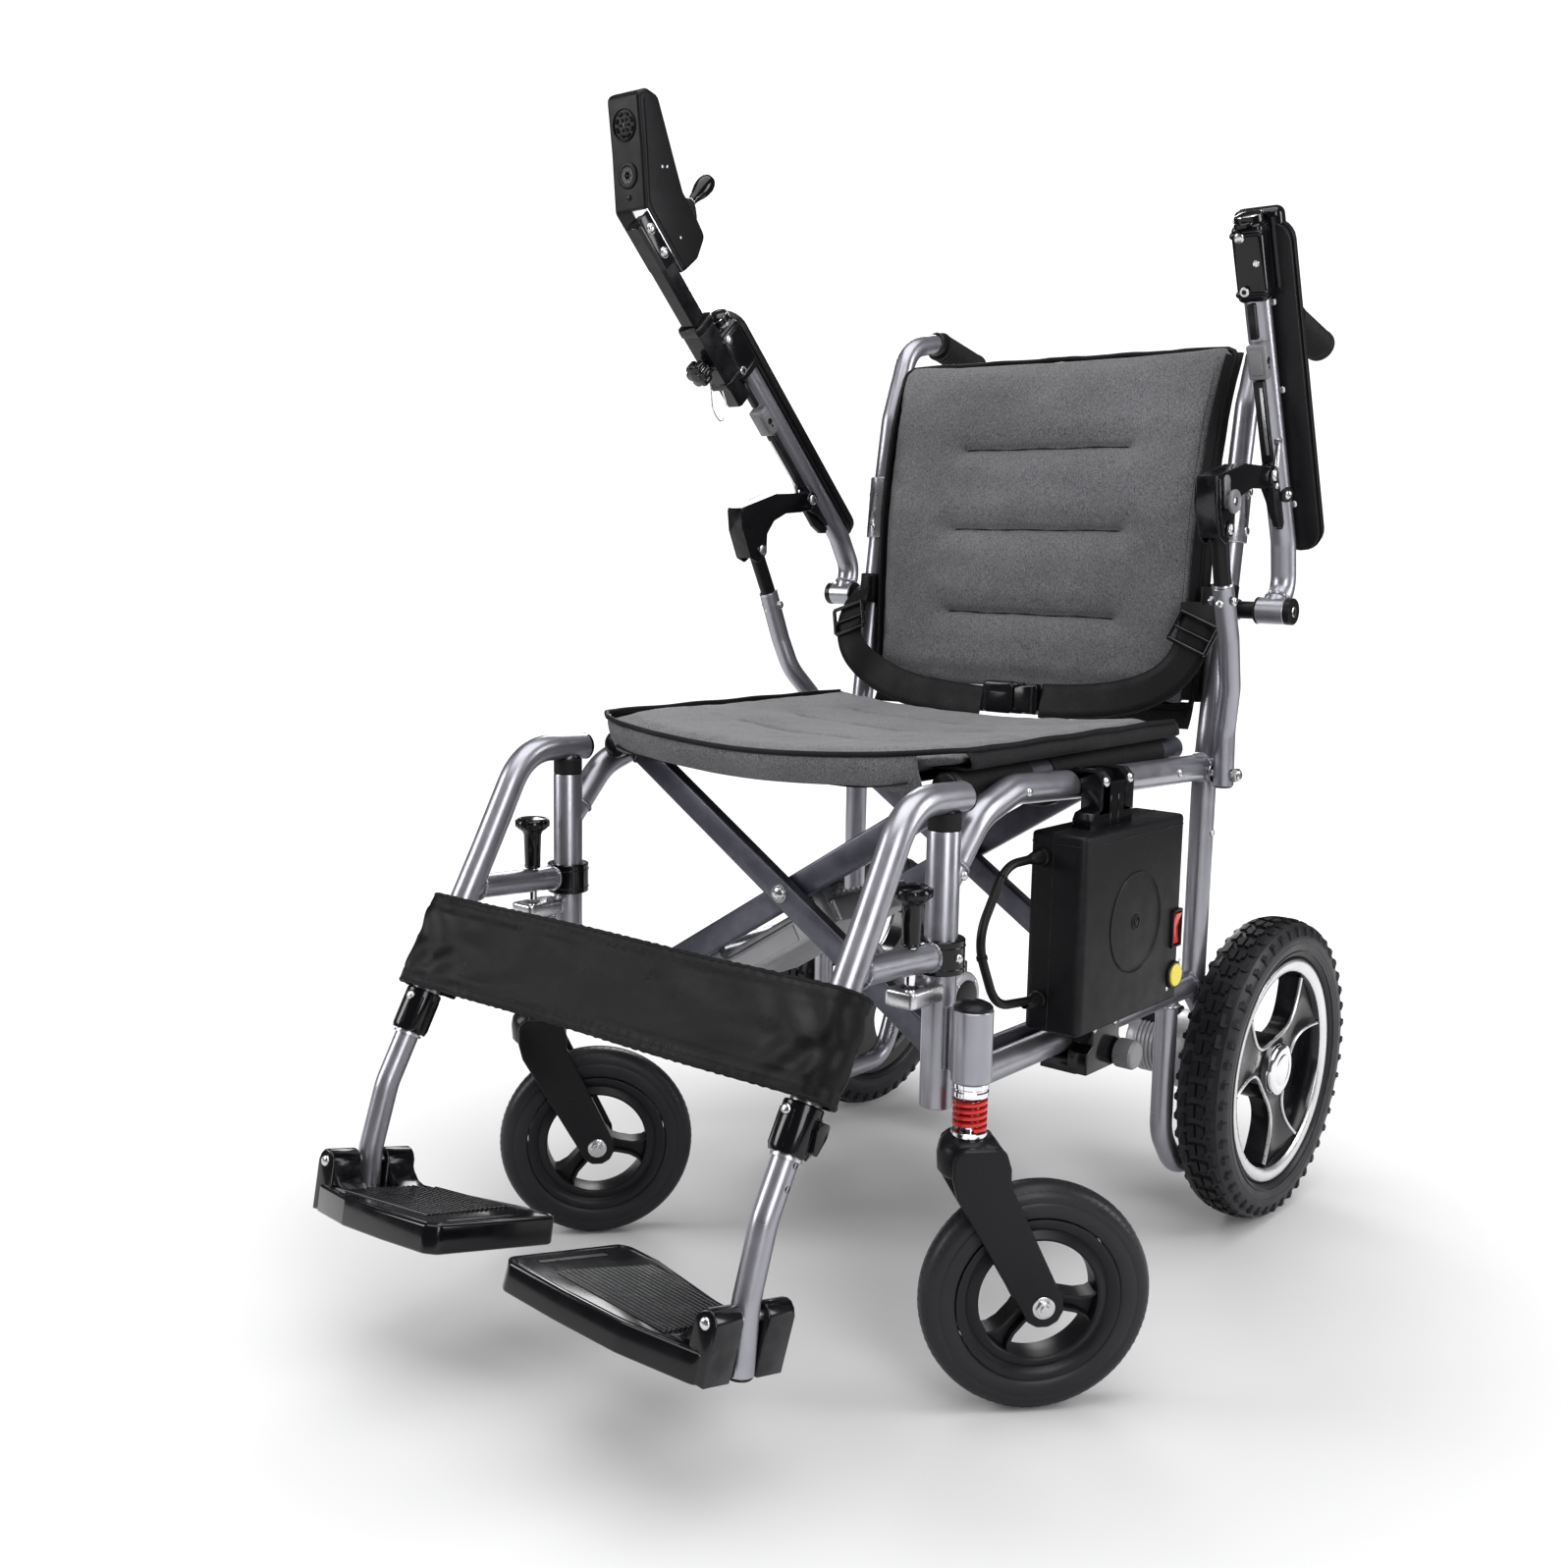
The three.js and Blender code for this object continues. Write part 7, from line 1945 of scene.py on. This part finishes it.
# sewn line at the bottom of each channel, laid on the cloth
def surface_of(ob):
    return BVHTree.FromPolygons([v.co.copy() for v in ob.data.vertices], [tuple(q.vertices) for q in ob.data.polygons])

btree = surface_of(bpad)
def on_back(x, z):
    hit = btree.ray_cast(F((x, back_y(z) - 60, z)), Vector((0, 1, 0)))
    return W(hit[0]).y if hit[0] is not None else back_y(z) + 5

g = G()
for (xa, xb, zc) in BCH:
    m_ = 44
    pts = [(xa + (xb - xa) * i / m_, on_back(xa + (xb - xa) * i / m_, zc) + 0.15, zc + 0.4 * math.sin(i * 0.4)) for i in range(m_ + 1)]
    tube(g, pts, 0.75, 8, 0, rfn=lambda t: 0.75 + 0.2 * math.sin(t * 330))
ob = piece("back_channel_seams", g, ["binding"], None)
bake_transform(ob)

# black fabric skirt that closes the gap under the back pad
g = G()
V, Fc = [], []
nx_ = 60
cols = [(563, 15.5), (556, 14.0), (549, 12.0), (542, 9.0), (536, 5.5)]
for i in range(nx_ + 1):
    x = -205 + 410 * i / nx_
    for (z, dy) in cols:
        V.append((x, 519 + dy + 0.8 * math.sin(x * 0.045 + z * 0.05), z + 0.7 * math.sin(x * 0.03)))
k = len(cols)
for i in range(nx_):
    for j in range(k - 1):
        a = i * k + j
        Fc.append((a, a + k, a + k + 1, a + 1))
g.add(V, Fc, 0)
ob = piece("back_skirt", g, ["vinyl"], None, smooth=80)
sd = ob.modifiers.new("th", "SOLIDIFY"); sd.thickness = 0.0012; sd.offset = 0
bake(ob)
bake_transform(ob)

# ---------------------------------------------------------------- seat cushion
SEDGE = [(0, 41.5), (60, 42.5), (110, 45), (160, 52), (186, 62), (206, 78), (216, 92)]
def seat_front(x):
    return lerp_pts(SEDGE, abs(x))

def seat_top(x, y):
    a = min(1.0, abs(x) / 206)
    z = 539.5 + 14.0 * a ** 1.7
    z += 2.0 * math.exp(-((y - 60) / 30) ** 2)
    return z

def seat_base():
    g = G()
    nx_, ny_ = 44, 44
    V, Fc = [], []
    def P(i, j, face):
        x = -1 + 2 * i / nx_
        xx = x * 214
        yf = seat_front(xx) + 5
        yb = 474
        for sg in (0,):
            pass
        y = yf + (yb - yf) * j / ny_
        cb = max(0, 1 - (yb - y) / 18)
        xx *= 1 - 0.03 * cb
        ex = min(1, (1 - abs(x)) * 12); ey = min(1, min(j, ny_ - j) / 2.6)
        k = math.sqrt(max(0.16, 1 - (1 - min(ex, ey)) ** 2))
        top_ = seat_top(xx, y) - 4.2
        th = 15.5 if abs(xx) < 176 else 9.0
        th = 16.5 - 7.5 * max(0.0, min(1.0, (abs(xx) - 150) / 26))
        mid = top_ - th / 2
        z = mid + (th / 2) * k * (1 if face else -1)
        return Vector((xx, y, z))
    for face in (0, 1):
        for j in range(ny_ + 1):
            for i in range(nx_ + 1):
                V.append(P(i, j, face))
    n = nx_ + 1
    o = n * (ny_ + 1)
    for j in range(ny_):
        for i in range(nx_):
            a = j * n + i
            Fc.append((a, a + n, a + n + 1, a + 1))
            Fc.append((o + a, o + a + 1, o + a + n + 1, o + a + n))
    for i in range(nx_):
        Fc.append((i, i + 1, o + i + 1, o + i))
        a = ny_ * n + i
        Fc.append((a, o + a, o + a + 1, a + 1))
    for j in range(ny_):
        a = j * n
        Fc.append((a, o + a, o + a + n, a + n))
        a = j * n + nx_
        Fc.append((a, a + n, o + a + n, o + a))
    g.add(V, Fc, 0)
    return g

SCH = [(-112, 112, 180), (-112, 112, 275), (-112, 112, 370)]
ob = to_mesh("seat_pad", seat_base())
remesh(ob, 5.0)
puff(ob, 4.5)
subdivide(ob)
for v in ob.data.vertices:
    p = W(v.co)
    tz = seat_top(p.x, p.y)
    topside = p.z > tz - 12
    edge = min(214 - abs(p.x), p.y - seat_front(p.x), 478 - p.y)
    e = max(0.0, min(1.0, edge / 28))
    if topside:
        w = 1.0 * noise.noise(Vector((p.x * 0.015, p.y * 0.014, 1.0))) * 2 * e + 0.5 * noise.noise(Vector((p.x * 0.05, p.y * 0.05, 7.0))) * 2 * e
        for (xa, xb, yc) in SCH:
            cx = max(xa, min(xb, p.x))
            r = math.hypot(p.x - cx, p.y - yc)
            w -= 3.4 * math.exp(-(r / 4.4) ** 2) + 2.8 * math.exp(-(r / 19) ** 2)
        p.z = min(p.z + w, 558.0)
    v.co = F(p)
finish_soft(ob, "seat_pad")
spad = ob
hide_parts("seat_cushion_left", "seat_cushion_right")
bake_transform(ob)

def seat_blend(ob):
    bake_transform(ob)

# sewn lines of the seat
stree = surface_of(spad)
def on_seat(x, y):
    hit = stree.ray_cast(F((x, y, 640)), Vector((0, 0, -1)))
    return W(hit[0]).z if hit[0] is not None else seat_top(x, y) - 5
g = G()
for (xa, xb, yc) in SCH:
    pts = [(xa + (xb - xa) * i / 44, yc, on_seat(xa + (xb - xa) * i / 44, yc) - 0.15) for i in range(45)]
    tube(g, pts, 0.75, 8, 0)
seat_blend(piece("seat_channel_seams", g, ["binding"], None))

# piping round the top edge, with the front welt
def seat_outline():
    pts = []
    for k in range(0, 41):
        x = -208 + 416 * k / 40
        pts.append((x, seat_front(x) + 2.4, seat_top(x, 60) - 5.0))
    right_ = [(213.5, 100, 550.0)] + [(215.5, 100 + 370 * k / 24, 549.8 + 0.5 * math.sin(k)) for k in range(1, 25)]
    left_ = [(-x, y, z) for x, y, z in right_]
    return left_[::-1] + pts + right_
g = G()
tube(g, rounded(seat_outline(), 8, 3), 2.5, 12, 0)
seat_blend(piece("seat_piping", g, ["binding"], None, smooth=70))
# black side band hanging from the piping towards the rail, and the front apron in the seat's fabric
for side, s in SIDES:
    g = G()
    V, Fc = [], []
    rows = [(213.5, 549), (217.5, 545), (219.5, 540), (219.5, 536), (215.0, 533.8), (196, 533.6), (180, 533.2)]
    nn = 48
    for j in range(nn + 1):
        y = 96 + (474 - 96) * j / nn
        for (x, z) in rows:
            wv = 0.55 * math.sin(y * 0.075 + z) + 0.4 * noise.noise(Vector((y * 0.03, z * 0.1, 3)))
            V.append(Vector((s * (x + wv), y, z + wv * 0.4)))
    k = len(rows)
    for j in range(nn):
        for i in range(k - 1):
            a = j * k + i
            Fc.append((a, a + k, a + k + 1, a + 1))
    g.add(V, Fc, 0)
    ob = piece(f"seat_side_{side}", g, ["vinyl"], f"seat_{side}", smooth=80)
    sd = ob.modifiers.new("th", "SOLIDIFY"); sd.thickness = 0.0011; sd.offset = -1
    # black sleeve round the seat tube, with its hem
    leg = "leg_b" if s > 0 else "leg_a"
    g = G()
    lathe(g, (s * 200, 97, 518), (0, 1, 0), [(12.6, 0), (13.5, 0.4), (13.9, 2), (13.5, 5), (13.7, 60), (13.5, 110)], 36, 0)
    lathe(g, (s * 200, 243, 518), (0, 1, 0), [(13.5, 0), (13.8, 1), (13.6, 100), (13.5, 214)], 36, 0)
    lathe(g, (s * 200, 87.4, 518), (0, -1, 0), [(12.4, -2), (13.2, -1.4), (13.2, 1.2), (11.8, 3.0), (6, 4.2), (0, 4.6)], 36, 1)
    piece(f"seat_sleeve_{side}", g, ["vinyl", "black"], leg, smooth=60)

# front apron: the cover rolls down and back under the front edge
g = G()
V, Fc = [], []
nx_ = 80
rows = 12
def apron(x, t):
    dip = 7.5 + 9.0 * math.exp(-((abs(x) - 176) / 26) ** 2) * (1 if x > 0 else 0.55)
    z1 = seat_top(x, 60) - 7.0
    yf = seat_front(x)
    a = t * math.pi * 0.62
    R1 = (18 + dip) * 0.62
    y = yf + 3.2 + 2.5 * (1 - math.cos(a * 1.2)) * 3.2 - 2.6 * math.sin(a)
    z = z1 - (18 + dip) * t
    w = 0.8 * noise.noise(Vector((x * 0.03, t * 2.2, 5.0))) + 0.5 * math.sin(x * 0.11 + t * 2.0) * t
    return Vector((x, y + w, z))
for i in range(nx_ + 1):
    x = -186 + 372 * i / nx_
    for j in range(rows + 1):
        V.append(apron(x, j / rows))
k = rows + 1
for i in range(nx_):
    for j in range(rows):
        a = i * k + j
        Fc.append((a, a + 1, a + k + 1, a + k))
g.add(V, Fc, 0)
ob = piece("seat_apron", g, ["fabric"], None, smooth=80)
sd = ob.modifiers.new("th", "SOLIDIFY"); sd.thickness = 0.0014; sd.offset = 0
seat_blend(bake(ob))

# underside: one dark sheet under the pad
g = G()
V, Fc = [], []
for i in range(25):
    x = -176 + 352 * i / 24
    for j in range(25):
        y = 62 + (470 - 62) * j / 24
        V.append(Vector((x, y, 512.5 + 0.0 * x + 9 * max(0.0, (abs(x) - 120) / 56) ** 1.4 + 0.8 * noise.noise(Vector((x * 0.02, y * 0.02, 0))))))
for i in range(24):
    for j in range(24):
        a = i * 25 + j
        Fc.append((a, a + 1, a + 26, a + 25))
g.add(V, Fc, 0)
ob = piece("seat_underside", g, ["vinyl"], None, smooth=80)
sd = ob.modifiers.new("th", "SOLIDIFY"); sd.thickness = 0.0012; sd.offset = 0
seat_blend(bake(ob))

# ================================================================== LAP BELT
def smooth_path(pts, n=60):
    P = [Vector(p) for p in pts]
    out = []
    m_ = len(P)
    for i in range(m_ - 1):
        p0 = P[max(0, i - 1)]; p1 = P[i]; p2 = P[i + 1]; p3 = P[min(m_ - 1, i + 2)]
        k_ = max(2, n // (m_ - 1))
        for j in range(k_):
            t = j / k_
            out.append(0.5 * ((2 * p1) + (p2 - p0) * t + (2 * p0 - 5 * p1 + 4 * p2 - p3) * t * t + (3 * p1 - p0 - 3 * p2 + p3) * t ** 3))
    out.append(P[-1])
    return out


def belt(name, pts, updir, body, half=18.5, rep=None):
    P = smooth_path(pts, 84)
    n = len(P)
    def wd(i):
        f = i / (n - 1) * (len(updir) - 1)
        a = int(f); b = min(len(updir) - 1, a + 1)
        return Vector(updir[a]).lerp(Vector(updir[b]), f - a)
    g = G()
    ribbon_solid(g, P, wd, lambda i: half + 0.25 * math.sin(i * 0.9), 1.7, 0)
    # woven selvedges
    for sg in (-1, 1):
        e = []
        for i in range(n):
            t = (P[min(n - 1, i + 1)] - P[max(0, i - 1)]).normalized()
            w_ = wd(i); w_ = (w_ - t * w_.dot(t)).normalized()
            e.append(P[i] + w_ * (sg * (half - 0.5)))
        tube(g, e, 1.05, 8, 0)
    ob = piece(name, g, ["webbing"], body, rep, smooth=70)
    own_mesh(ob)
    return ob


Z = (0, 0.25, 1)
belt("belt_right", [(-222, 519, 668), (-228, 511.5, 648), (-232, 506, 628), (-226, 503, 604), (-208, 497, 588), (-182, 491, 575), (-150, 488.5, 563), (-118, 487, 556), (-86, 486.5, 552.5), (-56, 486.5, 550), (-28, 486.5, 549)],
     [(0.75, -0.2, 0.5), (0.9, -0.1, 0.1), (0.95, -0.05, 0.35), (0.72, 0.05, 0.7), (0.42, 0.1, 0.9), (0.25, 0.2, 1), Z, Z, Z, Z, Z], "frame_right", rep="lap_belt_right")
belt("belt_left", [(47, 488.5, 556), (80, 488, 557.5), (112, 488, 560.5), (142, 489, 566), (168, 491.5, 574), (190, 496, 587), (206, 501, 606), (214, 505.5, 628), (216, 511, 650), (213, 519, 668)],
     [Z, Z, (-0.05, 0.2, 1), (-0.15, 0.2, 1), (-0.28, 0.15, 0.95), (-0.48, 0.1, 0.85), (-0.75, 0.05, 0.6), (-0.9, 0, 0.35), (-0.95, -0.1, 0.2), (-0.9, -0.2, 0.3)], "frame_left", rep="lap_belt_left")

# anchor loops round the uprights, and the plastic adjusters
for side, s in SIDES:
    g = G()
    ux_ = Vector((0, 0.12, 0.993))
    lathe(g, (s * 227, 541.6, 652), ux_, [(13.0, 0), (14.4, 0.2), (14.9, 1.0), (14.6, 9), (14.9, 17), (14.6, 25), (14.9, 33), (14.4, 33.8), (13.0, 34)], 44, 0)
    slab(g, [(s * 219, 533), (s * 213.6, 519.5), (s * 217.6, 517.8), (s * 226, 528)], 655, 684, "xy", 0.5, 2, 0)
    piece(f"belt_anchor_{side}", g, ["webbing"], f"frame_{side}", smooth=70)
    # three-bar adjuster, lying on the band
    g = G()
    if s > 0:
        c = Vector((214.5, 503.6, 637)); wdir = Vector((-0.9, 0.0, 0.36)).normalized(); t_ = Vector((0.33, 0.20, 0.92)).normalized()
    else:
        c = Vector((-231.0, 503.6, 634)); wdir = Vector((0.93, -0.05, 0.30)).normalized(); t_ = Vector((-0.26, 0.22, 0.94)).normalized()
    t_ = (t_ - wdir * t_.dot(wdir)).normalized()
    nn_ = wdir.cross(t_).normalized()
    if nn_.y > 0:
        nn_ = -nn_
    for k_ in (-15, -1, 15):
        tube(g, [c + t_ * k_ - wdir * 22.5, c + t_ * k_ + wdir * 22.5], 2.3 if k_ != -1 else 1.8, 14, 0)
    for k_ in (-22.5, 22.5):
        tube(g, [c + wdir * k_ - t_ * 15, c + wdir * k_ + t_ * 15], 2.4, 14, 0)
    ob = piece(f"belt_adjuster_{side}", g, ["gloss"], f"frame_{side}")

# side-release buckle
g = G()
BK_ = [(-24.5, -15), (-24.5, 15), (-19, 17.6), (10, 17.6), (15, 13.5), (15, -13.5), (10, -17.6), (-19, -17.6)]
BMx = Matrix.Translation(Vector((0, 0, 557)))
slab(g, [(x, z) for x, z in BK_], 482.2, 495.8, "xz", 2.6, 4, 0, BMx, corner=3)
slab(g, [(15.5, -11.5), (15.5, 11.5), (24, 14.5), (43.5, 16.8), (45, 12), (45, -12), (43.5, -16.8), (24, -14.5)], 483.6, 494.4, "xz", 2.0, 3, 0, BMx, corner=2)
for zz in (-13.6, 13.6):
    rbox(g, 11, 26, 484.6, 493.4, zz - 3.4, zz + 3.4, 1.6, 3, 0, BMx)
    for k_ in range(4):
        tube(g, [BMx @ Vector((13.5 + 3.0 * k_, 484.4, zz - 2.6)), BMx @ Vector((13.5 + 3.0 * k_, 484.4, zz + 2.6))], 0.6, 6, 0)
slab(g, [(-14, -6), (-14, 6), (7, 6), (9, 3), (9, -3), (7, -6)], 481.7, 483.2, "xz", 0.5, 2, 1, BMx, corner=1.5)
for x_ in (-20.5, 39.5):
    tube(g, [BMx @ Vector((x_, 482.8, -14.5)), BMx @ Vector((x_, 482.8, 14.5))], 1.4, 12, 1)
piece("buckle_moulded", g, ["gloss", "black"], "buckle", "belt_buckle")

# ------------------------------------------------------------------ every CAD node that still shows gets a finish
SLOT_MAT = {"frame_metal": "frame", "scissor_metal": "scissor", "grip_rubber": "rubber", "motor_metal": "cast", "tyre_rubber": "tyre", "rim_black": "rim",
            "bright_steel": "chrome", "spring_red": "red", "satin_black": "satin", "gloss_black": "gloss", "pad_black": "pad", "grey_plastic": "grey",
            "seat_fabric": "fabric", "webbing": "webbing", "strap_nylon": "nylon", "switch_red": "red"}
for sp in REC["subparts"]:
    ob = frame["nodes"][sp["node"]]
    if ob.hide_render:
        continue
    for i in range(max(1, len(ob.material_slots))):
        if ob.material_slots:
            ob.material_slots[i].material = M[SLOT_MAT[sp["material_slot"]]]
